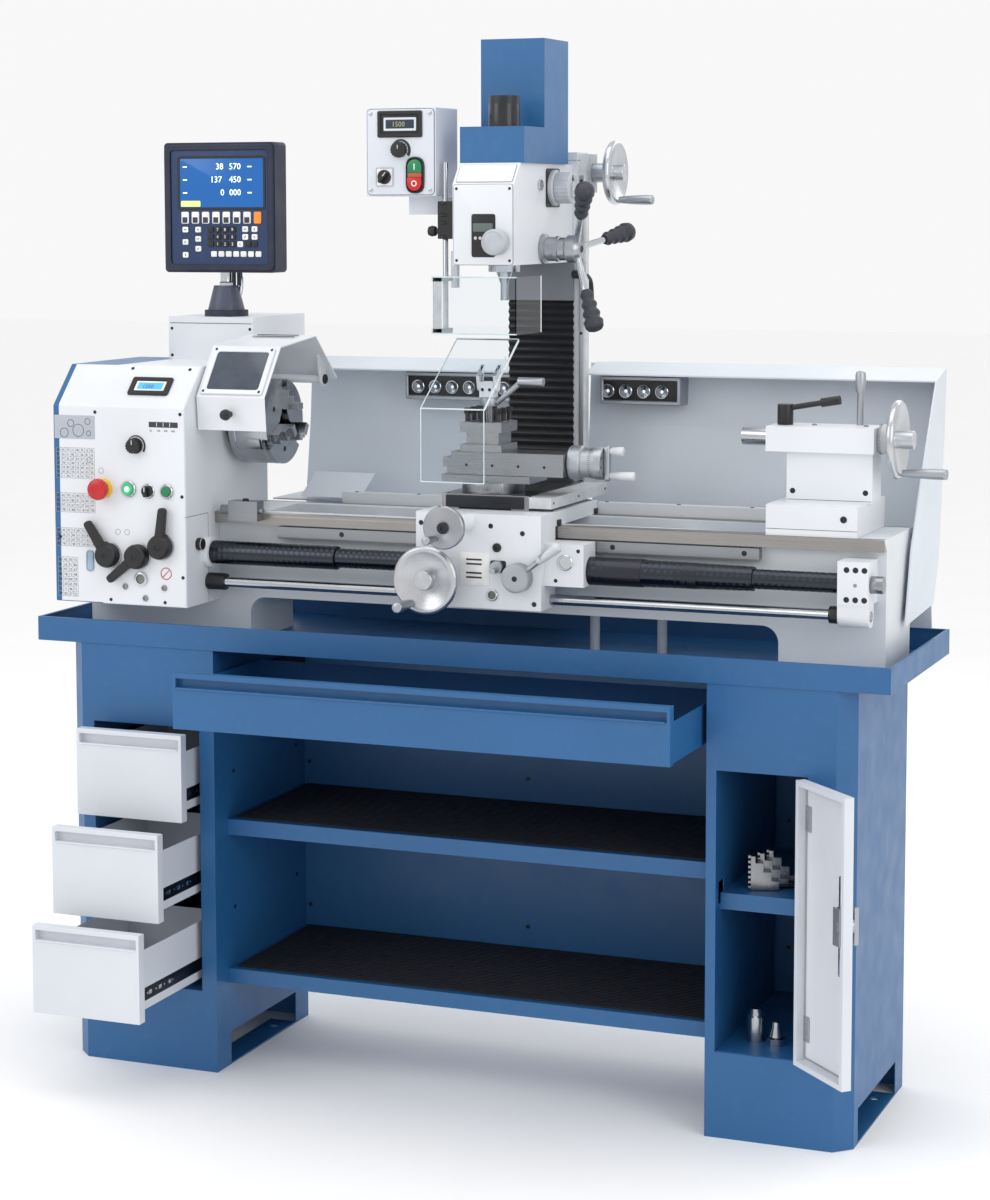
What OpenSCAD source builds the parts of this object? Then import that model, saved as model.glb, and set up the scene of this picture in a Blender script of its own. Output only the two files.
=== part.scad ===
/* [Stand] */
// Height of the two cabinets and of the tray floor above the ground
stand_height = 800; // [740:10:860]
// Front to back depth of both cabinets
cabinet_depth = 396; // [380:4:420]
// Width of the drawer cabinet under the headstock
left_cabinet_width = 307; // [290:1:330]
// Width of the cupboard under the tailstock
right_cabinet_width = 259; // [245:1:280]
// Width and depth of the bevel on the outer front corners
cabinet_chamfer = 30; // [15:1:40]
// Sheet thickness of cabinets, shelves and drawers
stand_sheet = 2; // [1.5:0.5:4]
// Height of the plinth below the doors and drawers
plinth_height = 154; // [120:2:170]
// Radius of the four bolt holes in the feet
foot_hole_radius = 8; // [5:0.5:12]
// Distance of the outer bolt holes from the cabinet sides
foot_hole_inset = 28; // [20:1:40]
// Half the front to back distance between bolt holes
foot_hole_reach = 100; // [70:5:120]
// Height of each of the three small drawer fronts
small_drawer_height = 163; // [150:1:166]
// Width of the small drawer fronts
small_drawer_width = 219; // [200:1:235]
// How far the top drawer is pulled out
top_drawer_out = 69; // [0:1:300]
// How far the middle drawer is pulled out
middle_drawer_out = 163; // [0:1:300]
// How far the bottom drawer is pulled out
bottom_drawer_out = 238; // [0:1:300]
// Height of the front of the wide drawer
wide_drawer_height = 101; // [90:1:106]
// How far the wide drawer is pulled out
wide_drawer_out = 175; // [0:1:280]
// Width of the cupboard door
door_width = 160; // [150:1:170]
// Angle that the cupboard door stands open
door_open = 135; // [0:1:150]

/* [Tray] */
// Length of the chip tray
tray_length = 1640; // [1600:5:1700]
// Front to back depth of the chip tray
tray_depth = 460; // [445:5:490]
// Height of the tray walls
tray_wall_height = 45; // [35:1:48]

/* [Bed and headstock] */
// Height of the top of the bed above the tray floor
bed_rise = 246; // [240:1:260]
// Height of the spindle above the top of the bed
centre_height = 164; // [160:1:170]
// Length of the headstock between its right face and the end cover
headstock_length = 177; // [165:1:190]
// Length of the end cover
end_cover_length = 100; // [80:1:110]
// Front to back depth of the casting between the way faces
bed_width = 182; // [176:1:190]
// Distance that the ways overhang the casting at front and back
way_overhang = 18; // [12:1:21]
// Depth of the ways from top to underside
way_thickness = 21; // [16:1:26]
// Diameter of the chuck
chuck_diameter = 160; // [130:1:164]
// Length of the chuck body
chuck_length = 80; // [60:1:84]
// Diameter of the lead screw
lead_screw_diameter = 22; // [18:1:24]
// Diameter of the feed rod
feed_rod_diameter = 19; // [14:1:20]
// Diameter of the bore through the spindle
spindle_bore = 38; // [20:1:44]

/* [Carriage] */
// Length of the saddle along the bed
saddle_length = 239; // [225:1:250]
// Distance from the headstock to the saddle as photographed
carriage_place = 445; // [425:1:465]
// Width of the cross slide
cross_slide_width = 168; // [140:1:175]
// Diameter of the carriage handwheel
carriage_wheel_diameter = 122; // [100:1:130]
// Diameter of the cross slide handwheel
cross_wheel_diameter = 75; // [60:1:84]
// Diameter of the round swivel under the top slide
swivel_diameter = 115; // [90:1:120]
// Length of the top slide
top_slide_length = 216; // [205:1:225]
// Width of the top slide
top_slide_width = 84; // [76:1:90]
// Side of the square tool post
tool_post_side = 80; // [64:1:84]

/* [Tailstock] */
// Distance from the headstock to the left end of the tailstock barrel
tail_place = 1051; // [1030:1:1071]
// Length of the tailstock barrel
barrel_length = 193; // [180:1:200]
// Diameter of the tailstock quill
tail_quill_diameter = 33; // [24:1:36]
// Diameter of the tailstock handwheel
tail_wheel_diameter = 138; // [110:1:150]

/* [Milling head] */
// Distance from the headstock to the milling spindle
mill_place = 544; // [535:1:553]
// Height of the underside of the milling head above the bed
head_height = 464; // [455:1:480]
// Width of the milling head
head_width = 118; // [110:1:124]
// Height of the milling head
head_tall = 182; // [170:1:190]
// Height of the tall motor cover
motor_cover_height = 226; // [180:2:260]
// Width of the column
column_width = 134; // [124:1:140]
// Height of the column above its foot
column_height = 815; // [790:5:830]
// Diameter of the milling quill
mill_quill_diameter = 60; // [50:1:64]
// Diameter of the column handwheel
z_wheel_diameter = 121; // [100:1:126]

/* [Displays] */
// Width of the position display
display_width = 239; // [220:1:250]
// Height of the position display
display_height = 251; // [220:1:280]
// Width of the milling control box
control_box_width = 137; // [120:1:140]
// Height of the milling control box
control_box_height = 160; // [140:1:180]

/* [Hidden] */
$fn = 48;

// Clearances, overrun of cuts and colours
run_gap = 0.05;
slide_gap = 0.3;
cut = 1;
blue = [0.27, 0.45, 0.63];
navy = [0.12, 0.2, 0.33];
white = [0.88, 0.89, 0.88];
pale = [0.78, 0.82, 0.84];
steel = [0.66, 0.68, 0.7];
black = [0.09, 0.09, 0.1];

// Places of the main pieces
cabinet_front = -cabinet_depth / 2;
tray_front_lip = 2;
tray_front = cabinet_front - tray_front_lip;
tray_back = tray_front + tray_depth;
tray_left = -tray_length / 2;
tray_sheet = 3;
tray_wall = 2;
tray_top = stand_height + tray_wall_height;
tray_overhang = 62;
left_x = [tray_left + tray_overhang, tray_left + tray_overhang + left_cabinet_width];
right_x = [-tray_left - tray_overhang - right_cabinet_width, -tray_left - tray_overhang];
tray_floor = stand_height + tray_sheet;
bed_top = stand_height + bed_rise;
spindle_z = bed_top + centre_height;
bed_mid_y = 19;
bed_front = bed_mid_y - bed_width / 2;
bed_back = bed_mid_y + bed_width / 2;
spindle_offset = 4;
spindle_y = bed_mid_y - spindle_offset;
end_inset = 44;
machine_left = tray_left + end_inset;
cover_right = machine_left + end_cover_length;
face_x = cover_right + headstock_length;
carriage_x = face_x + carriage_place;
tail_x = face_x + tail_place;
mill_x = face_x + mill_place;
head_z = bed_top + head_height;
apron_front = -170;
screw_drop = 73;
rod_drop = 128;
screw_y = -119;
screw_z = bed_top - screw_drop;
rod_z = bed_top - rod_drop;
screw_r = lead_screw_diameter / 2;
rod_r = feed_rod_diameter / 2;

// Straight boxes and rods between named ends
module box(x, y, z) {
    translate([x[0], y[0], z[0]]) cube([x[1] - x[0], y[1] - y[0], z[1] - z[0]]);
}
module rod_x(x, r, y, z) {
    translate([x[0], y, z]) rotate([0, 90, 0]) cylinder(h = x[1] - x[0], r = r);
}
module rod_y(y, r, x, z) {
    translate([x, y[1], z]) rotate([90, 0, 0]) cylinder(h = y[1] - y[0], r = r);
}
module rod_z(z, r, x, y) {
    translate([x, y, z[0]]) cylinder(h = z[1] - z[0], r = r);
}
// Outlines of front to back and height, drawn out along X
module along_x(x) {
    translate([x[0], 0, 0]) rotate([90, 0, 90]) linear_extrude(x[1] - x[0]) children();
}
// Outlines of width and height, drawn out along Y
module along_y(y) {
    translate([0, y[1], 0]) rotate([90, 0, 0]) linear_extrude(y[1] - y[0]) children();
}
// Rectangle with round corners, made of squares and circles
module round_rect(x, y, r) {
    translate([x[0] + r, y[0]]) square([x[1] - x[0] - 2 * r, y[1] - y[0]]);
    translate([x[0], y[0] + r]) square([x[1] - x[0], y[1] - y[0] - 2 * r]);
    for (px = [x[0] + r, x[1] - r], py = [y[0] + r, y[1] - r]) translate([px, py]) circle(r);
}
function grow(span, by) = [span[0] - by, span[1] + by];
function around(middle, size) = [middle - size / 2, middle + size / 2];
function from(start, size) = [start, start + size];

// Cabinets: plinth opening, flanges and front frame
plinth_open_reach = 140;
plinth_open_height = 60;
foot_flange = 3;
foot_flange_width = 56;
left_frame = 54.5;
right_frame = 18;
partition_stop = 20;
drawer_gap = 1.5;
drawer_pitch = small_drawer_height + 2 * drawer_gap;
small_open_x = from(left_x[0] + left_frame, small_drawer_width + 2 * drawer_gap);
small_open_z = from(plinth_height, 3 * drawer_pitch);
door_height = 494;
door_gap = 1;
door_open_x = from(right_x[0] + right_frame, door_width + 2 * door_gap);
door_open_z = from(plinth_height - door_gap, door_height + 2 * door_gap);
runner_width = 12;
runner_height = 32;
runner_length = 350;
runner_rise = 30;
shelf_rise = 245;
shelf_lip = 29;

module cabinet_outline(x, chamfer_left) {
    c = cabinet_chamfer;
    back = cabinet_depth / 2;
    front = cabinet_front;
    left_corner = chamfer_left ? [[x[0] + c, front], [x[0], front + c]] : [[x[0], front]];
    right_corner = chamfer_left ? [[x[1], front]] : [[x[1], front + c], [x[1] - c, front]];
    polygon(concat(left_corner, [[x[0], back], [x[1], back]], right_corner));
}

module cabinet_shell(x, open_x, open_z, chamfer_left) {
    inside_y = grow([cabinet_front, cabinet_depth / 2], -stand_sheet);
    inside_x = grow(x, -stand_sheet);
    difference() {
        linear_extrude(stand_height) cabinet_outline(x, chamfer_left);
        intersection() {
            translate([0, 0, plinth_height]) linear_extrude(stand_height - plinth_height - stand_sheet)
                offset_outline(x, chamfer_left);
            box(inside_x, inside_y, [plinth_height, stand_height]);
        }
        intersection() {
            translate([0, 0, -cut]) linear_extrude(plinth_height - stand_sheet + cut)
                offset_outline(x, chamfer_left);
            box(inside_x, inside_y, [-cut, plinth_height]);
        }
        box(open_x, from(cabinet_front - cut, 2 * cut + stand_sheet), open_z);
        box(grow(x, cut), [-plinth_open_reach, plinth_open_reach],
            [foot_flange, foot_flange + plinth_open_height]);
    }
    for (px = [x[0], x[1] - foot_flange_width]) difference() {
        box(from(px, foot_flange_width), [-plinth_open_reach, plinth_open_reach], [0, foot_flange]);
        for (hy = [-foot_hole_reach, foot_hole_reach])
            rod_z([-cut, foot_flange + cut], foot_hole_radius,
                px == x[0] ? px + foot_hole_inset : x[1] - foot_hole_inset, hy);
    }
    for (px = [open_x[0] - stand_sheet, open_x[1]])
        box(from(px, stand_sheet), [cabinet_front, cabinet_depth / 2 - partition_stop],
            [plinth_height - stand_sheet, stand_height]);
}

// Inner outline of a cabinet, one sheet inside the outer one
module offset_outline(x, chamfer_left) {
    shift = chamfer_left ? stand_sheet : -stand_sheet;
    translate([shift, stand_sheet]) cabinet_outline(x, chamfer_left);
}

module left_cabinet() {
    color(blue) cabinet_shell(left_x, small_open_x, small_open_z, true);
    color(black) for (level = [0:2], px = [small_open_x[0], small_open_x[1] - runner_width])
        box(from(px, runner_width), from(cabinet_front + 2 * runner_width, runner_length),
            from(plinth_height + level * drawer_pitch + runner_rise, runner_height));
}

module right_cabinet() {
    color(blue) difference() {
        cabinet_shell(right_x, door_open_x, door_open_z, false);
        box(grow(from(door_open_x[0] - stand_sheet, stand_sheet), cut),
            from(cabinet_front + door_thickness, 2 * handle_size[1]),
            around(plinth_height + handle_up, 2 * handle_size[0]));
    }
    color(navy) difference() {
        box(door_open_x, [cabinet_front + runner_rise, cabinet_depth / 2 - stand_sheet],
            from(plinth_height + shelf_rise, shelf_lip));
        box(door_open_x, [cabinet_front + runner_rise + stand_sheet, cabinet_depth / 2],
            [plinth_height, plinth_height + shelf_rise + shelf_lip - stand_sheet]);
    }
    color(blue) for (hz = hinge_levels) difference() {
        box([door_axis_x, door_open_x[1] + 3 * hinge_r],
            [door_axis_y, cabinet_front], from(hz, hinge_length / 2 - slide_gap));
        rod_z([hz - cut, hz + hinge_length], hinge_pin_r, door_axis_x, door_axis_y);
    }
    color(steel) for (hz = hinge_levels) difference() {
        rod_z(from(hz, hinge_length / 2 - slide_gap), hinge_r, door_axis_x, door_axis_y);
        rod_z([hz - cut, hz + hinge_length], hinge_pin_r, door_axis_x, door_axis_y);
        box([door_axis_x, door_open_x[1] + 3 * hinge_r], [door_axis_y, cabinet_front],
            from(hz, hinge_length));
    }
}

// Shelf unit between the cabinets
shelf_front = -148;
shelf_depth_end = 190;
upper_shelf_drop = 326;
shelf_lip_height = 30;
upper_shelf_z = from(stand_height - upper_shelf_drop - shelf_lip_height, shelf_lip_height);
lower_shelf_z = [160, 188];
wide_side = 9.5;
wide_runner_drop = 88;
wide_runner_z = from(stand_height - wide_runner_drop, runner_height);

module centre_shelves() {
    span = [left_x[1], right_x[0]];
    color(navy) box(span, from(shelf_depth_end, stand_sheet), [lower_shelf_z[0], stand_height]);
    color(blue) for (z = [upper_shelf_z, lower_shelf_z]) {
        box(span, [shelf_front, shelf_depth_end], [z[1] - stand_sheet, z[1]]);
        box(span, from(shelf_front, stand_sheet), z);
    }
    color(black) for (px = [span[0], span[1] - wide_side + slide_gap])
        box(from(px, wide_side - slide_gap), from(cabinet_front + 2 * runner_width, runner_length),
            wide_runner_z);
}

// Chip tray with two drain hoses between bed and tray
hose_radius = 9;
hose_places = [[212, 40], [335, 60]];
arch_rise = 85;
tray_lip = 6;

module chip_tray() {
    x = [tray_left, -tray_left];
    y = [tray_front, tray_back];
    color(blue) difference() {
        box(x, y, [stand_height, tray_top]);
        box(grow(x, -tray_wall), grow(y, -tray_wall), [tray_floor, tray_top - tray_wall]);
        box(grow(x, -tray_lip), grow(y, -tray_lip), [tray_floor, tray_top + cut]);
    }
    color(black) for (p = hose_places)
        rod_z([tray_floor, stand_height + arch_rise], hose_radius, p[0], p[1]);
}

// Bed casting, ways, rack, stop and right bracket
bed_right_inset = 40;
bed_right = -tray_left - bed_right_inset;
left_foot_length = 64;
left_foot_end = face_x + left_foot_length;
right_foot_length = 190;
right_foot_start = bed_right - right_foot_length;
arch_radius = 30;
bed_wall = 25;
rib_thickness = 15;
rib_count = 4;
back_way_share = 0.8;
stop_screw_rise = 6;
rib_z = [100, 225];
column_block_z = [98, 240];
rack_z = [203, 222];
rack_front = 17;
rack_start = 129;
rack_end_inset = 221;
rack_x = [rack_start, bed_right - face_x - rack_end_inset];
bracket_inset = 69;
bracket_length = 54;
bracket_x = from(bed_right - face_x - bracket_inset, bracket_length);
bracket_z = [138, 213];
bracket_front = -140;
bracket_foot_r = 20;
stop_x = [42, 102];
stop_front = -118;
stop_z = [-13, 24];
stop_screw_r = 6;
stop_knob_r = 9;
stop_knob_length = 20;

module bed() {
    casting_y = [bed_front, bed_back];
    arch_top = stand_height + arch_rise;
    color(pale) difference() {
        along_y(casting_y) difference() {
            translate([machine_left, tray_floor]) square([bed_right - machine_left, bed_top - tray_floor]);
            round_rect([left_foot_end, right_foot_start], [stand_height - arch_radius, arch_top],
                arch_radius);
        }
        box([left_foot_end + bed_wall, right_foot_start - bed_wall], grow(casting_y, -bed_wall),
            [stand_height, bed_top + cut]);
    }
    color(pale) for (n = [1:rib_count]) {
        step = (right_foot_start - left_foot_end) / (rib_count + 1);
        box(around(left_foot_end + n * step, rib_thickness), grow(casting_y, -bed_wall),
            [stand_height + rib_z[0], stand_height + rib_z[1]]);
    }
    color(steel) for (y = [[bed_front - way_overhang, bed_front],
        [bed_back, bed_back + way_overhang * back_way_share]])
        box([face_x, bed_right], y, [bed_top - way_thickness, bed_top]);
    color(pale) box(around(mill_x, column_width), [bed_back, column_y[0]],
        [stand_height + column_block_z[0], stand_height + column_block_z[1]]);
    color(steel) box([face_x + rack_x[0], face_x + rack_x[1]], [bed_front - rack_front, bed_front],
        [stand_height + rack_z[0], stand_height + rack_z[1]]);
    color(white) difference() {
        union() {
            box([face_x + bracket_x[0], face_x + bracket_x[1]], [bracket_front, bed_front],
                [stand_height + bracket_z[0], stand_height + bracket_z[1]]);
            rod_x(from(face_x + bracket_x[0], bracket_x[1] - bracket_x[0]), bracket_foot_r, screw_y, rod_z);
            box([face_x + bracket_x[0], face_x + bracket_x[1]], grow([screw_y, screw_y], bracket_foot_r),
                [rod_z, stand_height + bracket_z[0]]);
        }
        rod_x(grow([face_x + bracket_x[0], face_x + bracket_x[1]], cut), screw_r + run_gap, screw_y,
            screw_z);
        rod_x(grow([face_x + bracket_x[0], face_x + bracket_x[1]], cut), rod_r + run_gap, screw_y, rod_z);
    }
    color(black) difference() {
        box([face_x + stop_x[0], face_x + stop_x[1]], [stop_front, bed_front - way_overhang],
            [bed_top + stop_z[0], bed_top + stop_z[1]]);
        rod_x([face_x + stop_x[0] - cut, face_x + stop_x[1] + cut], stop_screw_r,
            (stop_front + bed_front - way_overhang) / 2, bed_top + stop_screw_rise);
    }
    color(steel) {
        rod_x([face_x + stop_x[0], face_x + stop_x[1] + stop_screw_r], stop_screw_r,
            (stop_front + bed_front - way_overhang) / 2, bed_top + stop_screw_rise);
        rod_x([face_x + stop_x[0] - stop_knob_length, face_x + stop_x[0]], stop_knob_r,
            (stop_front + bed_front - way_overhang) / 2, bed_top + stop_screw_rise);
    }
}

// Headstock section and what stands on its front
head_front = -205;
head_drop = 168;
head_bend = 202;
head_top_front = -135;
head_rise = 274;
head_back = 134;
cover_wall = 4;
spindle_outer_r = 35;
panel_pin_r = 6;
panel_pin_depth = 14;
left_lever_at = [-161, 76];
middle_lever_at = [-99, 76];
right_lever_at = [-50, 56];
stop_at = [-171, -48];
start_at = [-118, -49];
selector_at = [-78, 46];
reset_at = [-38, 47];
speed_at = [-102, 130];
flange_r = 28.5;
flange_length = 12;
jog_r = 11;
jog_length = 10;
jog_at = [-159, -54];
guard_pin_r = 8;
guard_pin_length = 132;
guard_axis = [118, 75];

module headstock_outline() {
    polygon([
        [head_front, bed_top - head_drop], [bed_front, bed_top - head_drop], [bed_front, bed_top],
        [head_back, bed_top], [head_back, bed_top + head_rise],
        [head_top_front, bed_top + head_rise], [head_front, bed_top + head_bend]
    ]);
}

module headstock() {
    color(white) difference() {
        along_x([cover_right, face_x]) headstock_outline();
        rod_x([cover_right - cut, face_x + cut], spindle_outer_r + run_gap, spindle_y, spindle_z);
        rod_x([cover_right - cut, face_x + cut], screw_r + run_gap, screw_y, screw_z);
        rod_x([face_x - headstock_length / 2, face_x + cut], rod_r + run_gap, screw_y, rod_z);
        for (p = [left_lever_at, middle_lever_at, right_lever_at])
            rod_y([head_front - cut, head_front + panel_pin_depth], panel_pin_r + run_gap,
                face_x + p[0], bed_top - p[1]);
        for (p = [stop_at, start_at, [selector_at[0], -selector_at[1]], [reset_at[0], -reset_at[1]],
            [speed_at[0], -speed_at[1]]])
            rod_y([head_front - cut, head_front + panel_pin_depth], panel_pin_r + run_gap,
                face_x + p[0], bed_top - p[1]);
    }
    color(white) difference() {
        rod_x([face_x, face_x + flange_length], flange_r, screw_y, screw_z);
        rod_x([face_x - cut, face_x + flange_length + cut], screw_r + run_gap, screw_y, screw_z);
    }
    color(black) rod_x([face_x, face_x + jog_length], jog_r, jog_at[0], bed_top + jog_at[1]);
    color(steel) rod_x([face_x, face_x + guard_pin_length], guard_pin_r, guard_axis[0],
        spindle_z + guard_axis[1]);
}

module end_cover() {
    color(blue) difference() {
        along_x([machine_left, cover_right]) headstock_outline();
        intersection() {
            along_x([machine_left + cover_wall, cover_right + cut]) headstock_outline();
            box([machine_left, cover_right + cut], [head_front + cover_wall, head_back - cover_wall],
                [bed_top - head_drop + cover_wall, bed_top + head_rise - cover_wall]);
            translate([0, cover_wall, -cover_wall]) along_x([machine_left, cover_right + cut])
                headstock_outline();
            translate([0, -cover_wall, cover_wall]) along_x([machine_left, cover_right + cut])
                headstock_outline();
        }
    }
}

// Electrical cabinet on the headstock, with the foot of the position display
control_x = [-184, -1];
control_y = [80, 310];
control_height = 83;
dro_at = [-86, 135];
dro_disc_r = 42.5;
dro_disc_height = 12;
dro_pin_r = 10;
dro_pin_height = 30;

module control_cabinet() {
    base = bed_top + head_rise;
    color(white) box([face_x + control_x[0], face_x + control_x[1]], control_y, from(base, control_height));
    color(black) rod_z(from(base + control_height, dro_disc_height), dro_disc_r, face_x + dro_at[0],
        dro_at[1]);
    color(steel) rod_z(from(base + control_height + dro_disc_height, dro_pin_height), dro_pin_r,
        face_x + dro_at[0], dro_at[1]);
}

// Backsplash of bent sheet with its lamps, rail and chip ramp
splash_sheet = 3;
splash_left_inset = 4;
splash_left = face_x + splash_left_inset;
splash_right_inset = 32;
splash_right = -tray_left - splash_right_inset;
splash_points = [[249, -155], [292, -72], [325, 151], [335, 271]];
splash_top_front = [255, 252];
splash_foot = -201;
splash_foot_inset = 5;
slot_side = 5;
lamp_spans = [[231, 469], [636, 796]];
rail_shelf_back = 304;
lamp_y = 285;
lamp_z = [192, 247];
rail_x = [163, 1019];
rail_y = [129, 150];
rail_z = [-1, 21];
ramp_x = [71, 198];
ramp_points = [[205, 51], [135, 9]];
wing_front = [[142, 82], [70, -37], [31, -165]];

// Outline of a sheet that follows points, drawn one sheet thick towards the back
function sheet_outline(points, t) = concat(points, [for (n = [len(points) - 1:-1:0]) points[n] + [t, 0]]);

module backsplash() {
    color(pale) translate([0, 0, bed_top]) {
        difference() {
            along_x([splash_left, splash_right]) polygon(sheet_outline(
                concat([[tray_back - splash_foot_inset, splash_foot]], splash_points), splash_sheet));
            box(grow(around(mill_x, column_width), slot_side) + [0, strip_width],
                [spindle_y, tray_back * 2], [column_foot - bed_rise - slot_side, bed_top]);
        }
        for (x = [[splash_left, mill_x - column_width / 2 - slot_side],
                [mill_x + column_width / 2 + slot_side + strip_width, splash_right]])
            along_x(x) polygon([splash_points[3], splash_top_front,
                splash_top_front + [0, -splash_sheet], splash_points[3] + [0, -splash_sheet]]);
        along_x([splash_right, splash_right + splash_sheet])
            polygon(concat([splash_points[3], splash_top_front],
            wing_front, [for (p = splash_points) p + [splash_sheet, 0]]));
        box([splash_left, mill_x - column_width / 2 - slot_side],
            [rail_y[1], rail_shelf_back], from(rail_z[0], splash_sheet));
    }
    color(white) for (lamp = lamp_spans)
        box([face_x + lamp[0], face_x + lamp[1]], [lamp_y, splash_points[2][0] + 2 * splash_sheet],
            [bed_top + lamp_z[0], bed_top + lamp_z[1]]);
    color(pale) box([face_x + rail_x[0], face_x + rail_x[1]], rail_y,
        [bed_top + rail_z[0], bed_top + rail_z[1]]);
    color(pale) translate([0, 0, bed_top]) along_x([face_x + ramp_x[0], face_x + ramp_x[1]])
        polygon(sheet_outline(ramp_points, splash_sheet));
}

// Column of the mill, its dovetail tongue, scale strip and top bracket
column_y = [217, 320];
column_chamfer = [20, 42];
column_foot = 100;
tongue_width = 74;
tongue_depth = 7;
strip_width = 18;
strip_top_drop = 35;
strip_start = 275;
column_top = column_foot + column_height;
strip_z = [strip_start, column_top - strip_top_drop];
wheel_bracket_thickness = 20;
wheel_bracket_x = [0, wheel_bracket_thickness];
wheel_bracket_y = [236, 275];
wheel_bracket_height = 72;
wheel_bracket_drop = 3;
wheel_bracket_z = [column_top - wheel_bracket_drop - wheel_bracket_height, column_top - wheel_bracket_drop];
z_axis_y = 255;
z_wheel_drop = 38;
z_wheel_up = column_top - z_wheel_drop;
z_shaft_r = 9;

module column() {
    base = stand_height + column_foot;
    right = mill_x + column_width / 2;
    color(white) translate([mill_x, 0, base]) linear_extrude(column_height) polygon([
        [-column_width / 2, column_y[0]], [column_width / 2, column_y[0]],
        [column_width / 2, column_y[1] - column_chamfer[1]],
        [column_width / 2 - column_chamfer[0], column_y[1]],
        [column_chamfer[0] - column_width / 2, column_y[1]],
        [-column_width / 2, column_y[1] - column_chamfer[1]]]);
    color(steel) box(around(mill_x, tongue_width), [column_y[0] - tongue_depth, column_y[0]],
        [bed_top, base + column_height]);
    color(steel) box([right, right + strip_width], [column_y[0], column_y[0] + strip_width],
        [stand_height + strip_z[0], stand_height + strip_z[1]]);
    color(white) difference() {
        box([right + wheel_bracket_x[0], right + wheel_bracket_x[1]], wheel_bracket_y,
            [stand_height + wheel_bracket_z[0], stand_height + wheel_bracket_z[1]]);
        rod_x([right - cut, right + wheel_bracket_x[1] + cut], z_shaft_r + run_gap, z_axis_y,
            stand_height + z_wheel_up);
    }
}

// Pleated cover between the bed and the milling head
pleat_count = 26;
pleat_y = [201, 209];
pleat_z = [16, 392];
pleat_sheet = 2;
pleat_inset = 2;

module column_bellows() {
    step = (pleat_z[1] - pleat_z[0]) / pleat_count;
    front = [for (n = [0:2 * pleat_count])
        [n % 2 == 0 ? pleat_y[1] - pleat_sheet : pleat_y[0], pleat_z[0] + n * step / 2]];
    back = [for (n = [2 * pleat_count:-1:0]) front[n] + [pleat_sheet, 0]];
    color(black) translate([0, 0, bed_top]) along_x(around(mill_x, column_width - 2 * pleat_inset))
        polygon(concat(front, back));
}

// Fixed halves of the telescopic lead screw covers
cover_sheet = 2;
left_tube_r = 21.5;
left_tube_length = 267;
right_tube_r = 17;
right_tube_length = 335;

module tube_x(x, r, bore, y, z) {
    difference() {
        rod_x(x, r, y, z);
        rod_x(grow(x, cut), bore, y, z);
    }
}

module screw_covers() {
    color(steel) {
        tube_x(from(face_x + flange_length, left_tube_length - flange_length), left_tube_r,
            left_tube_r - cover_sheet, screw_y, screw_z);
        tube_x([face_x + bracket_x[0] - right_tube_length, face_x + bracket_x[0]], right_tube_r,
            right_tube_r - cover_sheet, screw_y, screw_z);
    }
}

// Milling head, all heights counted from its underside
head_y = [-90, 209];
head_bend_z = 144;
head_slope_y = -58;
mill_y = spindle_y;
quill_r = mill_quill_diameter / 2;
head_bore_top = 165;
capstan_y = 57;
capstan_z = 27;
capstan_r = 12;
gear_knob_at = [106, 138];
gear_shaft_r = 6;
fine_at = [30, 41];
fine_shaft_r = 6;
shaft_depth = 18;
plate_drop = 72;
lever_boss = 18;
lever_boss_r = 8;
side_lever_at = [-20, 12];
side_lever_t = 12;
side_lever_drop = 55;

module mill_head() {
    x = around(mill_x, head_width);
    color(white) translate([0, 0, head_z]) difference() {
        along_x(x) polygon([
            [head_y[0], 0], [head_y[1] + tongue_depth, 0], [head_y[1] + tongue_depth, head_tall],
            [head_slope_y, head_tall], [head_y[0], head_bend_z]
        ]);
        box(grow(around(mill_x, tongue_width), slide_gap), [head_y[1], column_y[0]],
            [-cut, head_tall + cut]);
        rod_z([-cut, head_bore_top], quill_r + run_gap, mill_x, mill_y);
        rod_x([x[1] - shaft_depth, x[1] + cut], capstan_r + run_gap, capstan_y, capstan_z);
        rod_x([x[1] - shaft_depth, x[1] + cut], gear_shaft_r + run_gap, gear_knob_at[0], gear_knob_at[1]);
        rod_y([head_y[0] - cut, head_y[0] + shaft_depth], fine_shaft_r + run_gap, mill_x + fine_at[0],
            fine_at[1]);
    }
    color(pale) box(around(mill_x, column_width - 2 * pleat_inset), pleat_y, [head_z - plate_drop, head_z]);
    color(black) translate([0, 0, head_z]) {
        rod_x([x[0] - lever_boss, x[0]], lever_boss_r, side_lever_at[0], side_lever_at[1]);
        box([x[0] - lever_boss - side_lever_t, x[0] - lever_boss], around(side_lever_at[0], side_lever_t),
            [side_lever_at[1] - side_lever_drop, side_lever_at[1] + side_lever_t]);
    }
}

// Motor covers and the drawbar cap on top of the head
lower_cover_y = [-55, 174];
lower_cover_height = 65;
tall_cover_front = 48;
cover_reach = 65;
cap_at = [15, -25];
cap_r = 27.5;
cap_height = 55;

module motor_cover() {
    x = [mill_x - head_width / 2, mill_x + cover_reach];
    low = head_z + head_tall;
    color(blue) difference() {
        union() {
            box(x, lower_cover_y, from(low, lower_cover_height));
            box(x, [tall_cover_front, lower_cover_y[1]], from(low, motor_cover_height));
        }
        box(grow(x, -cover_wall), grow(lower_cover_y, -cover_wall),
            [low - cut, low + lower_cover_height - cover_wall]);
        box(grow(x, -cover_wall), grow([tall_cover_front, lower_cover_y[1]], -cover_wall),
            [low, low + motor_cover_height - cover_wall]);
    }
    color(black) rod_z(from(low + lower_cover_height, cap_height), cap_r, mill_x + cap_at[0], cap_at[1]);
    color(black) box([x[1] - (x[1] - x[0]) / 2 - cap_r, x[1] - (x[1] - x[0]) / 2 + cap_r],
        [tall_cover_front + 2 * cover_wall,
        lower_cover_y[1] - 2 * cover_wall], [low, low + motor_cover_height - 2 * cover_wall]);
}

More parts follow.
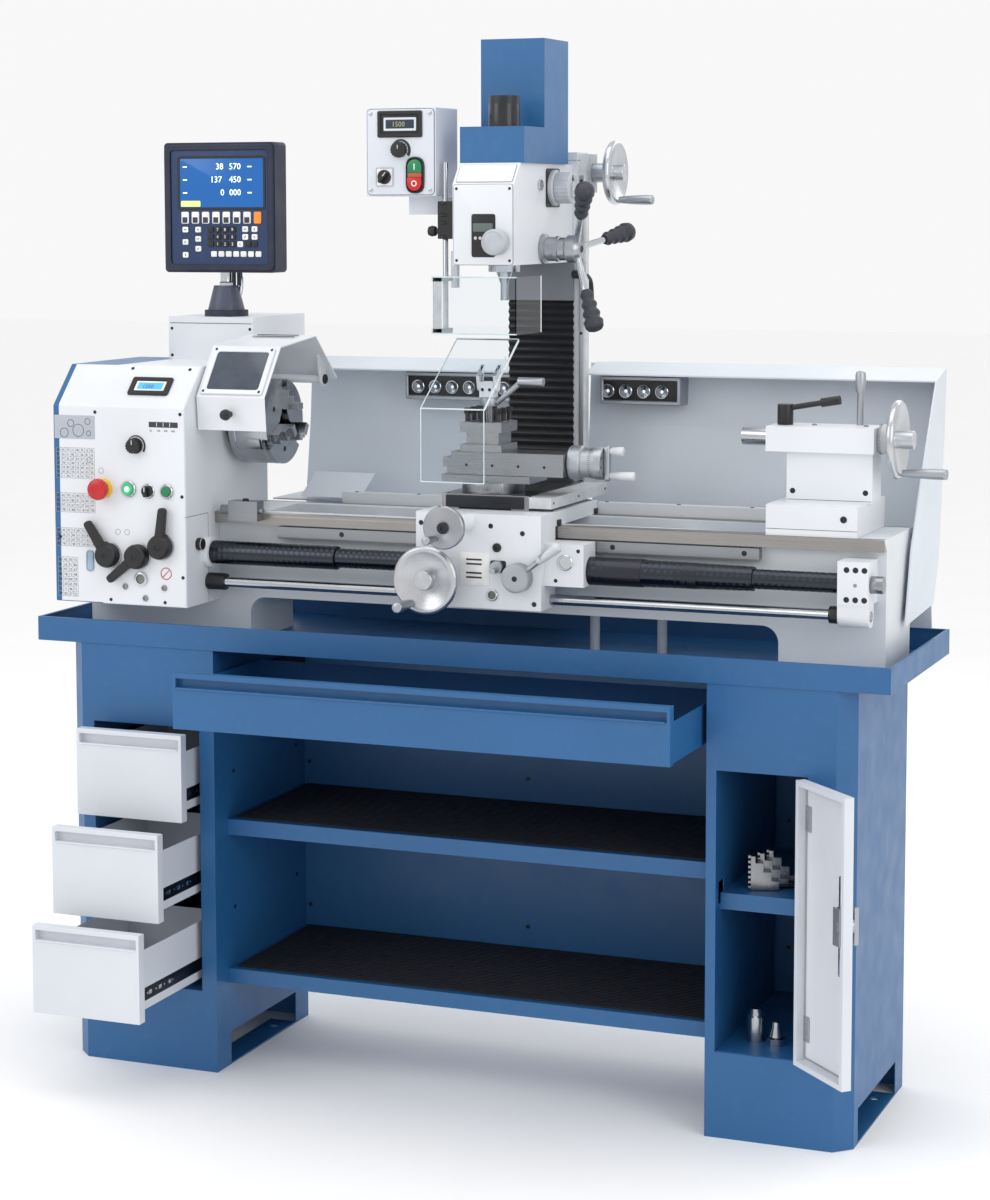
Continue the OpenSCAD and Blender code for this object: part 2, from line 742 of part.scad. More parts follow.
// Control box of the mill with its arm, clamp and the guard rod
box_x = -102;
box_y = [-65, 39];
box_z = 123;
arm_z = [90, 123];
clamp_z = [46, 114];
guard_rod_at = [-90, -49];
guard_rod_r = 5;
guard_rod_z = [-120, 184];
clamp_side = 22;
arm_y = [-30, 30];

module control_box() {
    left = mill_x - head_width / 2;
    color(white) translate([0, 0, head_z]) {
        box(from(mill_x + box_x - control_box_width, control_box_width), box_y,
            from(box_z, control_box_height));
        box([mill_x + box_x - control_box_width / 2, left], arm_y, arm_z);
    }
    color(black) translate([0, 0, head_z]) difference() {
        box([mill_x + guard_rod_at[0] - clamp_side / 2, left],
            around(guard_rod_at[1], clamp_side), clamp_z);
        rod_z(grow(clamp_z, cut), guard_rod_r + run_gap, mill_x + guard_rod_at[0], guard_rod_at[1]);
    }
}

// Drawers
drawer_back = 340;
grip_depth = 14;
grip_height = 18;
grip_drop = 9;
drawer_front_depth = 20;
rail_gap = 0.5;

module drawer_box(x, z, out, height, front_x, front_z) {
    y = [cabinet_front - out, cabinet_front - out + drawer_back];
    inner_x = grow(x, -stand_sheet);
    difference() {
        box(x, [y[0] + drawer_front_depth, y[1]], from(z, height));
        box(inner_x, [y[0] + drawer_front_depth - cut, y[1] - stand_sheet],
            [z + stand_sheet, z + height + cut]);
    }
    difference() {
        box(front_x, from(y[0], drawer_front_depth), front_z);
        box(grow(front_x, -stand_sheet * 3), from(y[0] - cut, grip_depth + cut),
            [front_z[1] - grip_drop - grip_height, front_z[1] - grip_drop]);
    }
}

small_box_height = 110;
small_box_side = runner_width + rail_gap;

module small_drawer(level, out) {
    z = plinth_height + level * drawer_pitch;
    x = grow(small_open_x, -small_box_side);
    color(white) drawer_box(x, z + 2 * grip_drop, out, small_box_height, grow(small_open_x, -drawer_gap),
        [z + drawer_gap, z + drawer_gap + small_drawer_height]);
}
module top_drawer() { small_drawer(2, top_drawer_out); }
module middle_drawer() { small_drawer(1, middle_drawer_out); }
module bottom_drawer() { small_drawer(0, bottom_drawer_out); }

wide_drawer_drop = 13;
wide_box_height = 70;

module wide_drawer() {
    x = grow([left_x[1], right_x[0]], -wide_side);
    top = stand_height - wide_drawer_drop;
    color(blue) drawer_box(grow(x, -rail_gap), top - wide_drawer_height + 2 * drawer_gap,
        wide_drawer_out, wide_box_height,
        x, [top - wide_drawer_height, top]);
}

// Cupboard door on two hinges, drawn closed and turned open
door_thickness = 18;
door_sheet = 2;
hinge_r = 4.5;
hinge_pin_r = 2.5;
hinge_length = 50;
hinge_inset = 40;
hinge_levels = [plinth_height + hinge_inset, plinth_height + door_height - hinge_inset - hinge_length];
door_axis_x = door_open_x[1];
door_axis_y = cabinet_front - hinge_r - slide_gap;
handle_up = 275;
handle_in = 18;
handle_pin_r = 7;
handle_r = 14;
handle_size = [20, 16, 64];

module opened() {
    translate([door_axis_x, door_axis_y, 0]) rotate([0, 0, door_open]) children();
}

module cupboard_door() {
    x = [-door_width - door_gap, -door_gap];
    y = from(hinge_r + slide_gap, door_thickness);
    z = from(plinth_height, door_height);
    color(white) opened() {
        difference() {
            box(x, y, z);
            box(grow(x, -door_thickness / 2), [y[0] + door_sheet, y[1] + cut], grow(z, -door_thickness / 2));
            rod_y(grow(y, cut), handle_pin_r + run_gap, x[0] + handle_in, z[0] + handle_up);
        }
        difference() {
            box([x[0] + cut, x[0] + 2 * handle_in], [y[0] + door_sheet, y[1]],
                around(z[0] + handle_up, 2 * handle_in));
            rod_y(grow(y, cut), handle_pin_r + run_gap, x[0] + handle_in, z[0] + handle_up);
        }
        for (hz = hinge_levels) {
            box([x[1] - 2 * hinge_r, 0], [0, y[0]], [hz + hinge_length / 2, hz + hinge_length]);
            rod_z([hz + hinge_length / 2, hz + hinge_length], hinge_r, 0, 0);
            rod_z([hz, hz + hinge_length], hinge_pin_r - run_gap, 0, 0);
        }
    }
}

module door_handle() {
    x = -door_width - door_gap + handle_in;
    z = plinth_height + handle_up;
    color(black) opened() {
        rod_y([hinge_r - handle_size[1] / 2, hinge_r], handle_r, x, z);
        box(around(x, handle_size[0]), [hinge_r - handle_size[1], hinge_r - handle_size[1] / 2],
            around(z, handle_size[2]));
        rod_y([hinge_r, hinge_r + slide_gap + door_thickness + 2 * door_sheet], handle_pin_r, x, z);
        box(around(x, handle_size[0]),
            from(hinge_r + slide_gap + door_thickness + slide_gap, door_sheet + cut),
            around(z, handle_size[2]));
    }
}

// Spindle, chuck and jaws
flange_r_spindle = 60;
backplate_length = 16;
spindle_tail = 60;
gear_r = 52;
gear_length = 22;
jaw_width = 22;
jaw_step = 12;
jaw_step_share = 0.8;
jaw_reach = [24, 66];
jaw_out = 34;
chuck_bore = 20;
slot_depth = 18;
key_socket_r = 8;
key_socket_share = 0.25;

module at_spindle() { translate([face_x, spindle_y, spindle_z]) children(); }

module spindle() {
    color(steel) at_spindle() difference() {
        union() {
            rod_x([-headstock_length - spindle_tail, 0], spindle_outer_r, 0, 0);
            rod_x([slide_gap, backplate_length], flange_r_spindle, 0, 0);
            rod_x([0, slide_gap], spindle_outer_r, 0, 0);
            rod_x(from(-headstock_length - spindle_tail / 2, gear_length), gear_r, 0, 0);
        }
        rod_x([-headstock_length - spindle_tail - cut, backplate_length + cut], spindle_bore / 2, 0, 0);
    }
}

module jaw_slot(grow_by) {
    box([backplate_length + chuck_length - slot_depth, backplate_length + chuck_length + cut],
        around(0, jaw_width + 2 * grow_by), [0, chuck_diameter / 2 + cut]);
}

module chuck() {
    color(steel) at_spindle() difference() {
        rod_x(from(backplate_length, chuck_length), chuck_diameter / 2, 0, 0);
        rod_x([backplate_length - cut, backplate_length + chuck_length + cut], chuck_bore, 0, 0);
        for (turn = [0:120:240]) rotate([turn, 0, 0]) jaw_slot(slide_gap);
        for (turn = [60:120:300]) rotate([turn, 0, 0])
            rod_z([chuck_diameter * key_socket_share, chuck_diameter / 2 + cut], key_socket_r,
                backplate_length + chuck_length / 2, 0);
    }
}

module jaw(turn) {
    front = backplate_length + chuck_length;
    base = [front - slot_depth + slide_gap, front];
    color(steel) at_spindle() rotate([turn, 0, 0]) {
        box(base, around(0, jaw_width), jaw_reach);
        for (n = [0:2])
            box(from(front, jaw_out - n * jaw_step * jaw_step_share), around(0, jaw_width),
                [jaw_reach[0] + n * jaw_step, jaw_reach[0] + (n + 1) * jaw_step]);
    }
}
module chuck_jaw_1() { jaw(0); }
module chuck_jaw_2() { jaw(120); }
module chuck_jaw_3() { jaw(240); }

// Clear guard over the chuck, bent from sheet, on a pin at its back
guard_x = [4, 144];
guard_sheet = 3;
guard_points = [[-161, -5], [-167, 57], [-97, 148], [53, 162], [152, 77]];
guard_lug = 6;
guard_lug_at = [[70, -62], [40, -37]];
guard_bend_shares = [0.6, 1.4];
guard_hub_r = 14;

module chuck_guard() {
    color(white) translate([face_x, 0, spindle_z]) {
        along_x(guard_x) polygon(concat(guard_points,
            [for (n = [len(guard_points) - 1:-1:0]) guard_points[n]
                + [n == 4 ? -guard_sheet * guard_bend_shares[1] : guard_sheet * guard_bend_shares[0],
                n < 2 ? 0 : -guard_sheet]]));
        for (x = [from(guard_x[0], guard_lug),
            [guard_x[1] - 3 * guard_lug, guard_x[1] - 2 * guard_lug]]) difference() {
            along_x(x) union() {
                translate(guard_axis) circle(guard_hub_r);
                polygon([guard_axis + [-guard_hub_r, 0], guard_axis + [guard_hub_r, 0],
                    guard_points[3] + guard_lug_at[0], guard_points[3] + guard_lug_at[1]]);
            }
            rod_x(grow(x, cut), guard_pin_r + run_gap, guard_axis[0], guard_axis[1]);
        }
    }
}

// Knobs, buttons and levers on the headstock
knob_r = 14;
knob_length = 18;
estop_r = 20;
estop_neck_r = 13;
estop_length = 24;
button_r = 10;
selector_share = 1.2;
button_length = 8;
press = 4;
lever_hub_r = 23;
lever_hub_length = 22;
lever_r = 5;
lever_length = 42;
grip_r = 8;
grip_length = 34;

module panel_item(place) {
    translate([face_x + place[0], head_front, bed_top - place[1]]) children();
}
module pin_to_panel() { rod_y([-slide_gap, panel_pin_depth - press - cut], panel_pin_r, 0, 0); }

module speed_knob() {
    color(black) panel_item([speed_at[0], -speed_at[1]]) {
        rod_y([-knob_length, -slide_gap], knob_r, 0, 0);
        pin_to_panel();
    }
}
module emergency_stop() {
    color([0.75, 0.1, 0.1]) panel_item(stop_at) {
        rod_y([-estop_length - button_length, -estop_length / 2], estop_r, 0, 0);
        rod_y([-estop_length / 2, -press - slide_gap], estop_neck_r, 0, 0);
        rod_y([-press - slide_gap, panel_pin_depth - press - cut], panel_pin_r, 0, 0);
    }
}
module push_button(place, shade) {
    color(shade) panel_item(place) {
        rod_y([-button_length, -press - slide_gap], button_r, 0, 0);
        rod_y([-press - slide_gap, panel_pin_depth - press - cut], panel_pin_r, 0, 0);
    }
}
module start_button() { push_button(start_at, [0.3, 0.75, 0.35]); }
module reset_button() { push_button([reset_at[0], -reset_at[1]], [0.1, 0.55, 0.3]); }
module selector_switch() {
    color(black) panel_item([selector_at[0], -selector_at[1]]) {
        rod_y([-button_length, -slide_gap], button_r * selector_share, 0, 0);
        box(around(0, button_r / 2), [-2 * button_length, -button_length], around(0, 2 * button_r));
        pin_to_panel();
    }
}
module selector_lever(place, angle) {
    color(black) panel_item(place) {
        rod_y([-lever_hub_length, -slide_gap], lever_hub_r, 0, 0);
        pin_to_panel();
        rotate([0, -angle, 0]) {
            rod_x([0, lever_length], lever_r, -lever_hub_length / 2, 0);
            rod_x(from(lever_length, grip_length), grip_r, -lever_hub_length / 2, 0);
        }
    }
}
left_lever_angle = 123;
middle_lever_angle = 219;
right_lever_angle = 83;
module left_lever() { selector_lever(left_lever_at, left_lever_angle); }
module middle_lever() { selector_lever(middle_lever_at, middle_lever_angle); }
module right_lever() { selector_lever(right_lever_at, right_lever_angle); }

// Lead screw and feed rod
rod_collar_r = 15;
rod_collar_x = [0.5, 38];
end_collar_length = 16;
end_collar_x = from(bracket_x[0] - slide_gap - cut - end_collar_length, end_collar_length);
nut_r = 15;
nut_length = 20;
nut_x = bracket_x[1] + 2 * cut;

module lead_screw() {
    color(steel) {
        rod_x([cover_right - gear_length, face_x + nut_x], screw_r, screw_y, screw_z);
        rod_x(from(face_x + nut_x - cut, nut_length + cut), nut_r, screw_y, screw_z);
    }
}
module feed_rod() {
    color(steel) rod_x([face_x - headstock_length / 2 + cut, face_x + bracket_x[1] + cut], rod_r,
        screw_y, rod_z);
    color(black) for (x = [rod_collar_x, end_collar_x])
        rod_x([face_x + x[0], face_x + x[1]], rod_collar_r, screw_y, rod_z);
}

// Carriage: all lengths from the left side of the saddle, heights from the bed top
apron_back = -97;
apron_low = -143;
saddle_high = 26;
saddle_back = 127;
guide_x = [57, 157];
guide_high = 37;
cross_axis = [96, 11];
cross_shaft_r = 8;
boss_r = 18;
boss_length = 70;
wheel_axis = [37, -91];
wheel_shaft_r = 9;
half_nut_at = [198, -84];
half_pin_r = 8;
feed_at = [158, -67];
feed_pin_r = 5;
dial_box_x = [239, 313];
dial_box_y = [-155, -92];
dial_box_z = [-99, -24];
left_slide_r = 17.5;
left_slide_length = 270;
right_slide_rs = [25, 23, 21];
right_slide_length = 300;
right_slide_bore = 18;

module at_carriage() { translate([carriage_x, 0, bed_top]) children(); }

module carriage() {
    screw = -screw_drop;
    rod = -rod_drop;
    color(white) at_carriage() difference() {
        union() {
            box([0, saddle_length], [apron_front, apron_back], [apron_low, saddle_high]);
            box([0, saddle_length], [apron_back - cut, saddle_back], [slide_gap, saddle_high]);
            box(guide_x, [bed_front, saddle_back], [saddle_high - cut, guide_high]);
            rod_y([apron_front - boss_length, apron_front + cut], boss_r, cross_axis[0], cross_axis[1]);
            box(dial_box_x, dial_box_y, dial_box_z);
        }
        rod_x([-cut, dial_box_x[1] + cut], screw_r + run_gap * 2, screw_y, screw);
        rod_x([-cut, dial_box_x[1] + cut], rod_r + run_gap * 2, screw_y, rod);
        rod_y([apron_front - boss_length - cut, saddle_back / 2], cross_shaft_r + run_gap,
            cross_axis[0], cross_axis[1]);
        rod_y([apron_front - cut, apron_front + 2 * shaft_depth], wheel_shaft_r + run_gap,
            wheel_axis[0], wheel_axis[1]);
        rod_y([apron_front - cut, apron_front + shaft_depth], half_pin_r + run_gap, half_nut_at[0],
            half_nut_at[1]);
        rod_y([apron_front - cut, apron_front + shaft_depth], feed_pin_r + run_gap, feed_at[0], feed_at[1]);
    }
    color(steel) at_carriage() {
        tube_x([-left_slide_length, 0], left_slide_r, left_slide_r - cover_sheet, screw_y, screw);
        for (n = [0:2])
            tube_x(from(dial_box_x[1] + n * right_slide_length / 3, right_slide_length / 3),
                right_slide_rs[n], right_slide_bore, screw_y, screw);
    }
}

carriage_wheel_y = [-222, -208];
wheel_hub_r = 20;

// Solid hand wheel facing the operator, with one handle
module front_wheel(r, y, handle_at, handle_r, handle_length, shaft_r, shaft_end) {
    rod_y(y, r, 0, 0);
    rod_y([y[1], shaft_end], shaft_r, 0, 0);
    rod_y([y[0] - handle_length, y[0]], handle_r, handle_at[0], handle_at[1]);
}

wheel_handle_shares = [0.204, 0.34];

module carriage_wheel() {
    color(steel) at_carriage() translate([wheel_axis[0], 0, wheel_axis[1]]) {
        front_wheel(carriage_wheel_diameter / 2, carriage_wheel_y,
            -carriage_wheel_diameter * wheel_handle_shares,
            grip_r + cut, 2 * grip_length, wheel_shaft_r, apron_front + 2 * shaft_depth - cut);
        rod_y([carriage_wheel_y[1], apron_front - slide_gap], wheel_hub_r, 0, 0);
    }
}

half_nut_r = 26;
half_nut_length = 22;
half_lever_length = 92;
half_lever_angle = 38;

module half_nut_lever() {
    color(steel) at_carriage() translate([half_nut_at[0], apron_front, half_nut_at[1]]) {
        rod_y([-half_nut_length, -slide_gap], half_nut_r, 0, 0);
        rod_y([-slide_gap, shaft_depth - cut], half_pin_r, 0, 0);
        rotate([0, -half_lever_angle, 0]) {
            rod_x([0, half_lever_length], lever_r, -half_nut_length / 2, 0);
            rod_x([half_lever_length - grip_length, half_lever_length], grip_r, -half_nut_length / 2, 0);
        }
    }
}

feed_hub_r = 11;
feed_hub_length = 12;

module feed_lever() {
    color(steel) at_carriage() translate([feed_at[0], apron_front, feed_at[1]]) {
        rod_y([-feed_hub_length, -slide_gap], feed_hub_r, 0, 0);
        rod_y([-slide_gap, shaft_depth - cut], feed_pin_r, 0, 0);
        rod_y([-feed_hub_length - grip_length / 2, -feed_hub_length], lever_r, 0, -lever_r);
    }
}

// Cross slide and the cover of its scale
cross_x = [23, 191];
cross_y = [-105, 190];
cross_z = [31, 53];
scale_width = 43;
scale_y = [-105, 199];
scale_z = [31, 51];

module cross_slide() {
    x = around((cross_x[0] + cross_x[1]) / 2, cross_slide_width);
    color(steel) at_carriage() difference() {
        box(x, cross_y, [saddle_high + slide_gap, cross_z[1]]);
        box(grow(guide_x, slide_gap), grow(cross_y, cut), [saddle_high, guide_high + slide_gap]);
    }
    color(white) at_carriage() box(from(x[1], scale_width), scale_y, scale_z);
}

cross_wheel_y = [-276, -262];
cross_handle_shares = [0.2, 0.25];
cross_grip_share = 1.3;

module cross_wheel() {
    color(steel) at_carriage() translate([cross_axis[0], 0, cross_axis[1]]) {
        rod_y([cross_wheel_y[1], apron_front - boss_length - slide_gap], boss_r, 0, 0);
        front_wheel(cross_wheel_diameter / 2, cross_wheel_y,
            -cross_wheel_diameter * cross_handle_shares, grip_r - cut, grip_length * cross_grip_share,
            cross_shaft_r, saddle_back / 2 - cut);
    }
}

// Swivel, top slide and tool post
swivel_at = [101, -45];
swivel_high = 20;
base_x = [17, 187];
base_half = 45;
base_high = 13;
rib_half = 20;
rib_high = 12;
top_x = 34;
top_high = 41;
top_screw_z = 111;
top_shaft_r = 7;
top_end = [21, 12];
top_end_share = 0.7;
post_at = [91, -45];
stud_r = 9;
stud_high = 224;
block_side = 26;
block_high = 28;
tool_hinge_share = 0.7;

swivel_low = cross_z[1] + slide_gap;
base_low = cross_z[1] + swivel_high;
rib_low = base_low + base_high;
top_low = rib_low + 2 * slide_gap;
post_low = top_low + top_high + slide_gap;

module swivel_base() {
    color(steel) at_carriage() {
        rod_z([swivel_low, base_low], swivel_diameter / 2, swivel_at[0], swivel_at[1]);
        box(base_x, around(swivel_at[1], 2 * base_half), [base_low, rib_low]);
        box(base_x, around(swivel_at[1], 2 * rib_half), [rib_low, rib_low + rib_high]);
    }
}

module top_slide() {
    x = from(top_x, top_slide_length);
    color(steel) at_carriage() difference() {
        union() {
            box(x, around(swivel_at[1], top_slide_width), from(top_low, top_high));
            box([x[0] - top_end[0], x[0]], around(swivel_at[1], top_slide_width * top_end_share),
                [top_low + top_end[1], top_low + top_high - top_end[1]]);
        }
        box([x[0] - top_end[0] - cut, x[1] - top_end[0]],
            grow(around(swivel_at[1], 2 * rib_half), slide_gap),
            [rib_low - cut, rib_low + rib_high + slide_gap]);
        rod_x([x[1] - shaft_depth, x[1] + cut], top_shaft_r + run_gap, swivel_at[1], top_screw_z);
    }
    color(steel) at_carriage() rod_z([top_low + top_high, stud_high], stud_r, post_at[0], post_at[1]);
    color(white) at_carriage() difference() {
        box(around(post_at[0], block_side), around(post_at[1], block_side), from(stud_high, block_high));
        rod_x(grow(around(post_at[0], block_side), cut), tool_hinge_r + run_gap, post_at[1],
            stud_high + block_high * tool_hinge_share);
    }
}

drum_r = 29;
drum_length = 29;
dial_r = 22;
dial_length = 35;
crank_arm = 10;
compound_grip_shares = [[1, 0.8], [-1, 1.4]];

module compound_wheel() {
    x = top_x + top_slide_length;
    y = swivel_at[1];
    color(steel) at_carriage() {
        rod_x([x + slide_gap, x + drum_length], drum_r, y, top_screw_z);
        rod_x([x + drum_length, x + drum_length + dial_length], dial_r, y, top_screw_z);
        rod_x([x - shaft_depth + cut, x + slide_gap], top_shaft_r, y, top_screw_z);
        box(from(x + drum_length + dial_length, crank_arm), around(y, crank_arm),
            around(top_screw_z, 2 * dial_r + crank_arm));
    }
    color(steel) at_carriage() for (side = compound_grip_shares)
        rod_x(from(x + drum_length + dial_length + crank_arm, grip_length * side[1]), grip_r, y,
            top_screw_z + side[0] * dial_r);
}

plate_low = 13;
neck_high = 22;
plate_high = 18;
neck_share = 0.78;
bolt_r = 5;
bolt_high = 25;
bolt_share = 0.36;

module tool_post() {
    z = [post_low, post_low + plate_low, post_low + plate_low + neck_high,
        post_low + plate_low + neck_high + plate_high];
    color(steel) at_carriage() translate([post_at[0], post_at[1], 0]) difference() {
        union() {
            box(around(0, tool_post_side), around(0, tool_post_side), [z[0], z[1]]);
            box(around(0, tool_post_side * neck_share), around(0, tool_post_side * neck_share),
                [z[0], z[3]]);
            box(around(0, tool_post_side), around(0, tool_post_side), [z[2], z[3]]);
        }
        rod_z([z[0] - cut, z[3] + cut], stud_r + run_gap, 0, 0);
    }
    color(black) at_carriage() translate([post_at[0], post_at[1], 0])
        for (turn = [0:90:270], along = [-1, 0, 1]) if (turn % 180 == 0 || along == 0) rotate([0, 0, turn])
            rod_z([z[3], z[3] + bolt_high], bolt_r, along * tool_post_side * bolt_share,
                tool_post_side * bolt_share);
}

clamp_low = 209;
clamp_high = 14;
clamp_r = 16;
clamp_lever = 62;
clamp_rise = 40;
clamp_grip_share = 1.4;
tool_hinge_r = 4;

module tool_clamp() {
    color(steel) at_carriage() translate([post_at[0], post_at[1], 0]) {
        difference() {
            union() {
                rod_z(from(clamp_low, clamp_high), clamp_r, 0, 0);
                translate([clamp_r, 0, clamp_low + lever_r])
                    rotate([0, 90 - clamp_rise, 0])
                    cylinder(h = clamp_lever, r = lever_r);
            }
            rod_z(grow(from(clamp_low, clamp_high), cut), stud_r + run_gap, 0, 0);
        }
        translate([clamp_r, 0, clamp_low + lever_r]) rotate([0, 90 - clamp_rise, 0])
            translate([0, 0, clamp_lever]) rotate([0, clamp_rise, 0]) translate([0, 0, -lever_r])
            cylinder(h = grip_length * clamp_grip_share, r = grip_r);
    }
}

// Clear guard in front of the tool post
tool_guard_x = [-1, 122];
tool_lug_shares = [0.66, 0.5];
tool_guard_points = [[-145, 77], [-145, 209], [27, 326]];

module tool_guard() {
    axis = [post_at[1], stud_high + block_high * tool_hinge_share];
    t = guard_sheet;
    p = tool_guard_points;
    color([0.8, 0.85, 0.88, 0.6]) at_carriage() {
        along_x(tool_guard_x) polygon([p[0], p[1], p[2], p[2] + [t, -t],
            p[1] + [t, -t * guard_bend_shares[0]], p[0] + [t, 0]]);
        for (x = [[post_at[0] - block_side / 2 - slide_gap - guard_lug,
            post_at[0] - block_side / 2 - slide_gap],
                from(post_at[0] + block_side / 2 + slide_gap, guard_lug)])
            along_x(x) {
                translate(axis) circle(block_side / 3);
                polygon([axis + [-block_side / 3, 0], axis + [block_side / 3, 0],
                    p[1] + (p[2] - p[1]) * tool_lug_shares[0] + [0, -t],
                    p[1] + (p[2] - p[1]) * tool_lug_shares[1] + [0, -t]]);
            }
        rod_x([post_at[0] - block_side / 2 - slide_gap - guard_lug,
            post_at[0] + block_side / 2 + slide_gap + guard_lug],
            tool_hinge_r, axis[0], axis[1]);
    }
}

// Tailstock: lengths from the left end of the barrel, heights from the spindle axis
barrel_half = 45;
barrel_z = [-23, 21];
neck_x = [35, 188];
neck_half = 32;
neck_low = -110;
tail_base_x = [17, 179];
tail_base_half = 100;
tail_quill_x = [-53, 165];
tail_socket_r = 9;
tail_dial_x = [193.3, 210];
tail_dial_r = 26;
tail_wheel_x = [218, 232];
tail_shaft_r = 8;
tail_nut_length = 25;
lock_at = 23;
lock_pin_r = 6;
upright_at = [150, 30];
upright_r = 6;
upright_high = 58;

module at_tail() { translate([tail_x, spindle_y, spindle_z]) children(); }

module tailstock() {
    color(white) at_tail() difference() {
        union() {
            box([0, barrel_length], [-barrel_half, barrel_half], barrel_z);
            box(neck_x, [-neck_half, neck_half], [neck_low, barrel_z[0] + cut]);
            box(tail_base_x, [-tail_base_half, tail_base_half], [slide_gap - centre_height, neck_low]);
        }
        rod_x([-cut, tail_quill_x[1] + cut], tail_quill_diameter / 2 + run_gap, 0, 0);
        rod_x([tail_quill_x[1], barrel_length + cut], tail_shaft_r + run_gap, 0, 0);
        rod_z([tail_quill_diameter / 2 + cut, barrel_z[1] + cut], lock_pin_r / 2 + run_gap, lock_at, 0);
    }
    color(steel) at_tail() {
        rod_z(from(barrel_z[1], upright_high), upright_r, upright_at[0], upright_at[1]);
        rod_z(from(barrel_z[1] + upright_high, grip_length), grip_r, upright_at[0], upright_at[1]);
    }
}

module tail_quill() {
    color(steel) at_tail() difference() {
        rod_x(tail_quill_x, tail_quill_diameter / 2, 0, 0);
        rod_x([tail_quill_x[0] - cut, tail_quill_x[1] - 4 * grip_length], tail_socket_r, 0, 0);
        rod_x([barrel_length - 4 * grip_length, barrel_length], tail_shaft_r, 0, 0);
    }
}

module tail_wheel() {
    r = tail_wheel_diameter / 2;
    handle_share = 0.84;
    color(steel) at_tail() {
        rod_x(tail_wheel_x, r, 0, 0);
        rod_x(tail_dial_x, tail_dial_r, 0, 0);
        rod_x([tail_dial_x[1], tail_wheel_x[1] + tail_nut_length], wheel_hub_r, 0, 0);
        rod_x([tail_quill_x[1] + cut, tail_dial_x[1]], tail_shaft_r, 0, 0);
        rod_x([barrel_length - 4 * grip_length + 3 * cut, tail_quill_x[1] + cut],
            tail_shaft_r - slide_gap, 0, 0);
        rod_x(from(tail_wheel_x[1], 2 * grip_length + tail_nut_length / 2), grip_r + cut, 0,
            -r * handle_share);
    }
}

quill_lock_hub = 14;
quill_lock_high = 36;
quill_lock_lever = 100;
quill_lock_tilt = 80;

module quill_lock() {
    base = barrel_z[1] + slide_gap;
    color(black) at_tail() translate([lock_at, 0, base]) {
        cylinder(h = quill_lock_high, r = quill_lock_hub);
        translate([0, 0, quill_lock_high - grip_r]) rotate([0, quill_lock_tilt, 0]) {
            cylinder(h = quill_lock_lever, r = lever_r);
            translate([0, 0, quill_lock_lever - grip_length]) cylinder(h = grip_length, r = grip_r);
        }
        translate([0, 0, -slide_gap - 2 * cut]) cylinder(h = slide_gap + 2 * cut, r = lock_pin_r / 2);
    }
}

// Milling quill, capstan and the knobs of the head
quill_low = -14;
quill_top = 118;
nose_rs = [16, 7.5];
nose_z = [-36, -66];

module mill_quill() {
    color(steel) translate([mill_x, mill_y, head_z]) {
        rod_z([quill_low, quill_top], quill_r, 0, 0);
        translate([0, 0, nose_z[0]]) cylinder(h = quill_low - nose_z[0], r1 = nose_rs[1], r2 = nose_rs[0]);
        rod_z([nose_z[1], nose_z[0]], nose_rs[1], 0, 0);
    }
}

capstan_hub_r = 22;
capstan_length = 75;
capstan_arm = 85;
capstan_arm_r = 6;
capstan_grip = 70;
capstan_grip_r = 14;
capstan_turns = [318, 78, 198];
capstan_lean = 20;

module capstan() {
    x = mill_x + head_width / 2;
    color(steel) translate([x, capstan_y, head_z + capstan_z]) {
        rod_x([slide_gap, capstan_length], capstan_hub_r, 0, 0);
        rod_x([cut - shaft_depth, slide_gap], capstan_r, 0, 0);
    }
    for (turn = capstan_turns) translate([x + capstan_length - capstan_r, capstan_y, head_z + capstan_z])
        rotate([-turn, 0, 0]) rotate([0, capstan_lean, 0]) {
            color(steel) cylinder(h = capstan_arm, r = capstan_arm_r);
            color(black) translate([0, 0, capstan_arm]) cylinder(h = capstan_grip, r = capstan_grip_r);
        }
}

gear_plate_half = 35;
gear_plate_depth = 10;
gear_knob_r = 20;
gear_knob_length = 48;

module gear_knob() {
    x = mill_x + head_width / 2;
    color(white) translate([x, gear_knob_at[0], head_z + gear_knob_at[1]]) {
        rod_x([slide_gap + gear_plate_depth, gear_knob_length], gear_knob_r, 0, 0);
        rod_x([slide_gap, slide_gap + gear_plate_depth], gear_plate_half, 0, 0);
        rod_x([cut - shaft_depth, slide_gap], gear_shaft_r, 0, 0);
    }
}

fine_r = 23;
fine_length = 32;

module fine_feed_knob() {
    color(white) translate([mill_x + fine_at[0], head_y[0], head_z + fine_at[1]]) {
        rod_y([-fine_length, -slide_gap], fine_r, 0, 0);
        rod_y([-slide_gap, shaft_depth - cut], fine_shaft_r, 0, 0);
    }
}

z_wheel_x = [56, 70];

module z_wheel() {
    right = mill_x + column_width / 2;
    r = z_wheel_diameter / 2;
    share = 0.84;
    color(steel) translate([right, z_axis_y, stand_height + z_wheel_up]) {
        rod_x(z_wheel_x, r, 0, 0);
        rod_x([wheel_bracket_x[1] + slide_gap, z_wheel_x[0]], boss_r, 0, 0);
        rod_x([wheel_bracket_x[0] + cut, wheel_bracket_x[1] + slide_gap], z_shaft_r, 0, 0);
        rod_x(from(z_wheel_x[1], 2 * grip_length), grip_r + cut, 0, -r * share);
    }
}

// Clear guard round the milling spindle, on its upright rod
spindle_guard_x = [-96, 65];
spindle_guard_y = [-95, 33];
spindle_guard_z = [-124, -21];

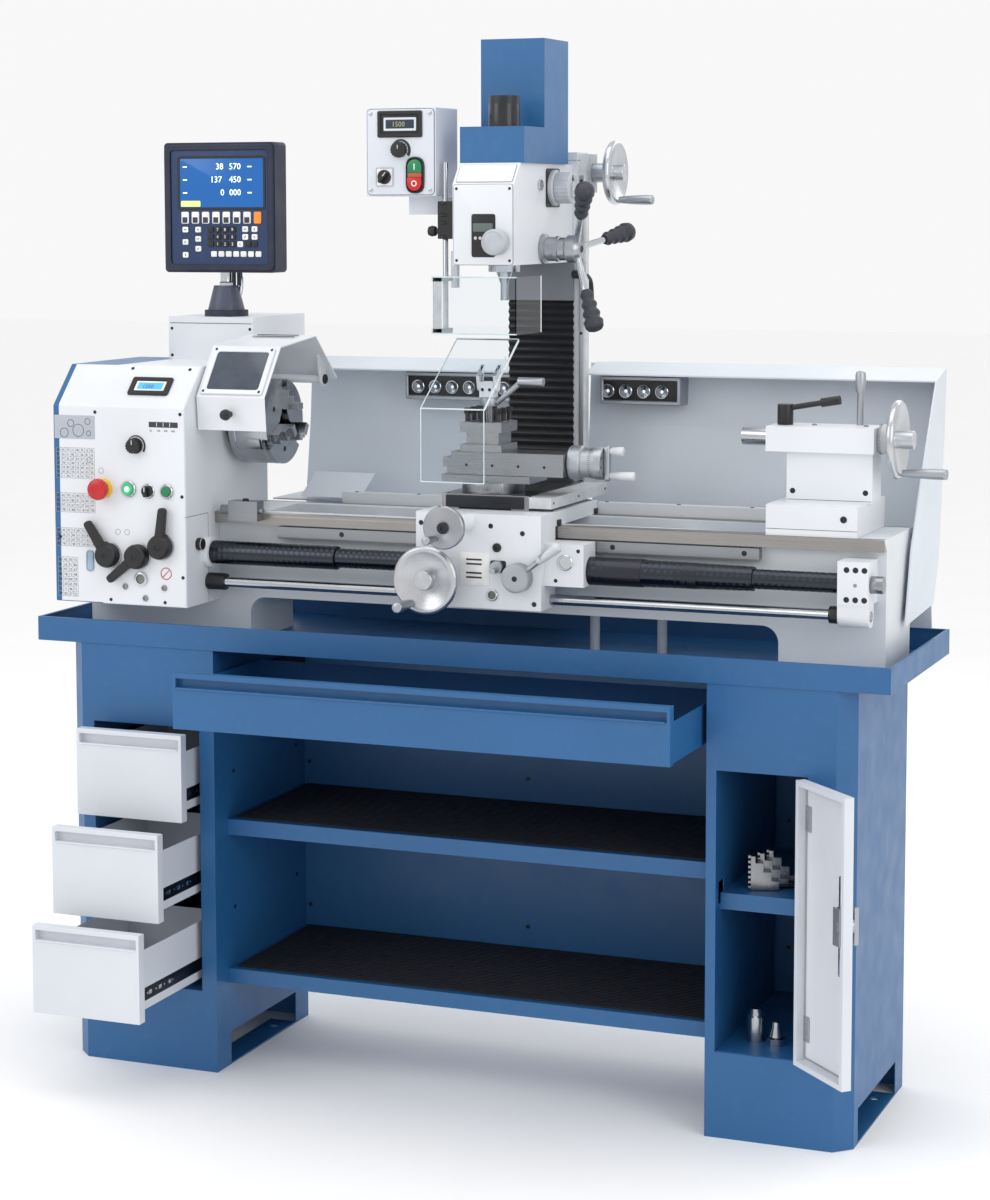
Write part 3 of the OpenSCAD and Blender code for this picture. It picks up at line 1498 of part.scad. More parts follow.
module spindle_guard() {
    t = guard_sheet;
    x = [mill_x + spindle_guard_x[0], mill_x + spindle_guard_x[1]];
    rx = mill_x + guard_rod_at[0];
    color(steel) translate([0, 0, head_z]) rod_z(guard_rod_z, guard_rod_r, rx, guard_rod_at[1]);
    color([0.8, 0.85, 0.88, 0.6]) translate([0, 0, head_z]) {
        box(x, from(spindle_guard_y[0], t), spindle_guard_z);
        box([x[1] - t, x[1]], spindle_guard_y, spindle_guard_z);
    }
    color(white) translate([0, 0, head_z]) for (z = [spindle_guard_z[0], spindle_guard_z[1] - 3 * t])
        difference() {
            box(around(rx, 4 * guard_rod_r),
                [spindle_guard_y[0] + t, guard_rod_at[1] + 2 * guard_rod_r], from(z, 3 * t));
            rod_z(grow(from(z, 3 * t), cut), guard_rod_r, rx, guard_rod_at[1]);
        }
}

// Position display on its swivel cone
dro_cone_rs = [36, 24];
dro_cone_height = 47;
dro_neck_r = 11;
dro_neck_height = 26;
dro_depth = 50;
dro_y = 110;
dro_corner = 8;
dro_cable_r = 4;

module dro_unit() {
    base = bed_top + head_rise + control_height + dro_disc_height;
    x = face_x + dro_at[0];
    color(black) translate([x, dro_at[1], base]) difference() {
        union() {
            translate([0, 0, slide_gap])
                cylinder(h = dro_cone_height, r1 = dro_cone_rs[0], r2 = dro_cone_rs[1]);
            cylinder_from(dro_cone_height, dro_neck_height, dro_neck_r);
        }
        translate([0, 0, -cut]) cylinder(h = dro_pin_height + cut + slide_gap, r = dro_pin_r + run_gap);
    }
    color([0.2, 0.27, 0.36]) along_y(from(dro_y, dro_depth))
        round_rect(around(x, display_width),
            from(base + dro_cone_height + dro_neck_height, display_height), dro_corner);
    color(black) for (side = [1, 2])
        translate([x + dro_neck_r * side + dro_cable_r, dro_at[1] + dro_cable_r,
            base + dro_cone_height + slide_gap])
            cylinder(h = dro_neck_height - slide_gap, r = dro_cable_r);
}
module cylinder_from(low, height, r) { translate([0, 0, low]) cylinder(h = height, r = r); }

left_cabinet();
right_cabinet();
centre_shelves();
chip_tray();
bed();
headstock();
end_cover();
control_cabinet();
backsplash();
column();
column_bellows();
screw_covers();
mill_head();
motor_cover();
control_box();
top_drawer();
middle_drawer();
bottom_drawer();
wide_drawer();
cupboard_door();
door_handle();
spindle();
chuck();
chuck_jaw_1();
chuck_jaw_2();
chuck_jaw_3();
chuck_guard();
speed_knob();
emergency_stop();
start_button();
reset_button();
selector_switch();
left_lever();
middle_lever();
right_lever();
lead_screw();
feed_rod();
carriage();
carriage_wheel();
half_nut_lever();
feed_lever();
cross_slide();
cross_wheel();
swivel_base();
top_slide();
compound_wheel();
tool_post();
tool_clamp();
tool_guard();
tailstock();
tail_quill();
tail_wheel();
quill_lock();
mill_quill();
capstan();
gear_knob();
z_wheel();
spindle_guard();
dro_unit();
fine_feed_knob();
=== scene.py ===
"""Looks of a combination lathe mill on its steel stand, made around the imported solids.

All sizes in the classes are in millimetres in the frame of the solids: X runs from headstock to
tailstock, Y from the operator to the back, Z up from the floor. Shapes become metres when they are put
into the scene.
"""

from __future__ import annotations

import functools
import logging
import math
import operator
from dataclasses import dataclass, field
from enum import Enum

import bpy
import numpy as np
from mathutils import Matrix, Vector


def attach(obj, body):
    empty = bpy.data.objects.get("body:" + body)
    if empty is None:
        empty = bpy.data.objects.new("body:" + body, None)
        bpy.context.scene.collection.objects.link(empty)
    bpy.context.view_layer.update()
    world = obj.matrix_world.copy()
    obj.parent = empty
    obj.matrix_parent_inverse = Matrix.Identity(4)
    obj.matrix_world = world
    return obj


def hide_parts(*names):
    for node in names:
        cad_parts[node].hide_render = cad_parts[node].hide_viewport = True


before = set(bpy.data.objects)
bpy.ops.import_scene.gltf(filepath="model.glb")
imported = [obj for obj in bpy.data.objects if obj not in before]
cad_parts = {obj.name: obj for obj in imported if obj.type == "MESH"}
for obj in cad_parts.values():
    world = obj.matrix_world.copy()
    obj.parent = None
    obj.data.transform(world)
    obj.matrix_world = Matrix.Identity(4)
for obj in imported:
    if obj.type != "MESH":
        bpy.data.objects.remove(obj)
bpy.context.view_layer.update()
LOG = logging.getLogger("lathe_mill")

# Main places of the solids
SPINDLE_Y, SPINDLE_Z = 15.0, 1210.0
FACE_X = -499.0
PANEL_Y = -205.0
APRON_Y = -170.0

# Small sizes that many pieces share, in millimetres
ON_AXIS = 0.01  # radius that closes a turned end
LINE_HEIGHT = 0.2  # height of a printed mark on a dial
WHEEL_DEPTH = 14.0  # thickness of the rims of the handwheels
INK_EDGE = 0.05
SOFT_SHADING = 50.0  # edges up to this angle are shaded smooth on handles
WHEEL_SHADING = 40.0
FLAT_SHADING = 180.0


# ---- finishes


class Lay(Enum):
    """Direction of the tool marks on bare metal."""

    ALONG_X = (8.0, 900.0, 900.0)
    ALONG_Y = (900.0, 8.0, 900.0)
    ALONG_Z = (900.0, 900.0, 8.0)
    EVEN = (420.0, 420.0, 420.0)


class Tree:
    """Short hand for the nodes of one material."""

    def __init__(self, name: str) -> None:
        """Starts a material with a Principled shader.

        Args:
            name: name of the material.
        """
        self.material = bpy.data.materials.new(name)
        self.material.use_nodes = True
        self.nodes = self.material.node_tree.nodes
        self.links = self.material.node_tree.links
        self.shader = self.nodes["Principled BSDF"]
        self.place = self.nodes.new("ShaderNodeTexCoord").outputs["Object"]

    def add(self, kind: str, values: dict | None = None, **options: object) -> bpy.types.Node:
        """Adds a node, sets its options and fills or links its inputs.

        Args:
            kind: node type without the leading ShaderNode.
            values: input name or index to a value or an output socket.
            options: properties of the node.

        Returns:
            The new node.
        """
        node = self.nodes.new("ShaderNode" + kind)
        for key, value in options.items():
            setattr(node, key, value)
        for key, value in (values or {}).items():
            self.put(node.inputs[key], value)
        return node

    def put(self, socket: bpy.types.NodeSocket, value: object) -> None:
        """Links an output to a socket, or sets the socket's own value."""
        if isinstance(value, bpy.types.NodeSocket):
            self.links.new(value, socket)
        else:
            socket.default_value = value

    def set(self, **values: object) -> None:
        """Sets inputs of the Principled shader; underscores stand for spaces."""
        for key, value in values.items():
            self.put(self.shader.inputs[key.replace("_", " ")], value)

    def noise(
        self, scale: float, detail: float = 2.0, stretch: tuple | None = None, rough: float = 0.5
    ) -> object:
        """Noise on object coordinates.

        Args:
            scale: cells per metre.
            detail: octaves.
            stretch: scale of each axis, in place of one scale.
            rough: weight of the finer octaves.

        Returns:
            The output that holds the noise's height.
        """
        vector = self.place
        if stretch:
            vector = self.add("Mapping", {"Vector": self.place, "Scale": stretch}).outputs[0]
            scale = 1.0
        values = {"Vector": vector, "Scale": scale, "Detail": detail, "Roughness": rough}
        return self.add("TexNoise", values).outputs["Fac"]

    def span(self, source: object, low: float, high: float, start: float = 0.3, end: float = 0.7) -> object:
        """Spreads a height between two values.

        Args:
            source: output to read.
            low: value at the start.
            high: value at the end.
            start: height that gives the low value.
            end: height that gives the high value.

        Returns:
            The output with the spread value.
        """
        values = {"Value": source, "From Min": start, "From Max": end, "To Min": low, "To Max": high}
        return self.add("MapRange", values).outputs["Result"]

    def tint(self, source: object, dark: np.ndarray, light: np.ndarray) -> object:
        """Colour between two shades by a height."""
        mix = self.add("Mix", {0: source, 6: (*dark, 1.0), 7: (*light, 1.0)}, data_type="RGBA")
        return mix.outputs[2]

    def bump(self, height: object, depth: float, strength: float = 1.0, under: object = None) -> object:
        """Bump of a depth in metres, on top of another bump if one is given."""
        values = {"Height": height, "Distance": depth, "Strength": strength}
        if under is not None:
            values["Normal"] = under
        return self.add("Bump", values).outputs["Normal"]


def linear(colour: tuple) -> np.ndarray:
    """Turns display values from 0 to 255 into linear light from 0 to 1."""
    c = np.array(colour, float) / 255
    return np.where(c <= 0.04045, c / 12.92, ((c + 0.055) / 1.055) ** 2.4)


MADE: dict[object, bpy.types.Material] = {}


class Finish:
    """A surface finish that makes its material once."""

    def material(self) -> bpy.types.Material:
        """The material of this finish."""
        if self not in MADE:
            tree = Tree(self.name)
            self.build(tree)
            MADE[self] = tree.material
        return MADE[self]


@dataclass(frozen=True)
class Paint(Finish):
    """Sprayed or powder coated paint with a fine orange peel and slight unevenness."""

    name: str
    colour: tuple
    slot: str = "panel_paint"
    roughness: float = 0.36
    peel: float = 420.0
    depth: float = 0.00006
    coat: float = 0.15
    cloud: float = 0.05

    def build(self, tree: Tree) -> None:
        """Clouds of tone, an orange peel bump and patches of other gloss."""
        base = linear(self.colour)
        clouds = tree.noise(3.5, 4.0)
        shade = tree.tint(
            tree.span(clouds, 0.0, 1.0), base * (1 - self.cloud), base * (1 + self.cloud)
        )
        dust = tree.span(tree.noise(46.0, 3.0), 0.0, 0.02, 0.55, 0.8)
        shade = tree.add("Mix", {0: dust, 6: shade, 7: (0.6, 0.6, 0.58, 1.0)}, data_type="RGBA").outputs[2]
        tree.set(Base_Color=shade, Coat_Weight=self.coat, Coat_Roughness=0.2)
        tree.set(Roughness=tree.span(tree.noise(22.0, 3.0), self.roughness * 0.88, self.roughness * 1.15))
        tree.set(Normal=tree.bump(tree.noise(self.peel, 2.0), self.depth, 0.6))


@dataclass(frozen=True)
class Metal(Finish):
    """Bare metal with tool marks and slight stains."""

    name: str
    colour: tuple
    slot: str = "ground_steel"
    roughness: float = 0.28
    lay: Lay = Lay.EVEN
    depth: float = 0.00004
    stain: float = 0.12

    def build(self, tree: Tree) -> None:
        """Marks stretched along the lay for bump and gloss, over clouds of tone."""
        base = linear(self.colour)
        marks = tree.noise(1.0, 3.0, stretch=self.lay.value)
        clouds = tree.noise(14.0, 4.0)
        both = tree.add("Math", {0: marks, 1: clouds}, operation="MULTIPLY").outputs[0]
        tone = tree.span(both, 0.0, 1.0, 0.12, 0.4)
        tree.set(Base_Color=tree.tint(tone, base * (1 - self.stain), base))
        tree.set(Metallic=1.0)
        tree.set(Roughness=tree.span(marks, self.roughness * 0.75, self.roughness * 1.35))
        tree.set(Normal=tree.bump(marks, self.depth, 0.7))


@dataclass(frozen=True)
class Turned(Finish):
    """Metal turned on a lathe, with fine rings round its own axis."""

    name: str
    colour: tuple
    centre: tuple
    across: tuple = (0, 1, 1)
    slot: str = "bright_steel"
    roughness: float = 0.22
    rings: float = 900.0

    def build(self, tree: Tree) -> None:
        """Rings by the distance from the axis; the shine runs away from the axis in fans."""
        base = linear(self.colour)
        keep = tuple(float(v) for v in self.across)
        back = tuple(-c / 1000 * k for c, k in zip(self.centre, keep))
        flat = tree.add("Mapping", {"Vector": tree.place, "Scale": keep, "Location": back}).outputs[0]
        radius = tree.add("VectorMath", {0: flat}, operation="LENGTH").outputs["Value"]
        run = tree.add("CombineXYZ", {"X": radius}).outputs[0]
        marks = tree.add("TexNoise", {"Vector": run, "Scale": self.rings, "Detail": 2.0}).outputs["Fac"]
        tone = tree.span(tree.noise(20.0, 3.0), 0.0, 1.0)
        tree.set(Base_Color=tree.tint(tone, base * 0.9, base), Metallic=1.0)
        tree.set(Roughness=tree.span(marks, self.roughness * 0.7, self.roughness * 1.4), Anisotropic=0.75)
        away = tree.add(
            "VectorTransform", {0: flat}, vector_type="VECTOR", convert_from="OBJECT", convert_to="WORLD"
        )
        tree.set(Tangent=away.outputs[0], Normal=tree.bump(marks, 0.00002, 0.6))


@dataclass(frozen=True)
class Plastic(Finish):
    """Moulded plastic or rubber with a fine grain."""

    name: str
    colour: tuple
    slot: str = "black_plastic"
    roughness: float = 0.42
    grain: float = 900.0
    depth: float = 0.00005
    sheen: float = 0.0

    def build(self, tree: Tree) -> None:
        """Fine grain for bump, with slow patches of tone and gloss."""
        base = linear(self.colour)
        clouds = tree.span(tree.noise(30.0, 3.0), 0.0, 1.0)
        tree.set(Base_Color=tree.tint(clouds, base * 0.86, base * 1.1 + 0.002))
        tree.set(Roughness=tree.span(tree.noise(60.0, 2.0), self.roughness * 0.85, self.roughness * 1.2))
        tree.set(Normal=tree.bump(tree.noise(self.grain, 2.0), self.depth, 0.5), Sheen_Weight=self.sheen)


@dataclass(frozen=True)
class Clear(Finish):
    """Clear sheet plastic with faint scratches."""

    name: str
    colour: tuple = (238, 246, 248)
    slot: str = "clear_guard"
    roughness: float = 0.03
    ior: float = 1.22

    def build(self, tree: Tree) -> None:
        """Clear body whose gloss is broken by long fine scratches."""
        scratches = tree.noise(1.0, 4.0, stretch=(160.0, 160.0, 12.0))
        tree.set(Base_Color=(*linear(self.colour), 1.0), Transmission_Weight=1.0, IOR=self.ior)
        tree.set(Roughness=tree.span(scratches, self.roughness * 0.4, self.roughness * 2.2, 0.45, 0.8))
        tree.set(Normal=tree.bump(scratches, 0.00001, 0.2))


@dataclass(frozen=True)
class Glow(Finish):
    """A lit display, lens or button."""

    name: str
    colour: tuple
    strength: float = 1.0
    slot: str = "display_blue"
    roughness: float = 0.2

    def build(self, tree: Tree) -> None:
        """Light with a slow falloff over a smooth surface."""
        base = linear(self.colour)
        clouds = tree.span(tree.noise(9.0, 2.0), 0.0, 1.0)
        shade = tree.tint(clouds, base * 0.9, base * 1.06)
        tree.set(
            Base_Color=shade, Roughness=self.roughness, Emission_Color=shade, Emission_Strength=self.strength
        )


def wheel_face(name: str, colour: tuple, centre: tuple, across: tuple, roughness: float) -> Turned:
    """Finish of a polished handwheel."""
    return Turned(name, colour, centre, across, "hand_wheel", roughness, 700.0)


def glass(name: str, colour: tuple, roughness: float = 0.1) -> Plastic:
    """Finish of a dark or tinted pane that isn't seen through; it also paints the shade in the chuck guard's
    clear window and the highlights along the edges of clear sheets.
    """
    return Plastic(name, colour, "clear_guard", roughness)


STAND_BLUE = Paint("stand_blue", (34, 92, 143), "stand_paint", 0.42, 380.0, 0.00006, 0.06)
COVER_BLUE = Paint("cover_blue", (40, 97, 147), "stand_paint", 0.4, 520.0, 0.00005, 0.06)
ENAMEL = Paint("white_enamel", (218, 221, 226), "panel_paint", 0.36, 520.0, 0.00004, 0.05)
DRAWER_WHITE = Paint("drawer_white", (210, 214, 221), "panel_paint", 0.4, 700.0, 0.00004, 0.05)
CASTING = Paint("casting_grey", (212, 217, 222), "casting_paint", 0.42, 240.0, 0.00012, 0.05)
SPLASH = Paint("splash_grey", (207, 214, 222), "casting_paint", 0.4, 420.0, 0.00004, 0.05)
HOUSING = Paint("display_housing", (26, 33, 56), "display_blue", 0.55, 900.0, 0.00008, 0.0)
DISPLAY_FACE = Paint("display_face", (30, 52, 92), "display_blue", 0.5, 900.0, 0.00003, 0.0)
CONE_GREY = Paint("cone_grey", (66, 71, 90), "display_blue", 0.5, 900.0)
BOX_GREY = Paint("box_grey", (206, 210, 219), "panel_paint", 0.4, 900.0)
DARK_GREY = Paint("head_plate_grey", (104, 108, 116), "casting_paint", 0.45, 500.0)
WAY_STEEL = Metal("way_steel", (158, 155, 152), "ground_steel", 0.3, Lay.ALONG_X, 0.00002, 0.08)
CROSS_STEEL = Metal("cross_steel", (160, 161, 163), "ground_steel", 0.3, Lay.ALONG_Y, 0.00002, 0.08)
TOOL_STEEL = Metal("tool_steel", (150, 153, 157), "ground_steel", 0.3, Lay.ALONG_X, 0.00002, 0.07)
BRIGHT = Metal("bright_steel", (178, 181, 186), "bright_steel", 0.2, Lay.ALONG_X, 0.00001, 0.05)
BRIGHT_UP = Metal("bright_upright", (178, 181, 186), "bright_steel", 0.2, Lay.ALONG_Z, 0.00001, 0.05)
CHROME = Metal("chrome", (196, 199, 203), "bright_steel", 0.14, Lay.EVEN, 0.000004, 0.04)
DARK_STEEL = Metal("blackened_steel", (62, 64, 69), "ground_steel", 0.36, Lay.ALONG_X, 0.00001, 0.08)
SATIN = Metal("satin_aluminium", (172, 176, 182), "hand_wheel", 0.38, Lay.EVEN, 0.00001, 0.05)
BLACK = Plastic("black_plastic", (20, 21, 24), "black_plastic", 0.42)
SHINY_BLACK = Plastic("shiny_black", (26, 27, 34), "black_plastic", 0.22)
GRIP_BLACK = Plastic("grip_rubber", (44, 48, 56), "black_plastic", 0.5, 500.0, 0.00006)
MAT = Plastic("mat_rubber", (22, 24, 32), "pleat_rubber", 0.75, 700.0, 0.0003)
PLEATS = Plastic("pleat_cloth", (16, 17, 24), "pleat_rubber", 0.38, 900.0, 0.0001, 0.05)
# Dark ink of print and joints; the same finish paints the shade in the open slots of the chuck guard and in
# the socket holes of the compound drum.
INK_AND_HOLE_SHADE = Plastic("dark_ink_and_hole_shade", (52, 54, 58), "black_plastic", 0.6)
FAINT_INK = Plastic("grey_ink", (150, 153, 156), "black_plastic", 0.6)
KNOB_GREY = Plastic("grey_knob", (176, 180, 188), "white_plastic", 0.36)
LIGHT_GREY = Plastic("light_grey_plastic", (200, 203, 206), "white_plastic", 0.35)
MID_GREY = Paint("grey_knob_paint", (172, 178, 188), "panel_paint", 0.4, 900.0)
WHITE_PLASTIC = Plastic("white_plastic", (232, 232, 230), "white_plastic", 0.32)
STOP_RED = Plastic("stop_red", (186, 30, 34), "stop_red", 0.26, 1200.0, 0.00001)
STOP_YELLOW = Plastic("stop_yellow", (222, 182, 36), "stop_red", 0.35)
MARK_RED = Plastic("mark_red", (176, 60, 56), "stop_red", 0.5)
AMBER = Plastic("button_amber", (176, 84, 52), "stop_red", 0.3)
START_GREEN = Glow("start_green", (38, 168, 104), 0.35, "start_green")
LED_GREEN = Glow("start_led", (196, 250, 222), 1.0, "start_green")
RESET_GREEN = Plastic("reset_green", (28, 122, 78), "reset_green", 0.28)
ORANGE = Plastic("orange_key", (232, 140, 44), "white_plastic", 0.4)
SCREEN = Glow("screen_blue", (8, 84, 152), 0.42)
SCREEN_TAG = Glow("screen_tag", (206, 226, 120), 0.7)
SCREEN_INK = Glow("screen_digits", (224, 240, 252), 1.2)
SMALL_SCREEN = Glow("small_screen", (82, 172, 220), 0.4)
DULL_SCREEN = Glow("dull_screen", (92, 102, 100), 0.08)
DARK_SCREEN = Glow("dark_screen", (38, 48, 66), 0.1)
DIGIT_GOLD = Glow("dim_digits", (150, 150, 96), 0.4)
LENS = Metal("lamp_lens", (120, 126, 134), "bright_steel", 0.12, Lay.EVEN, 0.000004, 0.05)
LED = Glow("lamp_led", (240, 244, 248), 0.5, "bright_steel", 0.2)
CLEAR = Clear("clear_sheet", (246, 250, 252), "clear_guard", 0.01, 1.12)


# ---- shapes


@dataclass
class Shape:
    """Points in millimetres and the faces between them."""

    points: np.ndarray
    faces: list

    def __add__(self, other: Shape) -> Shape:
        """Both shapes as one."""
        shift = len(self.points)
        moved = [[i + shift for i in face] for face in other.faces]
        return Shape(np.vstack([self.points, other.points]), self.faces + moved)

    def at(self, place: Place) -> Shape:
        """The shape carried from a flat drawing to its place.

        Args:
            place: where the drawing's own axes lie.

        Returns:
            The moved shape.
        """
        return Shape(place.carry(self.points), self.faces)

    def outward(self) -> Shape:
        """The shape with its faces turned outwards, told by the sign of its volume."""
        total = 0.0
        for face in self.faces:
            ring = self.points[face]
            total += float(np.einsum("i,ni->", ring[0], np.cross(ring[1:-1], ring[2:])))
        if total < 0:
            return Shape(self.points, [face[::-1] for face in self.faces])
        return self


@dataclass
class Place:
    """A drawing board in space: its origin and two drawing axes; the third points out of it."""

    origin: tuple
    u: tuple
    v: tuple

    @classmethod
    def front(cls, x: float, y: float, z: float) -> Place:
        """A board that faces the operator."""
        return cls((x, y, z), (1, 0, 0), (0, 0, 1))

    @classmethod
    def right(cls, x: float, y: float, z: float) -> Place:
        """A board that faces the tailstock end."""
        return cls((x, y, z), (0, 1, 0), (0, 0, 1))

    @classmethod
    def left(cls, x: float, y: float, z: float) -> Place:
        """A board that faces away from the tailstock end."""
        return cls((x, y, z), (0, -1, 0), (0, 0, 1))

    @classmethod
    def top(cls, x: float, y: float, z: float) -> Place:
        """A board that faces up."""
        return cls((x, y, z), (1, 0, 0), (0, 1, 0))

    def basis(self) -> np.ndarray:
        """The three unit axes as rows."""
        u = np.array(self.u, float)
        v = np.array(self.v, float)
        u, v = u / np.linalg.norm(u), v / np.linalg.norm(v)
        return np.stack([u, v, np.cross(u, v)])

    def carry(self, points: np.ndarray) -> np.ndarray:
        """Points of the drawing in space."""
        return np.array(self.origin, float) + points @ self.basis()

    def turned(self, degrees: float) -> Place:
        """The board turned in its own plane."""
        u, v, _ = self.basis()
        c, s = math.cos(math.radians(degrees)), math.sin(math.radians(degrees))
        return Place(self.origin, tuple(u * c + v * s), tuple(v * c - u * s))

    def moved(self, u: float = 0.0, v: float = 0.0, w: float = 0.0) -> Place:
        """The board moved along its own axes."""
        return Place(tuple(self.carry(np.array([[u, v, w]], float))[0]), self.u, self.v)


def loft(rings: np.ndarray, closed: bool = False) -> Shape:
    """Joins rings of equal length by strips of four-sided faces.

    Args:
        rings: array of ring, point and axis.
        closed: whether the last ring joins the first; otherwise flat faces close both ends.

    Returns:
        The closed surface.
    """
    rings = np.asarray(rings, float)
    count, size = rings.shape[:2]
    grid = np.arange(count * size).reshape(count, size)
    low = grid if closed else grid[:-1]
    high = np.roll(grid, -1, 0) if closed else grid[1:]
    quads = np.stack([low, np.roll(low, -1, 1), np.roll(high, -1, 1), high], -1).reshape(-1, 4).tolist()
    if not closed:
        quads += [grid[0][::-1].tolist(), grid[-1].tolist()]
    return Shape(rings.reshape(-1, 3), quads).outward()


def circle(radius: float, count: int = 32, x: float = 0.0, y: float = 0.0) -> np.ndarray:
    """Outline of a circle: cosine and sine of equal turns times the radius."""
    turn = np.linspace(0, 2 * np.pi, count, endpoint=False)
    return np.stack([x + radius * np.cos(turn), y + radius * np.sin(turn)], -1)


def fillet(corners: list, radius: float, steps: int = 4) -> np.ndarray:
    """Outline through corners, each cut round by the curve of two parts that touches both sides.

    Args:
        corners: corner points, counter-clockwise.
        radius: distance from a corner at which its curve starts.
        steps: pieces of each curve.

    Returns:
        The outline's points.
    """
    at = np.array(corners, float)
    before, after = np.roll(at, 1, 0) - at, np.roll(at, -1, 0) - at
    reach = [np.linalg.norm(side, axis=1, keepdims=True) for side in (before, after)]
    start = at + before / reach[0] * np.minimum(radius, reach[0] * 0.48)
    end = at + after / reach[1] * np.minimum(radius, reach[1] * 0.48)
    t = np.linspace(0, 1, steps + 1)[None, :, None]
    curve = (1 - t) ** 2 * start[:, None] + 2 * t * (1 - t) * at[:, None] + t**2 * end[:, None]
    return curve.reshape(-1, 2)


def rect(width: float, height: float, radius: float = 2.0, x: float = 0.0, y: float = 0.0) -> np.ndarray:
    """Outline of a rectangle with round corners about a middle."""
    w, h = width / 2, height / 2
    return fillet([(x - w, y - h), (x + w, y - h), (x + w, y + h), (x - w, y + h)], radius)


def arch(half: float, low: float, high: float) -> np.ndarray:
    """Outline with a straight foot and a round head: half a circle over a band."""
    turn = np.linspace(0, np.pi, 25)
    head = np.stack([half * np.cos(turn), high + half * np.sin(turn)], -1)
    return np.vstack([[(-half, low), (half, low)], head])


def inset(outline: np.ndarray, by: float) -> np.ndarray:
    """Outline moved inwards: each point goes along the mean of its two side normals."""
    side = np.roll(outline, -1, 0) - outline
    side = side / np.maximum(np.linalg.norm(side, axis=1, keepdims=True), 1e-9)
    inward = np.stack([-side[:, 1], side[:, 0]], -1)
    mean = inward + np.roll(inward, 1, 0)
    mean = mean / np.maximum(np.linalg.norm(mean, axis=1, keepdims=True), 1e-9)
    spread = np.clip((mean * inward).sum(1, keepdims=True), 0.35, 1)
    return outline + mean * by / spread


def raised(outline: np.ndarray, height: float) -> np.ndarray:
    """Flat outline lifted to a height."""
    return np.column_stack([outline, np.full(len(outline), height)])


def slab(outline: np.ndarray, low: float, high: float, edge: float = 0.6, crown: float = 0.0) -> Shape:
    """Flat piece drawn from an outline, with its edges rounded over a quarter circle.

    Args:
        outline: counter-clockwise outline.
        low: lower face.
        high: upper face.
        edge: radius of the rounded edges.
        crown: how much the middle of the upper face stands up.

    Returns:
        The closed piece.
    """
    turn = np.linspace(0, np.pi / 2, 4)
    drop, back = edge * (1 - np.sin(turn)), edge * (1 - np.cos(turn))
    rings = [raised(inset(outline, b), low + d) for d, b in zip(drop[::-1], back[::-1])]
    rings += [raised(inset(outline, b), high - d) for d, b in zip(drop, back)]
    if crown:
        middle = outline.mean(0)
        for share in (0.7, 0.4, 0.1):
            ring = middle + (inset(outline, edge) - middle) * share
            rings.append(raised(ring, high + crown * (1 - share**2)))
    return loft(np.stack(rings))


def frame_ring(outer: np.ndarray, inner: np.ndarray, low: float, high: float, edge: float = 0.5) -> Shape:
    """Flat frame between an outer and an inner outline of as many points."""
    rings = [raised(outer, low), raised(outer, high - edge), raised(inset(outer, edge), high)]
    rings += [raised(inset(inner, -edge), high), raised(inner, high - edge), raised(inner, low)]
    return loft(np.stack(rings), closed=True)


def turned(profile: list, count: int = 40) -> Shape:
    """Surface of revolution about the drawing's third axis.

    Args:
        profile: height and radius of each ring, from one end to the other.
        count: faces round the axis.

    Returns:
        The closed surface.
    """
    return loft(np.stack([raised(circle(max(r, ON_AXIS), count), h) for h, r in profile]))


def rounded_rod(radius: float, low: float, high: float, edge: float = 1.0, count: int = 28) -> Shape:
    """Round bar with rounded ends along the drawing's third axis."""
    return slab(circle(radius, count), low, high, edge)


def tube(path: list, radius: object, count: int = 14, smooth: int = 6) -> Shape:
    """Round bar carried along a smooth curve through points.

    Args:
        path: points of the centre line.
        radius: one radius, or one for each point.
        count: faces round the bar.
        smooth: pieces between two points, by the cubic that passes through its four neighbours.

    Returns:
        The closed bar; each ring stands square to the curve and turns as little as it can.
    """
    at = np.array(path, float)
    size = np.broadcast_to(np.asarray(radius, float), len(at)).astype(float)
    line = np.column_stack([at, size])
    ends = np.vstack([2 * line[0] - line[1], line, 2 * line[-1] - line[-2]])
    t = np.linspace(0, 1, smooth, endpoint=False)[:, None]
    parts = []
    for a, b, c, d in zip(ends[:-3], ends[1:-2], ends[2:-1], ends[3:]):
        parts.append(
            0.5 * (2 * b + (c - a) * t + (2 * a - 5 * b + 4 * c - d) * t**2 + (3 * b - a - 3 * c + d) * t**3)
        )
    line = np.vstack([*parts, line[-1:]])
    spine, size = line[:, :3], np.maximum(line[:, 3], ON_AXIS)
    along = np.gradient(spine, axis=0)
    along /= np.linalg.norm(along, axis=1, keepdims=True)
    side = np.cross(along[0], [0.31, 0.27, 0.91])
    rings = []
    for point, direction, r in zip(spine, along, size):
        side = side - direction * (side @ direction)
        side = side / np.linalg.norm(side)
        other = np.cross(direction, side)
        ring = circle(r, count)
        rings.append(point + ring[:, :1] * side + ring[:, 1:] * other)
    return loft(np.stack(rings))


def joined(shapes: list) -> Shape:
    """Several shapes as one."""
    return functools.reduce(operator.add, shapes)


def many(shape: Shape, places: list) -> Shape:
    """One shape repeated at several places, as one."""
    return joined([shape.at(place) for place in places])


def pad(width: float, height: float, radius: float, low: float, high: float, edge: float = 0.6) -> Shape:
    """Plate with round corners and rounded edges about a middle."""
    return slab(rect(width, height, radius), low, high, edge)


def fluted(radius: float, wave: float, flutes: int) -> np.ndarray:
    """Outline of a fluted knob: the radius follows a cosine round the circle."""
    turn = np.linspace(0, 2 * np.pi, 96, endpoint=False)
    reach = radius + wave * np.cos(turn * flutes)
    return np.stack([reach * np.cos(turn), reach * np.sin(turn)], -1)


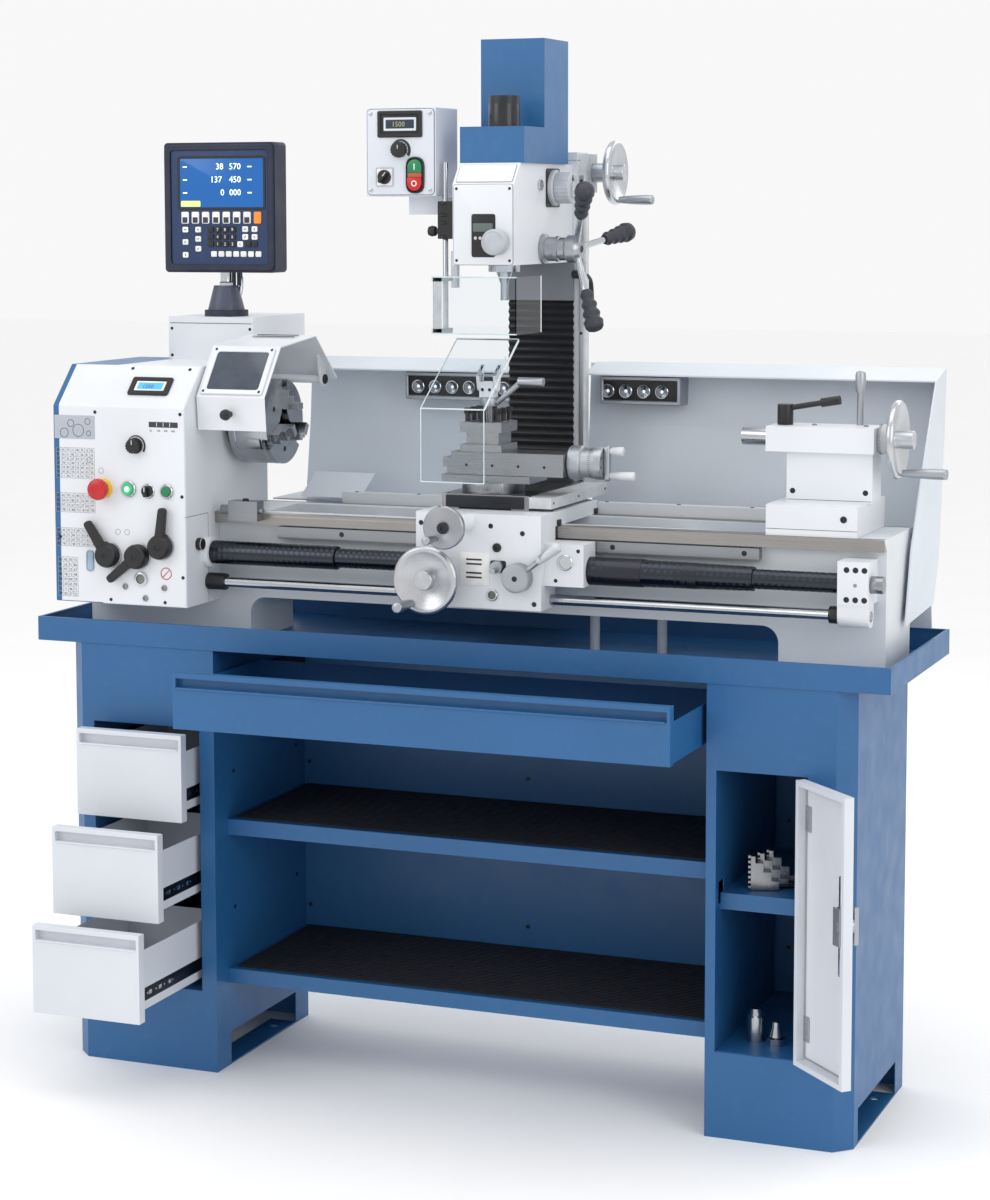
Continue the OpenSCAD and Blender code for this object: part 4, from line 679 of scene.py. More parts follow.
def growing_arc(radius: float, widest: float, low: float, high: float) -> Shape:
    """Printed arc round a knob: it starts 0.8 mm wide and widens evenly over 250 degrees."""
    angle = np.linspace(math.radians(215), math.radians(-35), 30)
    way = np.stack([np.cos(angle), np.sin(angle)], -1)
    outer = way * (radius + np.linspace(0.8, widest, 30))[:, None]
    outline = np.vstack([way * radius, outer[::-1]])
    return loft(np.stack([raised(outline, low), raised(outline, high)]))


def dial_marks(
    centre: tuple, axis: tuple, radius: float, outs: np.ndarray, size: tuple = (0.6, 5.0, LINE_HEIGHT)
) -> Shape:
    """Fine marks round a dial, each lying along its axis.

    Args:
        centre: middle of the marks on the axis.
        axis: direction of the axis.
        radius: distance of the marks' lower faces from the axis.
        outs: unit directions from the axis, one row for each mark.
        size: width, length and height of a mark.

    Returns:
        All marks as one shape.
    """
    origins = np.array(centre) + outs * radius
    boards = [Place(tuple(spot), tuple(side), axis) for spot, side in zip(origins, np.cross(axis, outs))]
    return many(pad(*size[:2], 0.1, 0, size[2], INK_EDGE), boards)


def spread_x(count: int) -> np.ndarray:
    """Directions round the X axis in equal turns: nought, cosine and sine."""
    turn = np.linspace(0, 2 * np.pi, count, endpoint=False)
    return np.stack([np.zeros(count), np.cos(turn), np.sin(turn)], -1)


def screw_head(radius: float, height: float = 1.6) -> Shape:
    """Low round screw head with a hexagon socket sunk in it: rings go down into the socket."""
    rim = [(-0.2, radius), (height * 0.6, radius), (height, radius * 0.8)]
    rings = [raised(circle(r, 12), h) for h, r in rim]
    rings += [raised(circle(radius * 0.42, 12), height), raised(circle(radius * 0.38, 12), height * 0.3)]
    return loft(np.stack(rings))


def cap_screw(radius: float, height: float) -> Shape:
    """Tall cap screw with a deep socket."""
    rings = [
        raised(circle(r, 16), h) for h, r in [(-0.5, radius), (height - 0.8, radius), (height, radius - 0.8)]
    ]
    rings += [raised(circle(radius * 0.55, 16), height), raised(circle(radius * 0.5, 16), height * 0.4)]
    return loft(np.stack(rings))


# ---- pieces in the scene


def make_piece(name: str, shape: Shape, finish: Finish, body: str, angle: float = 32.0) -> bpy.types.Object:
    """Puts a shape into the scene as a piece.

    Args:
        name: name of the piece.
        shape: its surface in millimetres.
        finish: its finish.
        body: the body that it rides on.
        angle: edges sharper than this stay sharp in shading.

    Returns:
        The new object.
    """
    mesh = bpy.data.meshes.new(name)
    mesh.from_pydata((shape.points / 1000.0).tolist(), [], shape.faces)
    mesh.materials.append(finish.material())
    mesh.polygons.foreach_set("use_smooth", np.ones(len(mesh.polygons), bool))
    mesh.set_sharp_from_angle(angle=math.radians(angle))
    mesh.update()
    piece = bpy.data.objects.new(name, mesh)
    bpy.context.scene.collection.objects.link(piece)
    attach(piece, body)
    return piece


def dress(node: str, finish: Finish, edge: float = 0.8, zones: list | None = None, steps: int = 2) -> None:
    """Gives a solid its finish and rounds its sharp edges.

    Args:
        node: name of the solid.
        finish: its main finish.
        edge: radius of the edges in millimetres; nothing is rounded at zero.
        zones: pairs of a box in millimetres and the finish of the faces in it.
        steps: pieces of each rounded edge.
    """
    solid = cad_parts[node]
    mesh = solid.data
    mesh.materials.clear()
    mesh.materials.append(finish.material())
    count = len(mesh.polygons)
    index = np.zeros(count, np.int32)
    if zones:
        centre = np.zeros(count * 3, np.float32)
        mesh.polygons.foreach_get("center", centre)
        centre = centre.reshape(-1, 3) * 1000
        for number, (box, other) in enumerate(zones, 1):
            low, high = np.array(box[::2], float), np.array(box[1::2], float)
            mesh.materials.append(other.material())
            index[((centre >= low - 0.05) & (centre <= high + 0.05)).all(1)] = number
    mesh.polygons.foreach_set("material_index", index)
    if edge:
        weld = solid.modifiers.new("joined", "WELD")
        weld.merge_threshold = 0.00002
        bevel = solid.modifiers.new("edges", "BEVEL")
        bevel.limit_method, bevel.angle_limit = "ANGLE", math.radians(34)
        bevel.width, bevel.segments = edge / 1000, steps
        bevel.use_clamp_overlap, bevel.harden_normals = True, True
        bevel.miter_outer = "MITER_ARC"


class Assembly:
    """A sub-assembly: it dresses its solids and adds its fine pieces."""

    title = "assembly"
    body = "stand"

    def piece(self, name: str, finish: Finish, *shapes: Shape, **options: object) -> bpy.types.Object:
        """Adds one piece of this sub-assembly made of several shapes.

        Args:
            name: name of the piece.
            finish: its finish.
            shapes: its shapes.
            options: body to ride on, whether it stands for that body's solid, and shading angle.

        Returns:
            The new object.
        """
        whole = joined(shapes)
        body = options.get("body", self.body)
        made = make_piece(name, whole, finish, body, options.get("angle", 32.0))
        if options.get("stands"):
            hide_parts(body)
        LOG.info("%s: %s, %d faces", self.title, name, len(whole.faces))
        return made

    def sight(self, name: str, rim: Shape, pane: Shape, finish: Finish, at: Place) -> None:
        """Adds an oil sight: a bright turned rim and the domed pane in it."""
        self.piece(f"{name}_rim", CHROME, rim.at(at))
        self.piece(f"{name}_glass", finish, pane.at(at))

    def fasten(self, name: str, head: Shape, spots: list, body: str | None = None) -> None:
        """Adds dark screws of one kind at several spots."""
        self.piece(name, DARK_STEEL, many(head, spots), body=body or self.body)

    def build(self) -> None:
        """Makes everything of the sub-assembly."""
        raise NotImplementedError


# ---- shared details


def pointing(origin: tuple, direction: tuple) -> Place:
    """A board whose outward axis points in a direction."""
    w = np.array(direction, float) / np.linalg.norm(direction)
    u = np.cross([0.0, 0.0, 1.0] if abs(w[2]) < 0.9 else [0.0, 1.0, 0.0], w)
    u = u / np.linalg.norm(u)
    return Place(origin, tuple(u), tuple(np.cross(w, u)))


def figures(text: str, size: float, place: Place) -> Shape:
    """Plain numbers as flat faces, just above a board.

    Args:
        text: the numbers, with line breaks.
        size: height of a line in millimetres.
        place: board, with its origin at the start of the first line.

    Returns:
        The faces of the numbers.
    """
    curve = bpy.data.curves.new("figures", "FONT")
    curve.body, curve.size, curve.resolution_u = text, size, 2
    holder = bpy.data.objects.new("figures", curve)
    mesh = holder.to_mesh()
    points = np.zeros(len(mesh.vertices) * 3, np.float32)
    mesh.vertices.foreach_get("co", points)
    points = points.reshape(-1, 3).astype(float)
    faces = [list(p.vertices) for p in mesh.polygons]
    holder.to_mesh_clear()
    bpy.data.objects.remove(holder)
    bpy.data.curves.remove(curve)
    return Shape(place.carry(points), faces)


def grid_lines(width: float, height: float, columns: int, rows: int, line: float = 0.7) -> Shape:
    """Ruled lines of a table, from its lower left corner: thin bars at equal steps."""
    bars = [
        slab(rect(line, height, 0.1, width * n / columns, height / 2), 0.0, 0.25, 0.05)
        for n in range(columns + 1)
    ]
    bars += [
        slab(rect(width, line, 0.1, width / 2, height * n / rows), 0.0, 0.25, 0.05) for n in range(rows + 1)
    ]
    return joined(bars)


def handle(length: float, thin: float, thick: float) -> Shape:
    """Turned handle that swells towards its end: its radius follows half a sine wave."""
    share = np.linspace(0, 1, 14)
    radius = thin + (thick - thin) * np.sin(share * np.pi * 0.62)
    profile = [(0, thin * 0.6)] + [(length * s, r) for s, r in zip(share, radius)]
    profile += [(length + 1.2, radius[-1] - 1.4), (length + 1.6, ON_AXIS)]
    return turned(profile, 24)


def dished_wheel(radius: float, depth: float, hub: float, hub_out: float) -> Shape:
    """Polished wheel: a round rim, a face that falls to the hub in a shallow cone, and the hub."""
    rim = 6.0
    turn = np.linspace(-np.pi / 2, np.pi / 2, 9)
    half = depth / 2
    edge = [(half + half * math.sin(a), radius - rim + rim * math.cos(a)) for a in turn]
    profile = [(0.0, ON_AXIS), (0.0, radius * 0.5), *edge]
    profile += [(depth - 1.5, radius - rim - 5), (depth - 3.5, radius - rim - 8), (depth * 0.32, hub + 6)]
    profile += [
        (depth * 0.3, hub + 1), (depth * 0.45, hub), (hub_out - 1, hub), (hub_out, hub - 1),
        (hub_out, ON_AXIS),
    ]
    return turned(profile, 72)


def paddle(hub: float, thick: float, reach: float, wide: float, tip: float) -> Shape:
    """Moulded lever: a domed hub and an arm that narrows to a round end along the second axis."""
    knob = turned(
        [(0, hub), (thick * 0.62, hub), (thick * 0.8, hub - 1.2), (thick * 0.92, hub - 4), (thick, ON_AXIS)],
        40,
    )
    arm = fillet([(-wide, 0), (wide, 0), (tip, reach), (-tip, reach)], tip * 0.9, 5)
    return knob + slab(arm, thick * 0.3, thick * 0.86, 2.4)


def ribbed_grip(length: float, radius: float, ribs: int = 5) -> Shape:
    """Rubber grip that flares to its end: ribs in a cosine wave on a growing radius."""
    share = np.linspace(0, 1, ribs * 8 + 1)
    body = radius * (0.62 + 0.42 * share**1.2)
    ribbed = body + radius * 0.1 * np.cos(share * ribs * 2 * np.pi + np.pi)
    ribbed[-6:] = radius * np.linspace(1.08, 0.98, 6)
    profile = [(0, ON_AXIS), (0, radius * 0.45)] + [(length * s, r) for s, r in zip(share, ribbed)]
    profile += [
        (length + radius * 0.25, radius * 0.8), (length + radius * 0.42, radius * 0.4),
        (length + radius * 0.45, ON_AXIS),
    ]
    return turned(profile, 28)


def bent_sheet(points: list, thick: float, x: tuple) -> Shape:
    """Sheet bent along a line in the YZ plane and as long as a span of X.

    Each bend is a parabola between points 4 mm before and after the corner.

    Args:
        points: corners of the line as Y and Z.
        thick: thickness, laid on the left side of the line.
        x: start and end of the sheet.

    Returns:
        The closed sheet.
    """
    at = np.array(points, float)
    step = np.diff(at, axis=0)
    step /= np.linalg.norm(step, axis=1, keepdims=True)
    t = np.linspace(0, 1, 5)[None, :, None]
    corner = at[1:-1, None, :]
    before, after = corner - step[:-1, None, :] * 4, corner + step[1:, None, :] * 4
    bends = (1 - t) ** 2 * before + 2 * t * (1 - t) * corner + t**2 * after
    line = np.vstack([at[:1], bends.reshape(-1, 2), at[-1:]])
    along = np.gradient(line, axis=0)
    along /= np.linalg.norm(along, axis=1, keepdims=True)
    other = line + np.stack([-along[:, 1], along[:, 0]], -1) * thick
    ring = np.vstack([line, other[::-1]])
    spans = [x[0], x[0] + 0.4, x[1] - 0.4, x[1]]
    return loft(np.stack([np.column_stack([np.full(len(ring), v), ring]) for v in spans]))


# ---- stand


@dataclass
class Stand(Assembly):
    """Two cabinets, the shelf unit between them and the chip tray."""

    title: str = "stand"
    shelf_tops: tuple = (474.0, 188.0)
    runner_levels: tuple = (184.0, 350.0, 516.0)
    hose_at: tuple = ((212.0, 40.0), (335.0, 60.0))

    def build(self) -> None:
        """Dresses the sheet metal and lays the mats, screws and loose things."""
        runners = [
            ((x, x + 12, -180, 180, z, z + 32), DARK_STEEL)
            for z in self.runner_levels for x in (-703.5, -493.5)
        ]
        dress("left_cabinet", STAND_BLUE, 0.7, runners)
        dress("right_cabinet", STAND_BLUE, 0.7)
        wide = [((x, x + 9.5, -180, 180, 711, 745), DARK_STEEL) for x in (-451, 489.7)]
        dress("centre_shelves", STAND_BLUE, 0.7, wide)
        hoses = [((x - 9.5, x + 9.5, y - 9.5, y + 9.5, 803.5, 886), MID_GREY) for x, y in self.hose_at]
        dress("chip_tray", STAND_BLUE, 0.9, hoses)
        self.mats()
        self.holes()
        self.stored()

    def mats(self) -> None:
        """Rubber mats on the shelves, with low ribs across them."""
        for number, top in enumerate(self.shelf_tops):
            mat = pad(930, 318, 4, 0, 2.6, 0.8).at(Place.top(24, 26, top + 0.05))
            ribs = [
                pad(926, 1.6, 0.3, 2.4, 3.2, 0.3).at(Place.top(24, y, top)) for y in np.arange(-126, 180, 9.0)
            ]
            self.piece(f"shelf_mat_{number}", MAT, mat, *ribs)

    def holes(self) -> None:
        """Dark screw heads along the back panel and in the cabinets."""
        head = screw_head(4, 1.4)
        back = [Place.front(x, 189.9, z) for x in (-440, 24, 488) for z in (230, 400, 520, 660)]
        cup = [Place.front(x, 195.9, z) for x in (540, 650) for z in (240, 330, 480, 600)]
        side = [Place.right(-450.9, y, z) for y in (-120, 150) for z in (300, 560)]
        self.fasten("back_panel_screws", head, back + cup + side)

    def stored(self) -> None:
        """Spare stepped jaws, a wrench and two sleeves in the cupboard."""
        steps = [(0, 0), (50, 0), (50, 16), (36, 16), (36, 32), (22, 32), (22, 48), (8, 48), (8, 60), (0, 60)]
        jaw = slab(np.array(steps, float), 0, 20, 0.5)
        jaw = joined([jaw, *(slab(rect(5, 5, 0.5, -2, 5 + 9 * n), 1, 19, 0.4) for n in range(7))])
        boards = [Place((556 + 9 * n, -120 + 26 * n, 429.2), (0.82, 0.3, 0), (0, 0, 1)) for n in range(3)]
        self.piece("spare_jaws", TOOL_STEEL, many(jaw, boards))
        blade = fillet([(0, -7), (120, -5), (120, 5), (0, 7)], 4)
        jawed = fillet([(-26, -14), (-8, -16), (4, -7), (4, 7), (-8, 16), (-26, 14), (-14, 5), (-14, -5)], 4)
        key = slab(blade, 0, 6, 1.2) + slab(jawed, 0, 7, 1.2)
        self.piece("wrench", DARK_STEEL, key.at(Place((590, -105, 429.2), (0.9, 0.42, 0), (-0.42, 0.9, 0))))
        sleeve = turned(
            [(0, ON_AXIS), (0, 17), (44, 17), (46, 15), (50, 12), (58, 11), (58, 7), (20, 6), (20, ON_AXIS)],
            36,
        )
        small = turned(
            [(0, ON_AXIS), (0, 17), (12, 17), (14, 12), (30, 8), (40, 7), (40, 4), (20, 3), (20, ON_AXIS)], 36
        )
        self.piece(
            "sleeves", BRIGHT_UP, sleeve.at(Place.top(566, -110, 154.2)),
            small.at(Place.top(606, -120, 154.2)),
        )


@dataclass
class Drawers(Assembly):
    """The three small drawers, the wide drawer and their moving rails."""

    title: str = "drawers"
    small: dict = field(
        default_factory=lambda: {
            "top_drawer": (-267.0, 486.0), "middle_drawer": (-361.0, 320.0), "bottom_drawer": (-436.0, 154.0)
        }
    )

    def build(self) -> None:
        """Dresses the drawers and adds rails, ball cages and a rolled grip lip."""
        left, right = -691.25, -493.75
        for name, (front, level) in self.small.items():
            dress(name, DRAWER_WHITE, 1.4, steps=3)
            for side, x in (("left", left), ("right", right)):
                rail = slab(rect(322, 24, 1.5, 181, 0), -0.2, 0, 0.08)
                self.piece(
                    f"{name}_rail_{side}", DARK_STEEL, rail.at(Place.right(x, front, level + 46)), body=name
                )
            cage = [slab(rect(12, 8, 2, 60 + 38 * n, 0), 0, 0.18, 0.05) for n in range(3)]
            dots = [slab(circle(2.2, 10, 50 + 32 * n, 0), 0, 0.18, 0.05) for n in range(4)]
            cages = joined(cage + dots).at(Place.right(right, front, level + 46))
            self.piece(f"{name}_cage", CHROME, cages, body=name)
            lip = pad(203, 3.2, 1.4, 0, 2.4, 0.9)
            grip = lip.at(Place.front((left + right) / 2, front + 0.4, level + 136.4))
            self.piece(f"{name}_lip", DRAWER_WHITE, grip, body=name)
        dress("wide_drawer", STAND_BLUE, 1.4, steps=3)
        lip = pad(915, 3.6, 1.6, 0, 2.6, 0.9)
        self.piece("wide_drawer_lip", STAND_BLUE, lip.at(Place.front(24, -372.8, 760.2)), body="wide_drawer")


@dataclass
class CupboardDoor(Assembly):
    """Open door of the cupboard with its latch."""

    title: str = "cupboard door"
    body: str = "cupboard_door"
    axis: tuple = (679.0, -202.8)
    opened: float = 135.0

    def board(self, along: float, out: float, z: float) -> Place:
        """Board on the door's inner face.

        Args:
            along: distance from the hinge along the door.
            out: distance from the hinge axis through the door, towards its inside.
            z: height.

        Returns:
            The board; its outward axis leaves the inner face.
        """
        a = math.radians(self.opened)
        run, deep = np.array([math.cos(a), math.sin(a)]), np.array([-math.sin(a), math.cos(a)])
        x, y = np.array(self.axis) - run * along + deep * out
        return Place((x, y, z), (-run[0], -run[1], 0), (0, 0, 1))

    def build(self) -> None:
        """Door skin, the strip round its inside, the lock case and the hinge leaves."""
        dress("cupboard_door", DRAWER_WHITE, 1.2, steps=3)
        dress("door_handle", SATIN, 1)
        inner = self.board(80, 6.9, 401)
        self.piece(
            "door_strip", FAINT_INK, frame_ring(rect(138, 470, 3), rect(131, 463, 3), 0, 1.2).at(inner)
        )
        case = pad(30, 62, 4, 0, 9, 1.6).at(self.board(143, 7.2, 429))
        bars = [pad(8, 70, 3, 9, 12, 1).at(self.board(143, 7.2, 429 + s * 50)) for s in (-1, 1)]
        self.piece("lock_case", CHROME, case, *bars)
        hinge = pad(24, 44, 2, 0, 1.6, 0.5)
        spots = [self.board(16, 7.2, z) for z in (219, 583)]
        self.piece(
            "hinge_leaves", SATIN, many(hinge, spots),
            many(screw_head(3.4), [p.moved(4, s, 1.4) for p in spots for s in (-12, 12)]),
        )


# ---- bed


@dataclass
class Bed(Assembly):
    """Bed casting with ways, rack, right bracket and stop."""

    title: str = "bed"
    rack_x: tuple = (-370.0, 559.0)
    tooth: float = 4.712
    tooth_z: tuple = (1003.0, 999.4)

    def build(self) -> None:
        """Dresses the casting by zones and adds the fine pieces."""
        ways = (-499.5, 780.5, -91, -71.9, 1024.5, 1046.5)
        back = (-499.5, 780.5, 110, 125, 1024.5, 1046.5)
        rack = (*self.rack_x, -89.5, -71.9, 1002, 1023)
        stop = (-480, -390, -120, -90, 1030, 1072)
        zones = [(ways, WAY_STEEL), (back, WAY_STEEL), (rack, TOOL_STEEL), (stop, TOOL_STEEL)]
        zones += [((710.5, 765.5, -141, -72.5, 896, 1014), ENAMEL)]
        dress("bed", CASTING, 1.1, zones)
        self.rack()
        self.screws()
        self.way_faces()

    def rack(self) -> None:
        """Teeth under the rack: each is a wedge, and all are made from one row of corner points."""
        count = int((self.rack_x[1] - self.rack_x[0]) / self.tooth)
        x = self.rack_x[0] + self.tooth * (np.arange(count) + 0.5)
        wide, narrow = self.tooth * 0.36, self.tooth * 0.16
        root, tip = self.tooth_z
        cross = np.array([[-wide, root], [wide, root], [narrow, tip], [-narrow, tip]])
        front = np.stack(
            [x[:, None] + cross[:, 0], np.full((count, 4), -88.6), np.tile(cross[:, 1], (count, 1))], -1
        )
        back = front + np.array([0, 14.0, 0])
        points = np.concatenate([front, back], 1).reshape(-1, 3)
        base = np.array([[1, 2, 3, 0], [7, 6, 5, 4], [4, 5, 1, 0], [5, 6, 2, 1], [6, 7, 3, 2], [7, 4, 0, 3]])
        faces = (np.arange(count)[:, None, None] * 8 + base).reshape(-1, 4).tolist()
        self.piece("rack_teeth", TOOL_STEEL, Shape(points, faces))

    def screws(self) -> None:
        """Cap screws of the rack and the bracket, the bracket's plug and the stop's screw."""
        cap = cap_screw(5, 0.8)
        spots = [Place.front(x, -88.9, 1012.5) for x in (-238, 26, 290, 532)]
        self.fasten("rack_screws", cap, spots)
        x = (727, 742.5, 758)
        holes = [Place.front(a, -139.8, z) for a in x for z in (999, 948)]
        self.fasten("bracket_screws", cap_screw(5.2, 0.9), holes)
        self.piece(
            "bracket_plug", TOOL_STEEL, rounded_rod(3.2, -0.2, 0.6, 0.3).at(Place.front(742, -140, 973))
        )
        self.piece("stop_screw", DARK_STEEL, cap_screw(6, 4).at(Place.top(-427, -104, 1069.8)))

    def way_faces(self) -> None:
        """Bevelled running edges on both ways."""
        for name, y, turn in (("front", -90, 1), ("back", 124.4, -1)):
            line = [
                (y - 0.3 * turn, 1031), (y - 0.3 * turn, 1043), (y + 4 * turn, 1046.4),
                (y + 14 * turn, 1046.4),
            ]
            self.piece(f"{name}_way_edge", WAY_STEEL, bent_sheet(line, 0.3 * -turn, (-498, 779)))


# ---- headstock


@dataclass
class Headstock(Assembly):
    """Headstock with its front panel, tables, gauges and plugs."""

    title: str = "headstock"
    left: float = -763.0
    right: float = -500.5
    low: float = 880.0
    bend: float = 1248.0
    top: float = 1319.0
    skin: float = 1.5

    def face(self, x: float, z: float, out: float = 0) -> Place:
        """Board on the upright part of the panel."""
        return Place.front(x, PANEL_Y - self.skin - out, z)

    def slope(self, x: float, up: float, out: float = 0) -> Place:
        """Board on the sloped part; up is the distance above the bend."""
        run = np.array([70.0, 72.0]) / math.hypot(70, 72)
        start = np.array([PANEL_Y - self.skin, self.bend + 0.5]) + run * up
        normal = np.array([-run[1], run[0]])
        y, z = start + normal * out
        return Place((x, y, z), (1, 0, 0), (0, run[0], run[1]))

    def build(self) -> None:
        """Casting, front panel, side seam, tables, displays and fittings."""
        dress("headstock", ENAMEL, 2, steps=3)
        dress("end_cover", COVER_BLUE, 2, steps=3)
        dress("control_cabinet", ENAMEL, 2.2, [((-630, -540, 90, 180, 1402.8, 1450), HOUSING)], 3)
        self.panel()
        self.tables()
        self.meter()
        self.fittings()
        self.cabinet()

    def panel(self) -> None:
        """White front plate that wraps over the slope, its screws and the casting's side seam."""
        line = [(PANEL_Y, self.low), (PANEL_Y, self.bend), (-135.6, self.top)]
        self.piece("front_panel", ENAMEL, bent_sheet(line, self.skin, (self.left, self.right)))
        spots = [
            (-658, 886), (-544, 886), (-506, 934), (-506, 1084), (-508, 1236), (-686, 1236), (-764, 1000)
        ]
        heads = many(screw_head(3.2, 1.2), [self.face(x, z) for x, z in spots])
        up = many(screw_head(3.2, 1.2), [self.slope(x, 92) for x in (-640, -520)])
        self.piece("panel_screws", DARK_STEEL, heads, up)
        seam = pad(0.9, 0.9, 0.2, 0, 2, 0.1)
        side = slab(rect(87, 1, 0.2, -161.5, 0), -0.2, 0.12, 0.05).at(Place.right(FACE_X, 0, 1046))
        drop = slab(rect(1, 168, 0.2, -118, 962), -0.2, 0.12, 0.05).at(Place.right(FACE_X, 0, 0))
        self.piece("side_seam", INK_AND_HOLE_SHADE, side, drop, seam.at(self.face(-501.5, 1046, -1)))

    def tables(self) -> None:
        """Plain gear tables of ruled lines and numbers, and the drawing of a gear train."""
        lines, marks = [], []
        for x, z, w, h, columns, rows in (
            (-770, 1111, 81, 57, 8, 7), (-772, 1047, 83, 36, 8, 4), (-772, 983, 83, 34, 8, 4),
            (-770, 888, 42, 74, 4, 8),
        ):
            lines.append(grid_lines(w, h, columns, rows).at(self.face(x, z)))
            rule = h / rows
            for row in range(rows):
                cells = [
                    f"{(row * 7 + column * 3) % 9 + 1}{(row + column * 5) % 10}" for column in range(columns)
                ]
                for column, cell in enumerate(cells):
                    at = self.face(x + w / columns * (column + 0.16), z + h - rule * (row + 0.8), 0.28)
                    marks.append(figures(cell, rule * 0.78, at))
        self.piece("gear_tables", FAINT_INK, *lines)
        self.piece("table_numbers", INK_AND_HOLE_SHADE, *marks, angle=FLAT_SHADING)
        plate = pad(86, 44, 2, 0, 0.4, 0.15).at(self.face(-730, 1207))
        self.piece("diagram_plate", MID_GREY, plate)
        gears = ((-752, 1196, 9), (-738, 1214, 7), (-722, 1201, 12), (-702, 1218, 6), (-700, 1196, 5))
        drawn = [
            frame_ring(circle(r, 28), circle(r - 0.9, 28), 0.4, 0.7, 0.1).at(self.face(x, z))
            for x, z, r in gears
        ]
        self.piece("diagram_gears", INK_AND_HOLE_SHADE, *drawn)
        strip = pad(60, 10, 1, 0, 0.5, 0.15).at(self.face(-543, 1216))
        ticks = [pad(1, 7, 0.2, 0.4, 0.9, 0.1).at(self.face(-570 + 13.5 * n, 1216)) for n in range(1, 4)]
        self.piece("speed_strip", INK_AND_HOLE_SHADE, strip)
        self.piece("speed_ticks", WHITE_PLASTIC, *ticks)
        numbers = [
            figures(text, 5.2, self.face(-572 + 15 * n, 1203, 0.3))
            for n, text in enumerate(("50", "100", "200", "400"))
        ]
        self.piece("speed_numbers", INK_AND_HOLE_SHADE, *numbers, angle=FLAT_SHADING)
        symbols = [
            frame_ring(circle(5.5, 20), circle(4.6, 20), 0, 0.4, 0.1).at(self.face(x, z))
            for x, z in ((-700, 1146), (-675, 1127), (-641, 1014), (-622, 1014))
        ]
        self.piece("panel_rings", FAINT_INK, *symbols)

    def meter(self) -> None:
        """Spindle speed display on the slope: a black bezel round a lit screen."""
        at = self.slope(-586, 48)
        bezel = frame_ring(rect(84, 42, 5), rect(64, 24, 3), 0.2, 5, 1.4)
        self.piece("meter_bezel", BLACK, bezel.at(at), pad(70, 30, 3, 0.2, 1.2, 0.3).at(at))
        inner = frame_ring(rect(62, 23, 2), rect(52, 16, 1), 1.2, 3.4, 0.5)
        self.piece("meter_mask", WHITE_PLASTIC, inner.at(at))
        self.piece("meter_screen", SMALL_SCREEN, pad(54, 18, 1, 1, 1.9, 0.2).at(at))
        self.piece("meter_numbers", INK_AND_HOLE_SHADE, figures("1250", 12, at.moved(-17, -4.5, 2.1)), angle=FLAT_SHADING)

    def fittings(self) -> None:
        """Oil gauges, plugs and the jog button."""
        oval = rect(16, 40, 8)
        at = self.face(-701, 957)
        self.piece("gauge_rim", SATIN, frame_ring(oval, inset(oval, 2.2), 0, 2.4, 0.8).at(at))
        pane = slab(inset(oval, 2), 0, 1.2, 0.3, 0.8)
        self.piece("gauge_glass", glass("gauge_glass", (150, 176, 204), 0.12), pane.at(at))
        rim = turned([(0, 13), (4, 13), (5, 11), (5, 9), (2, 8.6), (1.6, ON_AXIS)], 36)
        pane = slab(circle(8.4, 28), 1.4, 2.6, 0.3, 1)
        self.sight("oil_sight", rim, pane, glass("oil_glass", (120, 124, 116)), self.face(-593, 928))
        plug = turned([(0, 6), (2.4, 6), (3, 5.2), (3, 3.4), (1, 3), (1, ON_AXIS)], 6)
        spots = [(-627, 912), (-585, 892), (-545, 913)]
        self.piece("oil_plugs", TOOL_STEEL, many(plug, [self.face(x, z) for x, z in spots]))
        at = self.face(-541, 940)
        ring = frame_ring(circle(11.5, 32), circle(9.8, 32), 0, 0.5, 0.1)
        bar = pad(18, 1.6, 0.4, 0, 0.5, 0.1)
        self.piece("stop_turn_mark", MARK_RED, ring.at(at), bar.at(at.turned(45)))
        flange = turned([(0, 28), (9, 28), (11.5, 26.5), (12, 24), (12, 22.5), (0, 22.5)], 48)
        self.piece("screw_flange", ENAMEL, flange.at(Place.right(FACE_X + 0.3, -119, 973)))
        jog = turned([(0, 11.4), (9, 11.4), (10.6, 10), (11, ON_AXIS)], 32)
        self.piece("jog_cap", BLACK, jog.at(Place.right(FACE_X, -159, 992)))

    def cabinet(self) -> None:
        """Lid seam and screws of the electrical cabinet."""
        seam = frame_ring(rect(182.6, 230.6, 5), rect(181, 229, 5), 0, 1.2, 0.2)
        self.piece("cabinet_seam", INK_AND_HOLE_SHADE, seam.at(Place.top(-591.5, 195, 1390)))
        heads = [Place.front(x, 80.2, z) for x in (-676, -507) for z in (1328, 1380)]
        self.fasten("cabinet_screws", screw_head(3, 1), heads)


